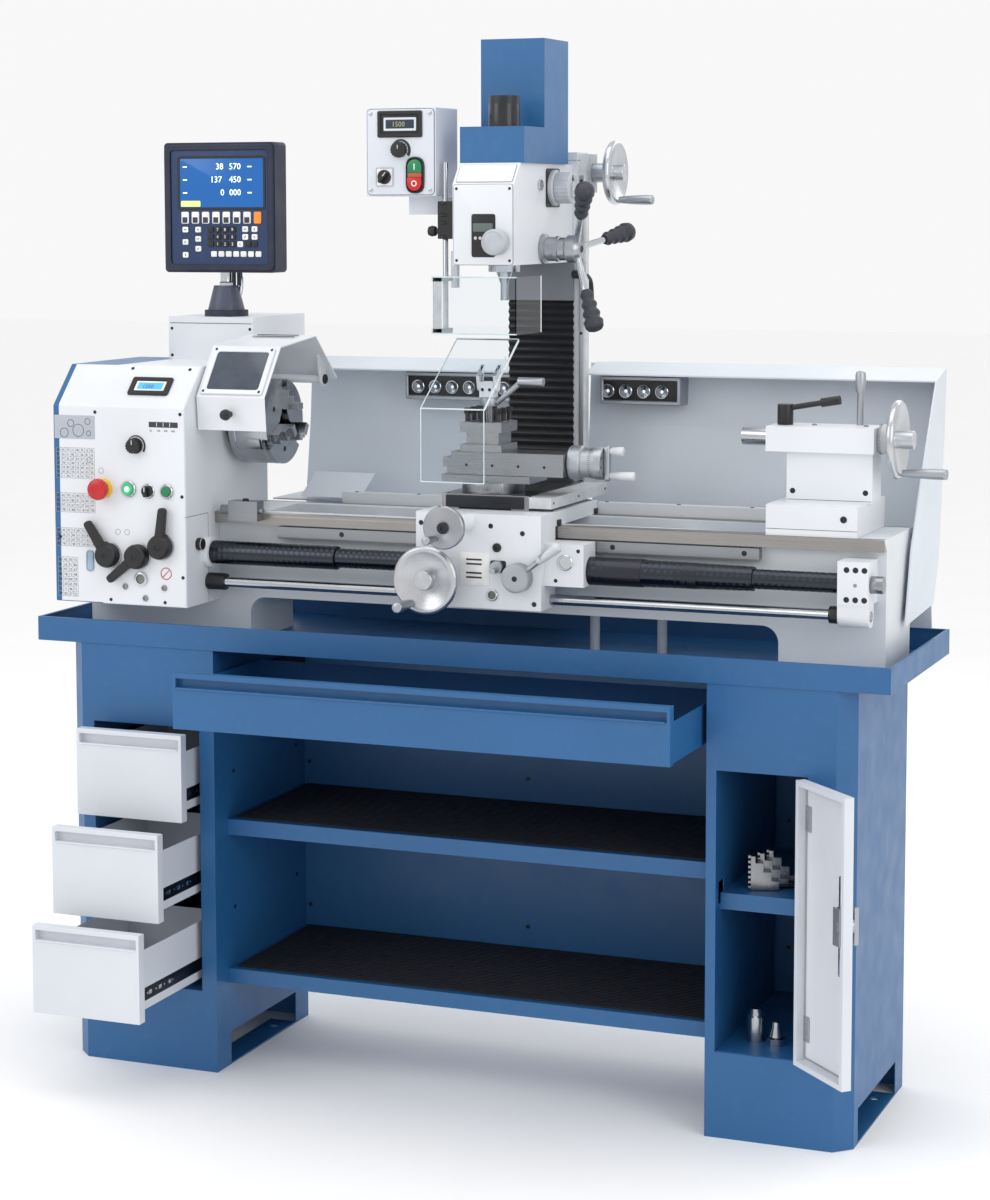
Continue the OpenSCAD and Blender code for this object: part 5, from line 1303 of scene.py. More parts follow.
@dataclass
class Controls(Assembly):
    """Switches, buttons and gear levers on the headstock's front."""

    title: str = "controls"
    panel: float = PANEL_Y - 1.6

    def spot(self, x: float, z: float) -> Place:
        """Board on the panel."""
        return Place.front(x, self.panel, z)

    def build(self) -> None:
        """Each control stands for its solid and moves with it."""
        self.stop()
        self.buttons()
        self.selector()
        self.speed()
        self.levers()

    def collar(self, name: str, at: Place, radius: float, finish: Finish, high: float = 2.6) -> None:
        """Ring that holds a button in the panel."""
        ring = [(0, radius), (high - 1, radius), (high, radius - 1), (high, radius - 3.2), (0, radius - 3.2)]
        self.piece(name, finish, turned(ring, 40).at(at))

    def stop(self) -> None:
        """Emergency stop: yellow collar, red mushroom with a turned edge."""
        at = self.spot(-670, 1094)
        collar = turned([(0, 18.5), (3, 18.5), (9, 16.5), (9, 13.5), (0, 13.5)], 44)
        self.piece("stop_collar", STOP_YELLOW, collar.at(at))
        head = [
            (9.6, ON_AXIS), (9.6, 12), (13, 13), (16, 18.8), (19, 20), (25, 20), (29, 18.2), (30.6, 14),
            (31.4, 7), (31.6, ON_AXIS),
        ]
        self.piece("stop_head", STOP_RED, turned(head, 48).at(at), body="emergency_stop", stands=True)

    def buttons(self) -> None:
        """Lit start button and plain reset button."""
        led = turned([(8, ON_AXIS), (8, 5.6), (8.8, 5.2), (9.2, ON_AXIS)], 28)
        self.piece("start_button_light", LED_GREEN, led.at(self.spot(-617, 1095)), body="start_button")
        for name, x, z, finish, ring, r in (
            ("start_button", -617, 1095, START_GREEN, 15.5, 11.6),
            ("reset_button", -537, 1093, RESET_GREEN, 13.5, 9.8),
        ):
            self.collar(f"{name}_ring", self.spot(x, z), ring, CHROME, 5)
            profile = [(4.4, ON_AXIS), (4.4, r), (7.2, r), (8.6, r - 1.2), (8.2, r - 3), (8, ON_AXIS)]
            cap = turned(profile, 36).at(self.spot(x, z))
            self.piece(f"{name}_cap", finish, cap, body=name, stands=True)

    def selector(self) -> None:
        """Turning switch with a raised bar and a white pointer."""
        at = self.spot(-577, 1092)
        self.collar("selector_ring", at, 14, CHROME)
        base = turned([(0.6, ON_AXIS), (0.6, 10.6), (6.4, 10.6), (7.4, 9.6), (7.4, ON_AXIS)], 36).at(at)
        bar = pad(7, 20, 3, 6.6, 15, 1.6).at(at)
        self.piece("selector_head", BLACK, base, bar, body="selector_switch", stands=True)
        self.piece(
            "selector_pointer", WHITE_PLASTIC, slab(rect(1.4, 9, 0.4, 0, 4.5), 14.8, 15.3, 0.1).at(at),
            body="selector_switch",
        )

    def speed(self) -> None:
        """Fluted speed knob and the arc that widens round it."""
        at = self.spot(-601, 1176)
        self.piece("speed_arc", INK_AND_HOLE_SHADE, growing_arc(17, 4.2, 0, 0.4).at(at))
        skirt = turned([(0.5, 15), (2.4, 15), (3.4, 13.6), (3.4, ON_AXIS)], 40)
        knob = slab(fluted(13.2, 0.7, 16), 0.6, 17, 1.4) + skirt
        self.piece("speed_knob_body", BLACK, knob.at(at), body="speed_knob", stands=True)
        self.piece(
            "speed_knob_line", WHITE_PLASTIC, slab(rect(1.2, 8, 0.3, 0, 7), 16.9, 17.4, 0.1).at(at),
            body="speed_knob",
        )

    def levers(self) -> None:
        """Three moulded gear levers; each arm lies at the angle of its solid."""
        for name, x, z, angle in (
            ("left_lever", -660, 970, 123), ("middle_lever", -598, 970, 219), ("right_lever", -549, 990, 83)
        ):
            at = self.spot(x, z).turned(angle - 90)
            shape = paddle(23, 22, 74, 9.5, 7.5).at(at)
            plate = turned([(0, 25.5), (1.2, 25.5), (1.8, 24.5), (1.8, ON_AXIS)], 44).at(at)
            self.piece(f"{name}_arm", BLACK, shape, body=name, stands=True)
            self.piece(f"{name}_plate", TOOL_STEEL, plate)
            self.piece(f"{name}_cap", DARK_STEEL, cap_screw(5.5, 1.2).at(at.moved(0, 0, 21.4)), body=name)


@dataclass
class Chuck(Assembly):
    """Three-jaw chuck with its jaws, and the guard over it."""

    title: str = "chuck"
    body: str = "spindle"
    radius: float = 80.0
    back: float = -483.0
    front: float = -403.0
    guard_x: float = -425.0
    guard_line: np.ndarray = field(
        default_factory=lambda: np.array([(-167.0, 1267.0), (-97.0, 1358.0), (53.0, 1372.0)])
    )

    def build(self) -> None:
        """Dresses chuck, spindle and jaws, and adds screws, grooves and the guard's pieces."""
        steel = Turned("chuck_steel", (178, 181, 187), (self.back, SPINDLE_Y, SPINDLE_Z), roughness=0.26)
        dress("chuck", steel, 2.2, steps=3)
        dress("spindle", TOOL_STEEL, 1)
        for number in (1, 2, 3):
            dress(f"chuck_jaw_{number}", BRIGHT, 0.7)
        self.rings()
        self.guard()

    def rings(self) -> None:
        """Screws in the chuck's face and fine grooves round its edge."""
        face = Place.right(self.front, SPINDLE_Y, SPINDLE_Z)
        heads = [face.turned(turn).moved(52) for turn in (30, 150, 270)]
        self.fasten("chuck_screws", cap_screw(5.5, 0.6), heads)
        low, high = self.radius + 0.05, self.radius + 0.35
        grooves = turned([(0, low), (0.8, high), (1.6, low), (1.6, 70), (0, 70)], 64)
        spots = [Place.right(x, SPINDLE_Y, SPINDLE_Z) for x in (self.back + 12, self.front - 14)]
        self.piece("chuck_edge_grooves", CHROME, many(grooves, spots))

    def guard(self) -> None:
        """Bent white guard with its window, knob and slots, and the cap of its pin; the pane in the window
        and the slots are dark sheets of painted shade.
        """
        dress("chuck_guard", ENAMEL, 0.8)
        body = "chuck_guard"
        low, bend, high = self.guard_line
        run, slope = high - bend, bend - low
        at = Place((self.guard_x, -132.5, 1312.5), (1, 0, 0), (0, *slope)).moved(0, 0, 0.6)
        frame_shape = frame_ring(rect(126, 104, 5), rect(106, 84, 6), 0, 3.2, 1)
        self.piece("guard_frame", ENAMEL, frame_shape.at(at), body=body)
        # Painted shade: the clear window is drawn as an opaque dark pane.
        self.piece(
            "guard_window_shade", glass("pane_painted_shade", (66, 74, 86)), pad(108, 86, 6, 0.1, 1.2, 0.3).at(at), body=body
        )
        corners = [at.moved(x, y, 3.1) for x in (-57, 57) for y in (-46.6, 46.6)]
        self.fasten("guard_screws", screw_head(2.6, 1), corners, body=body)
        knob = turned(
            [(0, 6), (3, 6), (4, 4.4), (8, 4.4), (11, 9), (17, 10.5), (23, 9), (26, 5), (26.6, ON_AXIS)], 32
        )
        self.piece("guard_knob", BLACK, knob.at(Place.front(self.guard_x, -169.5, 1236)), body=body)
        top = Place((self.guard_x, *(bend + run * 0.5)), (1, 0, 0), (0, *run)).moved(0, 0, 2.2)
        # Dark pads paint the shade in the open slots on the guard's top.
        slots = [pad(88, 7, 3, -0.4, 0.3, 0.1).at(top.moved(0, y)) for y in (38, 58)]
        self.piece("guard_slot_shade", INK_AND_HOLE_SHADE, *slots, body=body)
        cap = turned([(0, 9.5), (2.4, 9.5), (3.2, 8.6), (3.2, 3), (1.6, 2.6), (1.6, ON_AXIS)], 32)
        pin = Place.right(-367, 118, 1285)
        self.piece("guard_pin_cap", DARK_STEEL, cap.at(pin))


@dataclass
class Feed(Assembly):
    """Lead screw under its spiral covers, feed rod and collars."""

    title: str = "feed screws"
    y: float = -119.0
    screw_z: float = 973.0
    rod_z: float = 918.0
    facets: int = 48
    step: float = 0.6

    def spiral(self, start: float, end: float, radii: list, pitch: float) -> Shape:
        """Telescoping spring cover: a helical step winds along cones.

        Args:
            start: X of one end.
            end: X of the other end.
            radii: radius at equal steps along the length.
            pitch: length of one turn of the band.

        Returns:
            The closed surface: radius = the cone's radius plus a saw tooth of the winding phase.
        """
        length = abs(end - start)
        share = np.linspace(0, 1, int(length / pitch * 5) + 1)
        base = np.interp(share, np.linspace(0, 1, len(radii)), radii)
        turn = np.linspace(0, 2 * np.pi, self.facets, endpoint=False)
        phase = share[:, None] * length / pitch - turn[None, :] / (2 * np.pi)
        radius = base[:, None] + self.step * (1 - (phase % 1)) ** 2
        x = start + (end - start) * share
        y, z = self.y + radius * np.cos(turn), self.screw_z + radius * np.sin(turn)
        return loft(np.stack([np.broadcast_to(x[:, None], radius.shape), y, z], -1))

    def build(self) -> None:
        """Dresses the shafts and winds the covers over their tubes."""
        dress("screw_covers", DARK_STEEL, 0.6)
        dress("lead_screw", TOOL_STEEL, 0.8)
        sleeves = [((*x, -136, -102, 902, 934), BLACK) for x in ((-500, -460), (690, 712))]
        dress("feed_rod", BRIGHT, 0.8, sleeves)
        wound = Turned("wound_spring_steel", (62, 65, 72), (0, self.y, self.screw_z), roughness=0.26)
        for name, body, *run in (
            ("left_fixed", "stand", -486.5, -233, [21.6, 21.6], 11),
            ("right_fixed", "stand", 710.6, 377, [17.1, 17.1], 12),
            ("left_moving", "carriage", -323.6, -54.5, [17.6, 17.6], 11),
            ("right_moving", "carriage", 558.6, 259.5, [21.1, 25.1], 12),
        ):
            self.piece(f"cover_{name}", wound, self.spiral(*run), body=body, angle=SOFT_SHADING)
        nut = turned([(0, 15.4), (8, 15.4), (10, 13.8), (20, 13.8), (21.4, 12.4), (21.6, ON_AXIS)], 6)
        self.piece("screw_nut", TOOL_STEEL, nut.at(Place.right(766, self.y, self.screw_z)), body="lead_screw")
        ridge = turned([(0, 15.2), (1.3, 15.9), (2.6, 15.2), (2.6, 12), (0, 12)], 30)
        boards = [Place.right(-497 + 4.4 * n, self.y, self.rod_z) for n in range(8)]
        self.piece("rod_sleeve_ridges", BLACK, many(ridge, boards), body="feed_rod")


# ---- carriage


@dataclass
class Carriage(Assembly):
    """Saddle, apron, cross slide and their handwheels."""

    title: str = "carriage"
    body: str = "carriage"
    wheel_at: tuple = (-17, -208, 955)
    wheel_radius: float = 61.5
    cross_at: tuple = (42, -262, 1057)

    def build(self) -> None:
        """Dresses the castings and slides and adds plates, wheels and levers."""
        covers = [((*x, -145, -93, 947, 999), DARK_STEEL) for x in ((-326, -54.2), (259.2, 560))]
        dress("carriage", ENAMEL, 2.2, covers, 3)
        dress("cross_slide", CROSS_STEEL, 1, [((137.2, 181, -106, 200, 1076, 1098), LIGHT_GREY)])
        dress("swivel_base", TOOL_STEEL, 0.9)
        self.plates()
        self.wheels()
        self.levers()
        self.slide()

    def spot(self, x: float, z: float, out: float = 0) -> Place:
        """Board on the apron."""
        return Place.front(x, APRON_Y - out, z)

    def plates(self) -> None:
        """Plates, oil sight, plug and screws of the apron, the thread dial's ring and the wipers."""
        plate = pad(56, 58, 3, 0, 1, 0.3).at(self.spot(59, 973))
        self.piece("apron_plate", WHITE_PLASTIC, plate)
        bars = [pad(30, 3.2, 1, 0.9, 1.4, 0.2).at(self.spot(58, z)) for z in (990, 982, 966, 958)]
        self.piece("apron_plate_lines", INK_AND_HOLE_SHADE, *bars)
        self.piece("lever_window", BLACK, pad(30, 22, 4, 0, 0.8, 0.3).at(self.spot(104, 979)))
        rim = turned([(0, 10.5), (2.6, 10.5), (3.6, 9.3), (3.6, 7.6), (1, 7.2), (1, ON_AXIS)], 32)
        pane = slab(circle(7.4, 24), 0.8, 2.2, 0.3, 0.9)
        self.sight("apron_sight", rim, pane, glass("sight_dark", (92, 98, 92), 0.08), self.spot(93, 928))
        plug = turned([(0, 8), (3, 8), (4, 6.8), (4, 3.4), (1.6, 3), (1.6, ON_AXIS)], 30)
        self.piece("apron_plug", BLACK, plug.at(self.spot(102, 1013)))
        spots = ((90, 1051), (150, 1040), (6, 1052), (-44, 1052), (172, 915))
        self.fasten("apron_screws", cap_screw(4.6, 1), [self.spot(x, z) for x, z in spots])
        dial = Place.front(229, -155, 985)
        ring = turned([(0, 14), (2, 14), (3, 12.8), (3, 10.6), (0.8, 10.2), (0.8, ON_AXIS)], 36)
        self.piece("thread_dial_ring", CHROME, ring.at(Place.front(225, -155, 990)))
        self.fasten("thread_dial_screws", cap_screw(3.6, 0.8), [dial.moved(-22, -28), dial.moved(20, 26)])
        self.fasten(
            "saddle_screws", screw_head(3.6, 1),
            [Place.top(x, y, 1072) for x in (-44, 174) for y in (-84, 112)],
        )
        ends = [side(x, y, 1052) for y in (-81, 117) for side, x in ((Place.right, 185), (Place.left, -54))]
        corner = pad(5, 20, 1.4, 0, 4, 0.8).at(self.spot(-50, 1060, -72))
        self.piece("way_wipers", BLACK, many(pad(17, 10, 2, 0, 3.2, 0.8), ends), corner)

    def wheels(self) -> None:
        """Dished handwheels of the carriage and the cross slide, with turned handles."""
        carriage = Place.front(*self.wheel_at)
        hub = turned([(-37.6, 20), (-2, 20), (0, 18), (0, ON_AXIS)], 44).at(carriage)
        wheel = dished_wheel(self.wheel_radius, WHEEL_DEPTH, 17, 20).at(carriage)
        grip = handle(64, 6.5, 9.6).at(Place.front(-42, -222, 913.5))
        stem = rounded_rod(4.2, -6, 8, 0.6).at(Place.front(-42, -216, 913.5))
        polished = wheel_face("wheel_face", (196, 198, 202), self.wheel_at, (1, 0, 1), 0.3)
        self.piece(
            "carriage_wheel_rim", polished, wheel, hub, stem, body="carriage_wheel", stands=True,
            angle=WHEEL_SHADING,
        )
        self.piece("carriage_wheel_grip", SATIN, grip, body="carriage_wheel", angle=SOFT_SHADING)
        cross = Place.front(*self.cross_at)
        dial = turned([(-21, 18.4), (-3, 18.4), (-1, 17.4), (0, 15), (0, ON_AXIS)], 60).at(cross)
        rim = turned(
            [(0, ON_AXIS), (0, 35), (2, 37.5), (12, 38), (14, 36), (14.6, 14), (14, 12), (14, ON_AXIS)], 64
        ).at(cross)
        grip = handle(40, 5.2, 7.6).at(Place.front(27, -278, 1038.2))
        polished = wheel_face("cross_wheel_face", (168, 170, 175), self.cross_at, (1, 0, 1), 0.34)
        centre = turned([(13.6, 10), (17.2, 10), (18, 9), (18, 3.5), (16, 3), (16, ON_AXIS)], 36).at(cross)
        self.piece("cross_wheel_centre", DARK_STEEL, centre, body="cross_wheel")
        self.piece(
            "cross_wheel_rim", polished, rim, dial, body="cross_wheel", stands=True, angle=WHEEL_SHADING
        )
        self.piece("cross_wheel_grip", SATIN, grip, body="cross_wheel", angle=SOFT_SHADING)
        outs = spread_x(40)[:, [1, 0, 2]]
        self.piece(
            "cross_dial_marks", INK_AND_HOLE_SHADE, dial_marks((42, -249, 1057), (0, 1, 0), 18.2, outs, (0.6, 5.4, 0.25)),
            body="cross_wheel",
        )

    def levers(self) -> None:
        """Half nut lever and feed lever on the apron."""
        dress("half_nut_lever", SATIN, 2.4, steps=3)
        dress("feed_lever", SATIN, 1.4, steps=3)
        at = self.spot(144, 962, 22)
        dome = turned([(-0.4, 24.6), (1.2, 24.6), (2.2, 22), (2.6, 12), (2.6, ON_AXIS)], 48).at(at)
        self.piece("half_nut_dome", SATIN, dome, body="half_nut_lever")
        cone = turned(
            [(0, ON_AXIS), (0, 5.6), (4, 6.4), (46, 9.6), (50, 8.6), (51.5, 5), (51.8, ON_AXIS)], 32
        )
        tip = pointing((144 + 0.8 * 50, -181, 962 + 0.6 * 50), (0.8, -0.1, 0.6))
        self.piece("half_nut_grip", LIGHT_GREY, cone.at(tip), body="half_nut_lever", angle=SOFT_SHADING)
        self.piece(
            "half_nut_screw", DARK_STEEL, cap_screw(5, 1.4).at(at.moved(0, 0, 2.3)), body="half_nut_lever"
        )

    def slide(self) -> None:
        """Screws and front plate of the cross slide."""
        body = "cross_slide"
        side = [Place.left(-31, y, 1086) for y in (-80, -20, 40, 100, 160)]
        self.fasten("gib_screws", cap_screw(3.2, 0.6), side, body=body)
        top = [Place.top(x, y, 1099) for x in (-22, 128) for y in (-94, 178)]
        self.fasten("slide_screws", cap_screw(4.4, 0.5), top, body=body)
        self.piece(
            "slide_front_plate", DARK_STEEL, pad(150, 22, 2, 0, 3, 0.8).at(Place.front(53, -105, 1086)),
            body=body,
        )
        self.fasten(
            "cover_screws", screw_head(2.6, 0.8), [Place.right(180, y, 1087) for y in (-92, 40, 186)],
            body=body,
        )


@dataclass
class TopSlide(Assembly):
    """Compound slide, tool post, clamp and clear guard."""

    title: str = "top slide"
    body: str = "top_slide"
    post: tuple = (37.0, -45.0)
    post_width: float = 80.0
    swivel: tuple = (47, -45, 1109)
    drum_at: tuple = (196.5, -45, 1157)
    drum_radius: float = 27.2

    def build(self) -> None:
        """Dresses the slides and adds scales, bolts and the graduated drum."""
        block = [((23, 51, -59, -31, 1269.8, 1300), ENAMEL)]
        dress("top_slide", TOOL_STEEL, 0.9, block)
        dress("tool_post", CROSS_STEEL, 1.2, [((-4, 78, -86, -4, 1227.3, 1253), BLACK)], 3)
        dress("tool_clamp", SATIN, 0.9, steps=3)
        dress("tool_guard", CLEAR, 0.5, [((14, 60, -60, -31, 1270, 1310), ENAMEL)])
        self.post_bolts()
        self.scales()
        self.drum()
        self.sheet()

    def post_bolts(self) -> None:
        """Washers and square heads of the bolts that hold the tools."""
        spots = []
        for turn in (0, 90, 180, 270):
            c, s = math.cos(math.radians(turn)), math.sin(math.radians(turn))
            for along in (-1, 1) if turn % 180 == 0 else (0,):
                x, y = along * self.post_width * 0.36, self.post_width * 0.36
                spots.append((self.post[0] + c * x - s * y, self.post[1] + s * x + c * y))
        washer = turned([(0, 8.4), (0.8, 8.4), (1.1, 8), (1.1, ON_AXIS)], 24)
        self.piece(
            "post_washers", TOOL_STEEL, many(washer, [Place.top(x, y, 1227) for x, y in spots]),
            body="tool_post",
        )
        head = pad(10.6, 10.6, 1, 0, 11, 1)
        self.piece(
            "post_bolt_heads", BLACK,
            many(head, [Place.top(x, y, 1241.5).turned(20 * n) for n, (x, y) in enumerate(spots)]),
            body="tool_post",
        )

    def scales(self) -> None:
        """Degree marks round the swivel disc and the screws of the top slide's gib."""
        turn = np.radians(np.arange(-150, -29, 5.0))
        outs = np.stack([np.cos(turn), np.sin(turn), np.zeros(len(turn))], -1)
        marks = dial_marks(self.swivel, (0, 0, 1), 57.6, outs, (0.5, 6, LINE_HEIGHT))
        self.piece("swivel_marks", INK_AND_HOLE_SHADE, marks, body="swivel_base")
        screws = [Place.front(x, -87.1, 1150) for x in (10, 60, 110, 160)]
        self.fasten("top_gib_screws", cap_screw(2.8, 0.6), screws)

    def drum(self) -> None:
        """Graduated drum with its crossbar with two handles; its socket holes are dark discs of painted
        shade.
        """
        at = Place.right(*self.drum_at)
        body = turned(
            [
                (0, 29), (2, 30.6), (22, 30.6), (24, 29), (25, self.drum_radius), (47, self.drum_radius),
                (48, 29.4), (60, 29.6), (63, 28), (63.6, 24), (63.6, ON_AXIS),
            ],
            60,
        )
        arm = pad(15, 64, 7.4, 63.5, 74, 3)
        self.piece("compound_drum", SATIN, body.at(at), body="compound_wheel", stands=True)
        self.piece("compound_arm", SATIN, arm.at(at), body="compound_wheel")
        long_grip = handle(46, 5.4, 8.2).at(at.moved(0, -22, 73))
        short_grip = handle(25, 5.4, 8.2).at(at.moved(0, 22, 73))
        self.piece(
            "compound_grips", LIGHT_GREY, long_grip, short_grip, body="compound_wheel", angle=SOFT_SHADING
        )
        # Painted shade: each socket hole is a shallow dark disc.
        holes = [at.turned(a).moved(21, 0, 63.2) for a in range(15, 360, 45)]
        self.piece(
            "drum_hole_shade", INK_AND_HOLE_SHADE, many(turned([(0, 2.6), (0.5, 2.6), (0.6, 2.2), (0.6, ON_AXIS)], 16), holes),
            body="compound_wheel",
        )
        marks = dial_marks((238, *self.drum_at[1:]), (1, 0, 0), self.drum_radius + 0.1, spread_x(50))
        self.piece("drum_marks", INK_AND_HOLE_SHADE, marks, body="compound_wheel")

    def sheet(self) -> None:
        """Screws that hold the clear sheet to its hinge block, and light rods along the sheet's edges that
        paint its highlight.
        """
        line = [(-145.6, 1123), (-145.6, 1255), (27, 1372.6)]
        sides = (-54.4, 67.4)
        # Painted highlight: opaque light rods along the clear sheet's edges.
        runs = [tube([(x, *end) for end in line], 1, 8, 1) for x in sides]
        runs += [tube([(x, *end) for x in sides], 1, 8, 1) for end in line]
        self.piece("tool_guard_edge_highlights", glass("guard_edge_highlight", (214, 226, 232), 0.15), *runs, body="tool_guard")
        spots = [Place.front(x, -58.2, 1284) for x in (30, 44)]
        self.fasten("hinge_block_screws", cap_screw(3, 0.8), spots)


# ---- tailstock


@dataclass
class Tailstock(Assembly):
    """Tailstock with quill, wheel, dial and its levers."""

    title: str = "tailstock"
    body: str = "tailstock"
    wheel_at: tuple = (770.0, SPINDLE_Y, SPINDLE_Z)

    def build(self) -> None:
        """Dresses the casting and replaces the wheel by a dished one."""
        lever = [((690, 715, 32, 58, 1231.5, 1330), SATIN)]
        dress("tailstock", ENAMEL, 3.4, lever, 4)
        dress("tail_quill", BRIGHT, 0.8)
        dress("quill_lock", BLACK, 2, steps=3)
        self.wheel()
        self.fittings()

    def wheel(self) -> None:
        """Graduated dial, dished wheel, crank handle and the nut of the quill screw."""
        at = Place.right(*self.wheel_at)
        wheel = dished_wheel(69, WHEEL_DEPTH, 16, 36).at(at)
        polished = wheel_face("tail_wheel_face", (200, 203, 207), self.wheel_at, (0, 1, 1), 0.26)
        self.piece("tail_wheel_rim", polished, wheel, body="tail_wheel", stands=True, angle=WHEEL_SHADING)
        dial = turned(
            [(-25, 24), (-24, 26), (-9, 26.2), (-7.6, 25), (-7.6, 15), (0.5, 14), (0.5, ON_AXIS)], 64
        ).at(at)
        self.piece("tail_dial", LIGHT_GREY, dial, body="tail_wheel")
        marks = dial_marks((748.6, SPINDLE_Y, SPINDLE_Z), (1, 0, 0), 26.25, spread_x(50))
        self.piece("tail_dial_marks", INK_AND_HOLE_SHADE, marks, body="tail_wheel")
        crank = handle(78, 6, 9.4).at(Place.right(785, SPINDLE_Y, 1152))
        self.piece("tail_crank", SATIN, crank, body="tail_wheel", angle=SOFT_SHADING)

    def fittings(self) -> None:
        """Screws of neck and base, oilers, seams and the grip of the clamp lever."""
        spots = [Place.front(x, -17, z) for x, z in ((598, 1118), (728, 1118))]
        self.fasten("neck_screws", cap_screw(5, 0.8), spots)
        self.piece(
            "tail_oilers", TOOL_STEEL,
            many(
                turned([(0, 4.5), (2, 4.5), (3, 3), (3.2, ON_AXIS)], 20),
                [Place.top(x, SPINDLE_Y, 1231) for x in (628, 720)],
            ),
        )
        side = Place.front(707, -85, 1078)
        self.piece("base_set_screw", DARK_STEEL, cap_screw(6, 1.6).at(side))
        seam = pad(151, 0.9, 0.2, -0.1, 0.15, 0.05)
        self.piece(
            "tail_seam", INK_AND_HOLE_SHADE, seam.at(Place.front(663.5, -17, 1103)),
            pad(162, 0.9, 0.2, -0.1, 0.15, 0.05).at(Place.front(650, -85, 1058)),
        )
        grip = turned([(0, ON_AXIS), (0, 7.4), (10, 8.8), (30, 9.4), (36, 8), (38, 4), (38.3, ON_AXIS)], 28)
        self.piece("clamp_lever_grip", SATIN, grip.at(Place.top(702, 45, 1288)), angle=SOFT_SHADING)


# ---- milling head


@dataclass
class Column(Assembly):
    """Column with its pleated cover, scale strip and handwheel."""

    title: str = "column"
    wheel_at: tuple = (168.0, 255.0, 1677.0)
    fold: float = 1.6

    def build(self) -> None:
        """Dresses the column and its wheel, and refines the pleats by rounding their folds."""
        strip = [
            ((111.8, 131, 216, 236, 1074.5, 1681), LIGHT_GREY), ((8, 82, 209.5, 216.8, 898, 1716), TOOL_STEEL)
        ]
        dress("column", CASTING, 1.4, strip)
        dress("column_bellows", PLEATS, 0)
        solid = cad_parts["column_bellows"]
        fold = solid.modifiers.new("folds", "BEVEL")
        fold.limit_method, fold.angle_limit = "ANGLE", math.radians(24)
        fold.width, fold.segments, fold.use_clamp_overlap = self.fold / 1000, 3, True
        self.strip()
        self.wheel()

    def strip(self) -> None:
        """Bright insert and screws of the scale strip, and the seam under the column's top."""
        self.piece("strip_insert", SATIN, pad(9, 590, 1, 0, 0.6, 0.2).at(Place.front(121, 217, 1377)))
        spots = [Place.front(121, 216.6, z) for z in (1092, 1376, 1662)]
        self.fasten("strip_screws", cap_screw(3.2, 0.8), spots)
        self.piece(
            "column_top_seam", INK_AND_HOLE_SHADE,
            frame_ring(
                rect(134.8, 103.8, 3), rect(133.4, 102.4, 3), 0, 0.8, 0.2
            ).at(Place.top(45, 268.5, 1700)),
        )

    def wheel(self) -> None:
        """Dished wheel at the column's top with its dial and crank."""
        at = Place.right(*self.wheel_at)
        polished = wheel_face("z_wheel_face", (200, 203, 207), self.wheel_at, (0, 1, 1), 0.26)
        self.piece(
            "z_wheel_rim", polished, dished_wheel(60.5, WHEEL_DEPTH, 15, 26).at(at), body="z_wheel",
            stands=True, angle=WHEEL_SHADING,
        )
        hub = turned([(-35.6, 18), (-3, 18), (0, 16.4), (0.4, ON_AXIS)], 48).at(at)
        self.piece("z_wheel_dial", SATIN, hub, body="z_wheel")
        crank = handle(66, 6, 9.2).at(Place.right(183, 255, 1626))
        self.piece("z_wheel_crank", SATIN, crank, body="z_wheel", angle=SOFT_SHADING)


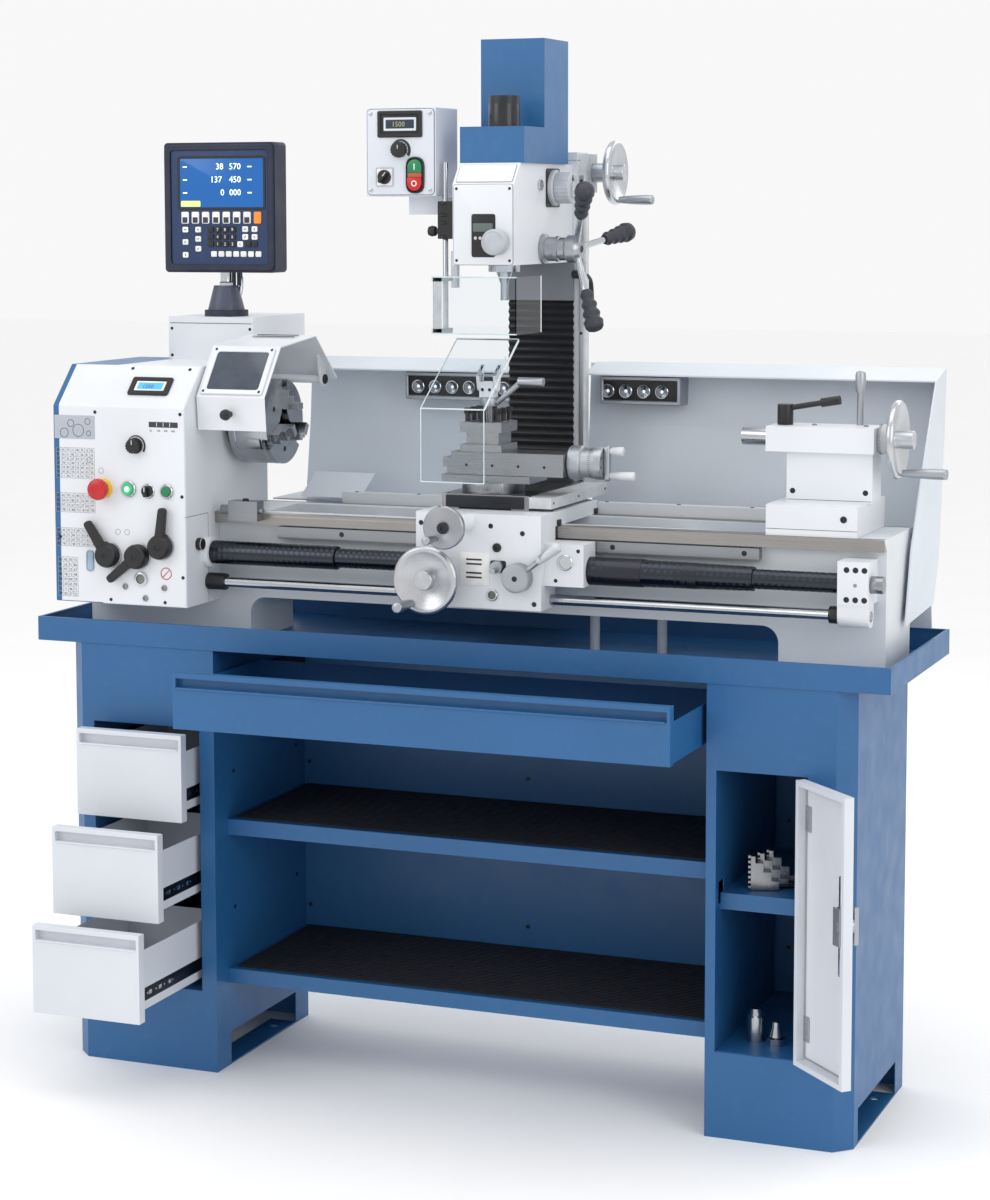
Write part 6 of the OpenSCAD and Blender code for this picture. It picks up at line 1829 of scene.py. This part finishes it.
@dataclass
class MillHead(Assembly):
    """Milling head, its knobs, capstan, motor cover and guards."""

    title: str = "milling head"
    body: str = "head"
    front: float = -90.0
    right: float = 104.0
    capstan_at: tuple = (104.0, 57.0, 1537.0)
    lean: float = 20.0

    def build(self) -> None:
        """Dresses the castings and adds plates, knobs, capstan and covers."""
        zones = [((-45, -14.2, 170, 215, 1466, 1535), BLACK), ((-21, 111, 199, 210, 1437, 1509.8), DARK_GREY)]
        dress("mill_head", ENAMEL, 1.8, zones, 3)
        dress("motor_cover", COVER_BLUE, 2.6, [((31, 89, -54, 4, 1757.2, 1815), BLACK)], 3)
        dress("mill_quill", BRIGHT_UP, 0.7)
        self.plates()
        self.knobs()
        self.capstan()
        self.cover()

    def plates(self) -> None:
        """Front and slope plates, the black panel with its display, screws, oil sight and seams."""
        plate = pad(113, 143, 5, 0, 1.6, 0.5).at(Place.front(45, self.front, 1582))
        self.piece("head_front_plate", ENAMEL, plate)
        slope = Place((45, -74, 1673), (1, 0, 0), (0, 32, 38))
        self.piece("head_slope_plate", ENAMEL, pad(108, 40, 4, 0, 1.4, 0.5).at(slope))
        self.piece("head_panel", BLACK, pad(46, 77, 5, 1.4, 2.6, 0.5).at(Place.front(46, self.front, 1562.5)))
        self.piece(
            "head_display", DULL_SCREEN, pad(38, 15, 1.5, 2.4, 3, 0.2).at(Place.front(45, self.front, 1577))
        )
        self.piece(
            "head_display_keys", LIGHT_GREY,
            many(
                slab(circle(3, 20), 2.5, 3.4, 0.4),
                [Place.front(x, self.front, 1558) for x in (31, 40, 49, 58)],
            ),
        )
        spots = [Place.front(x, self.front - 1.5, z) for x in (-6, 96) for z in (1518, 1646)]
        self.fasten("head_plate_screws", screw_head(2.6, 1), spots)
        sight = Place.right(self.right, 40, 1653)
        rim = turned([(0, 11), (3, 11), (4, 9.8), (4, 8), (1, 7.6), (1, ON_AXIS)], 32)
        pane = slab(circle(7.8, 24), 0.8, 2.4, 0.3, 0.9)
        self.sight("head_sight", rim, pane, glass("head_oil_glass", (120, 124, 112), 0.08), sight)
        seam = frame_ring(
            rect(114.6, 144.6, 6), rect(113, 143, 5), -0.2, 0.5, 0.1
        ).at(Place.front(45, self.front, 1582))
        slope_seam = frame_ring(rect(109.6, 41.6, 5), rect(108, 40, 4), -0.2, 0.5, 0.1).at(slope)
        self.piece("head_plate_seams", INK_AND_HOLE_SHADE, seam, slope_seam)

    def knobs(self) -> None:
        """Domed fine feed knob and the white gear knob on its black plate."""
        at = Place.front(75, self.front, 1551)
        dome = turned(
            [
                (-1, ON_AXIS), (2.9, ON_AXIS), (2.9, 20), (7, 22.8), (24, 23.4), (28, 23), (30.6, 21.4),
                (31, 19), (30.2, 18.4), (31.2, 16), (32, 8), (32.2, ON_AXIS),
            ],
            56,
        )
        self.piece(
            "fine_knob_dome", KNOB_GREY, dome.at(at), body="fine_feed_knob", stands=True, angle=SOFT_SHADING
        )
        side = Place.right(self.right, 106, 1648)
        plate = pad(71, 71, 8, 0, 2.4, 0.8).at(side)
        self.piece("gear_plate", BLACK, plate)
        body = slab(fluted(28.2, 0.5, 24), 12, 40, 2) + turned(
            [(2.5, 33), (9, 33), (11.6, 31), (12.4, 26), (12.4, ON_AXIS)], 60
        )
        body = body + slab(arch(9, -17, 2), 39.5, 44, 1.2)
        self.piece("gear_knob_body", KNOB_GREY, body.at(side), body="gear_knob", stands=True)
        self.piece(
            "gear_knob_mark", INK_AND_HOLE_SHADE, slab(fillet([(-7, 13), (7, 13), (0, 25)], 1, 2), 39.6, 40.3, 0.1).at(side),
            body="gear_knob",
        )

    def capstan(self) -> None:
        """Capstan hub with its collar, three arms and flared rubber grips."""
        at = Place.right(*self.capstan_at)
        hub = turned(
            [
                (0.4, 27), (6, 27), (7, 25), (9, 25), (10, 22), (26, 22), (27, 23.4), (33, 23.4), (34, 21),
                (46, 21), (50, 25), (66, 25), (69, 21), (74.5, 18), (75, 8), (75, ON_AXIS),
            ],
            56,
        )
        steel = Turned("capstan_steel", (172, 175, 181), self.capstan_at, roughness=0.3, rings=500)
        self.piece("capstan_hub", steel, hub.at(at), body="capstan", stands=True)
        arms, grips = [], []
        for turn in (318, 78, 198):
            a, lean = math.radians(turn), math.radians(self.lean)
            out = np.array([math.sin(lean), math.sin(a) * math.cos(lean), math.cos(a) * math.cos(lean)])
            board = pointing((167, *self.capstan_at[1:]), tuple(out))
            arms.append(rounded_rod(6, 14, 96, 1).at(board))
            grips.append(ribbed_grip(72, 17, 4).at(board.moved(0, 0, 84)))
        self.piece("capstan_arms", CHROME, *arms, body="capstan")
        self.piece("capstan_grips", GRIP_BLACK, *grips, body="capstan", angle=60)
        self.piece("capstan_screw", DARK_STEEL, cap_screw(7, 1.2).at(at.moved(0, 0, 74.8)), body="capstan")

    def cover(self) -> None:
        """Drawbar cap on the motor cover, and the lever that locks the head to the column."""
        cap = Place.top(60, -25, 1757)
        shell = turned(
            [(0, 28.6), (3, 28.6), (3.6, 27.8), (40, 27.7), (47, 25.6), (52, 19), (54.4, 10), (55, ON_AXIS)],
            56,
        )
        self.piece("drawbar_cap_shell", SHINY_BLACK, shell.at(cap))
        hub = rounded_rod(8, -2, 15, 2).at(Place.right(110, 205, 1487))
        arm = tube(
            [(118, 205, 1488), (124, 224, 1486), (127, 246, 1474), (128, 254, 1452), (128, 258, 1428)],
            [6, 6.4, 6, 5, 4.4],
        )
        self.piece("column_lock_lever", BLACK, hub, arm)


@dataclass
class ControlBox(Assembly):
    """Milling control box with display, knob, switch and double button."""

    title: str = "control box"
    body: str = "head"
    front: float = -65.0
    middle: tuple = (-125.5, 1713)
    display: tuple = (-126, 1763)

    def spot(self, x: float, z: float, out: float = 0) -> Place:
        """Board on the box."""
        return Place.front(x, self.front - out, z)

    def build(self) -> None:
        """Dresses the box and adds its controls; they are shown at rest."""
        clamp = [((-57, -15, -61, -37, 1555, 1632.8), BLACK)]
        dress("control_box", BOX_GREY, 1.6, clamp, 3)
        face = pad(131, 154, 8, 0, 2, 0.8).at(self.spot(*self.middle))
        self.piece("box_face", BOX_GREY, face)
        self.piece(
            "box_seam", INK_AND_HOLE_SHADE,
            frame_ring(rect(133, 156, 9), rect(131.4, 154.4, 8), 0, 0.5, 0.1).at(self.spot(*self.middle)),
        )
        corners = [self.spot(x, z, 1.9) for x in (-184, -67) for z in (1644, 1782)]
        self.piece("box_screws", CHROME, many(screw_head(4, 1.2), corners))
        at = self.spot(*self.display)
        bezel = frame_ring(rect(88, 48, 4), rect(76, 34, 2), 1.6, 5.4, 1.2) + pad(80, 40, 2, 1.7, 2.6, 0.3)
        self.piece("box_bezel", BLACK, bezel.at(at))
        inner = frame_ring(rect(64, 24, 2), rect(56, 16, 1), 2.4, 3.6, 0.4)
        self.piece("box_screen_frame", BOX_GREY, inner.at(at))
        self.piece("box_screen", DARK_SCREEN, pad(57, 17, 1, 2.4, 3.2, 0.2).at(at))
        self.piece(
            "box_digits", DIGIT_GOLD, figures("1500", 13, self.spot(-142, 1758.5, 3.4)), angle=FLAT_SHADING
        )
        knob = turned([(0, 5), (7, 5), (9, 8.6), (16, 10), (22, 8), (24, 4), (24.4, ON_AXIS)], 32)
        self.piece("clamp_knob", BLACK, knob.at(Place.left(-55, -49, 1570)))
        bands = turned([(0, 11.6), (0.8, 13.6), (5.2, 13.6), (6, 11.6)], 32)
        self.piece(
            "clamp_bands", BLACK, many(bands, [Place.top(-45, -49, z) for z in (1557, 1582, 1596, 1618)])
        )
        self.pot()
        self.rotary()
        self.buttons()

    def pot(self) -> None:
        """Speed knob with the arc round it."""
        at = self.spot(-126, 1717)
        self.piece("box_arc", INK_AND_HOLE_SHADE, growing_arc(15.6, 6.2, 1.9, 2.3).at(at))
        knob = slab(fluted(14.2, 0.5, 16), 2, 15, 1.2)
        self.piece("box_knob", BLACK, knob.at(at))
        self.piece("box_knob_line", WHITE_PLASTIC, slab(rect(1, 7, 0.3, 0, 5), 14.9, 15.3, 0.1).at(at))

    def rotary(self) -> None:
        """Turning switch on a square plate."""
        at = self.spot(-156.5, 1668)
        self.piece(
            "rotary_rim", MID_GREY, frame_ring(rect(34, 34, 3), rect(30.6, 30.6, 2), 1.8, 4.6, 0.5).at(at)
        )
        self.piece("rotary_plate", WHITE_PLASTIC, pad(32, 32, 3, 1.8, 3.9, 0.4).at(at))
        collar = turned([(4, 13), (6.4, 13), (7.4, 12), (7.4, ON_AXIS)], 36).at(at)
        self.piece("rotary_head", BLACK, collar, pad(7, 25, 3, 7, 16, 1.8).at(at.turned(-38)))
        self.piece(
            "rotary_mark", WHITE_PLASTIC, slab(rect(1.2, 9, 0.4, 0, 6), 15.8, 16.3, 0.1).at(at.turned(-38))
        )

    def buttons(self) -> None:
        """Double button: green above, red below, with plain bars as marks."""
        at = self.spot(-96, 1671)
        self.piece(
            "double_frame", BLACK, frame_ring(rect(36, 66, 17.8), rect(29, 59, 14.4), 1.8, 6.4, 1.2).at(at),
            pad(32, 62, 15.8, 1.8, 3, 0.4).at(at),
        )
        self.piece("double_green", RESET_GREEN, slab(arch(13.8, 4.2, 14.6), 2.8, 8.2, 1).at(at))
        self.piece("double_red", STOP_RED, slab(arch(13.8, 4.2, 14.6), 2.8, 9.4, 1).at(at.turned(180)))
        self.piece("double_middle", AMBER, pad(27.4, 7.6, 1, 2.8, 8, 0.8).at(at))
        bar = pad(2, 11, 0.4, 8.1, 8.5, 0.1).at(at.moved(0, 15))
        ring = frame_ring(circle(5.4, 28), circle(3.6, 28), 9.2, 9.7, 0.1).at(at.moved(0, -15))
        self.piece("double_marks", WHITE_PLASTIC, bar, ring)


@dataclass
class SpindleGuard(Assembly):
    """Clear guard round the milling spindle on its upright rod."""

    title: str = "spindle guard"
    body: str = "spindle_guard"

    def build(self) -> None:
        """Clear sheets with a steel rod and blocks, chosen by place, and light strips that paint the
        highlight along the sheets' lower and upper edges.
        """
        steel = [
            ((-52, -38, -56, -42, 1385, 1700), BRIGHT_UP), ((-56, -34, -92.2, -38, 1384, 1492), LIGHT_GREY)
        ]
        dress("spindle_guard", CLEAR, 0.5, steel)
        # Painted highlight: opaque light strips along the clear sheet's edges.
        edges = [pad(161, 2.4, 0.8, 0, 3.4, 0.4).at(Place.front(29.5, -91.8, z)) for z in (1386.8, 1488.2)]
        self.piece("guard_edge_highlights", glass("sheet_edge_highlight", (196, 214, 222), 0.15), *edges)


# ---- display and backsplash


@dataclass
class Readout(Assembly):
    """Position display on its cone, with screen, keys and cable."""

    title: str = "position display"
    body: str = "dro_unit"
    face: float = 110.0
    centre: tuple = (-585.0, 135.0)
    glass_at: tuple = (-579, 1661)
    key_step: float = 22.4
    first_key: float = -658.0

    def spot(self, x: float, z: float, out: float = 0) -> Place:
        """Board on the display's front."""
        return Place.front(x, self.face - out, z)

    def build(self) -> None:
        """Rounds the housing and sets the front plate, screen, numbers, keys and cable."""
        cone = ((-630, -540, 90, 180, 1402, 1461.7), CONE_GREY)
        dress("dro_unit", HOUSING, 2.6, [((-597, -573, 122, 148, 1461.8, 1487.8), CHROME), cone], 4)
        rim = frame_ring(rect(236, 244, 14), rect(210, 220, 8), 0, 5, 1.8)
        self.piece("display_rim", HOUSING, rim.at(self.spot(-585, 1613.5)))
        self.piece("display_front", DISPLAY_FACE, pad(212, 222, 8, 0, 2.2, 0.4).at(self.spot(-582, 1613.5)))
        self.piece(
            "display_glass_frame", BLACK,
            frame_ring(rect(190, 103, 5), rect(180, 94, 3), 2, 3.6, 0.6).at(self.spot(*self.glass_at)),
        )
        self.screen()
        self.keys()
        self.neck()

    def screen(self) -> None:
        """Lit screen: three rows of plain numbers with their bars and the tag row."""
        self.piece("display_screen", SCREEN, pad(182, 96, 3, 2, 2.7, 0.2).at(self.spot(*self.glass_at)))
        lines = (
            (-591, "38", 1687), (-603, "137", 1662), (-581, "0", 1637), (-562, "570", 1687),
            (-562, "450", 1662), (-562, "000", 1637),
        )
        rows = [figures(text, 17, self.spot(x, z, 2.9)) for x, text, z in lines]
        self.piece("display_numbers", SCREEN_INK, *rows, angle=FLAT_SHADING)
        bars = [
            pad(9, 2.2, 0.6, 2.6, 3, 0.1).at(self.spot(x, z))
            for z in (1692, 1667, 1642) for x in (-658, -518)
        ]
        self.piece("display_axis_marks", SCREEN_INK, *bars)
        self.piece("display_tag", SCREEN_TAG, pad(42, 11, 1.5, 2.6, 3, 0.1).at(self.spot(-646, 1621)))

    def keys(self) -> None:
        """Rubber keys in their rows: white, black and one orange, with plain marks."""
        key = pad(16, 23, 3, 2, 5, 1.2)
        small = pad(12.4, 11, 2.5, 2, 4.8, 1.1)
        top = [self.spot(self.first_key + self.key_step * n, 1594) for n in range(8)]
        self.piece("function_keys", WHITE_PLASTIC, many(key, top[:7]))
        self.piece("orange_key", ORANGE, key.at(top[7]))
        digits = [self.spot(-603 + 16 * n, z) for n in range(4) for z in (1571, 1557, 1543)]
        self.piece(
            "number_keys", BLACK, many(small, digits), small.at(self.spot(-508, 1543)),
            small.at(self.spot(-522, 1543)),
        )
        white = [(self.first_key, z) for z in (1571, 1547, 1522)] + [(-630, z) for z in (1571, 1553, 1534)]
        white += [(x, z) for x in (-508, -528) for z in (1572, 1557)] + [(-539, 1543)]
        self.piece("white_keys", WHITE_PLASTIC, many(small, [self.spot(x, z) for x, z in white]))
        dot = pad(5, 1.6, 0.4, 4.7, 5, 0.1)
        dots = [self.spot(x, z).turned(45 * n) for n, (x, z) in enumerate(white)]
        square = pad(11, 11, 1, 4.9, 5.2, 0.1)
        self.piece(
            "key_marks", INK_AND_HOLE_SHADE, many(dot, dots), many(square, [board.moved(0, -4.5) for board in top[:7]])
        )
        low = [self.spot(-596 + 16 * n, 1524) for n in range(7)]
        self.piece("low_keys", WHITE_PLASTIC, many(small, low))
        names = [
            figures(str((n + 1) % 10), 8.6, self.spot(-589.6 + 16 * (n % 3), 1540.2 + 14 * (n // 3), 4.9))
            for n in range(9)
        ]
        self.piece("key_numbers", WHITE_PLASTIC, *names, angle=FLAT_SHADING)

    def neck(self) -> None:
        """Chrome nut on the cone and the flexible cable that drops into the cabinet."""
        x, y = self.centre
        nut = turned([(0, 15), (6, 15), (8, 13), (8, 11.2), (0, 11.2)], 6).at(Place.top(x, y, 1462))
        self.piece("cone_nut", CHROME, nut)
        path = [
            (x + 22, y + 14, 1494), (x + 27, y + 12, 1474), (x + 27, y + 9, 1452), (x + 22, y + 6, 1436),
            (x + 15, y + 3, 1428),
        ]
        self.piece("display_cable", CHROME, tube(path, 4.2, 16, 10))


@dataclass
class Backsplash(Assembly):
    """Bent splash sheet with lamps, rear rail and chip ramp."""

    title: str = "backsplash"

    def build(self) -> None:
        """Dresses sheet and lamps by place and adds lenses, rims, closing strips and screws."""
        lamps = [((*x, 284, 332, 1237.5, 1294), SATIN) for x in ((-268.5, -29.5), (136.5, 297.5))]
        rail = [((-337, 521, 128, 151, 1044.5, 1068), CASTING)]
        dress("backsplash", SPLASH, 0.9, lamps + rail)
        self.lamps()
        self.edges()

    def lamps(self) -> None:
        """Grey frames round black fronts, chrome rings with dark cups, and a lit point in each."""
        for name, middle, width in (("left", -149, 237), ("right", 217, 159)):
            at = Place.front(middle, 284.9, 1265.5)
            frame_shape = frame_ring(rect(width, 54, 4), rect(width - 12, 38, 2), -1, 7, 1.6)
            self.piece(f"{name}_lamp_frame", SATIN, frame_shape.at(at))
            self.piece(f"{name}_lamp_front", BLACK, pad(width - 10, 40, 2, 0, 2, 0.4).at(at))
        spots = [Place.front(x, 283, 1264) for x in (-241, -205, -169, -133, -97, -61, 152, 188, 224, 260)]
        ring = turned([(0, 13.4), (3.4, 13.4), (4.4, 12.2), (4.2, 11), (1.2, 10.2), (0, 10.2)], 40)
        cup = turned([(0.2, 10.4), (2.6, 10.4), (0.9, 5.4), (0.5, 3.2), (0.5, ON_AXIS)], 36)
        light = turned([(0.4, 3.3), (1.2, 2.8), (1.6, 1.6), (1.7, ON_AXIS)], 24)
        self.piece("lamp_rings", CHROME, many(ring, spots))
        self.piece("lamp_cups", LENS, many(cup, spots), angle=SOFT_SHADING)
        self.piece("lamp_lights", LED, many(light, spots), angle=SOFT_SHADING)
        rows = [*np.arange(-260, -36, 9.0), *np.arange(143, 292, 9.0)]
        ribs = [pad(1.6, 40, 0.4, 0, 1.4, 0.3).at(Place.top(x, 308, 1293)) for x in rows]
        self.piece("lamp_ribs", SATIN, *ribs)

    def edges(self) -> None:
        """Screws along the foot and strips that close the sheet beside the column."""
        line = [(255, 1295), (335, 1314), (325, 1197), (292, 974), (250.2, 893.5)]
        whole = [bent_sheet(line, 3, x) for x in ((112.8, 135), (-27, -22.8))]
        upper = [(335, 1314), (325, 1197), (304.8, 1060.5)]
        whole += [bent_sheet(upper, 3, x) for x in ((99.6, 112.8), (-22.8, -9.6))]
        self.piece("splash_closing_strips", SPLASH, *whole)
        foot = [Place.front(x, 250.2, 872) for x in np.linspace(-440, 740, 7)]
        self.fasten("splash_screws", screw_head(4, 1.4), foot)
        self.fasten(
            "rail_screws", cap_screw(4.4, 0.8),
            [Place.top(x, 139.5, 1067) for x in (-310, -180, 200, 340, 480)],
        )


# ---- view and light


@dataclass(frozen=True)
class View:
    """Camera of the photo, solved from straight edges of the machine."""

    place: tuple = (1852.76, -4624.93, 1612.29)
    yaw: float = 0.3832
    pitch: float = 0.0997
    roll: float = -0.0024
    focal: float = 2723.0358
    height: int = 1200
    sensor: float = 36.0
    shift: tuple = (0.0181, -0.1)

    def set_up(self) -> None:
        """Adds the camera, looking along its three axes."""
        level = math.cos(self.pitch)
        right = np.array([math.cos(self.yaw), math.sin(self.yaw), 0.0])
        forward = np.array([-right[1] * level, right[0] * level, -math.sin(self.pitch)])
        up = np.cross(right, forward)
        c, s = math.cos(self.roll), math.sin(self.roll)
        axes = np.stack([right * c + up * s, up * c - right * s, -forward])
        lens = bpy.data.cameras.new("photo_view")
        lens.sensor_fit, lens.sensor_width = "AUTO", self.sensor
        lens.lens = self.focal * self.sensor / self.height
        lens.shift_x, lens.shift_y = self.shift
        lens.clip_start, lens.clip_end = 0.05, 60.0
        camera = bpy.data.objects.new("photo_view", lens)
        matrix = np.eye(4)
        matrix[:3, :3] = axes.T
        matrix[:3, 3] = np.array(self.place) / 1000
        camera.matrix_world = Matrix(matrix.tolist())
        bpy.context.scene.collection.objects.link(camera)
        bpy.context.scene.camera = camera


@dataclass(frozen=True)
class Lamp:
    """Large soft light that looks at a point of the machine."""

    name: str
    place: tuple
    aim: tuple
    size: tuple
    power: float

    def set_up(self) -> None:
        """Adds the light."""
        data = bpy.data.lights.new(self.name, "AREA")
        data.shape, data.energy = "RECTANGLE", self.power
        data.size, data.size_y = self.size
        lamp = bpy.data.objects.new(self.name, data)
        lamp.location = self.place
        direction = Vector(self.aim) - Vector(self.place)
        lamp.rotation_euler = direction.to_track_quat("-Z", "Y").to_euler()
        bpy.context.scene.collection.objects.link(lamp)


LIGHTS = (
    Lamp("key_left", (-3.2, -3.6, 3.4), (0.0, 0.0, 0.9), (2.6, 2.6), 45.0),
    Lamp("fill_right", (4.2, -2.4, 2.6), (0.0, 0.0, 0.8), (2.4, 3.0), 42.0),
    Lamp("over_head", (0.2, -0.6, 4.4), (0.0, 0.0, 1.0), (3.4, 2.6), 38.0),
    Lamp("rear_strip", (1.0, 3.4, 3.0), (0.0, 0.0, 1.2), (3.0, 1.4), 14.0),
)


FLOOR_PAPER = Paint("floor_paper", (252, 252, 252), "white_plastic", 0.9, 900.0, 0.00001, 0.0, 0.008)
FLOOR_REACH = 30.0
SKY_STRENGTH = 0.94


def set_stage() -> None:
    """Pale floor and even surroundings."""
    mesh = bpy.data.meshes.new("floor")
    corners = [(x * FLOOR_REACH, y * FLOOR_REACH, 0) for x, y in ((-1, -1), (1, -1), (1, 1), (-1, 1))]
    mesh.from_pydata(corners, [], [(0, 1, 2, 3)])
    mesh.materials.append(FLOOR_PAPER.material())
    floor = bpy.data.objects.new("floor", mesh)
    bpy.context.scene.collection.objects.link(floor)
    world = bpy.data.worlds.new("surroundings")
    world.use_nodes = True
    background = world.node_tree.nodes["Background"]
    background.inputs["Color"].default_value = (1.0, 1.0, 1.0, 1.0)
    background.inputs["Strength"].default_value = SKY_STRENGTH
    bpy.context.scene.world = world
    bpy.context.scene.view_settings.view_transform = "Standard"


def main() -> None:
    """Builds every sub-assembly in order, then the camera, the lights and the floor."""
    logging.basicConfig(level=logging.INFO, format="%(message)s")
    makers = (
        Stand, Drawers, CupboardDoor, Bed, Headstock, Controls, Chuck, Feed, Carriage, TopSlide, Tailstock
    )
    makers += (Column, MillHead, ControlBox, SpindleGuard, Readout, Backsplash)
    for maker in makers:
        maker().build()
    View().set_up()
    for lamp in LIGHTS:
        lamp.set_up()
    set_stage()


if __name__ == "__main__":
    main()
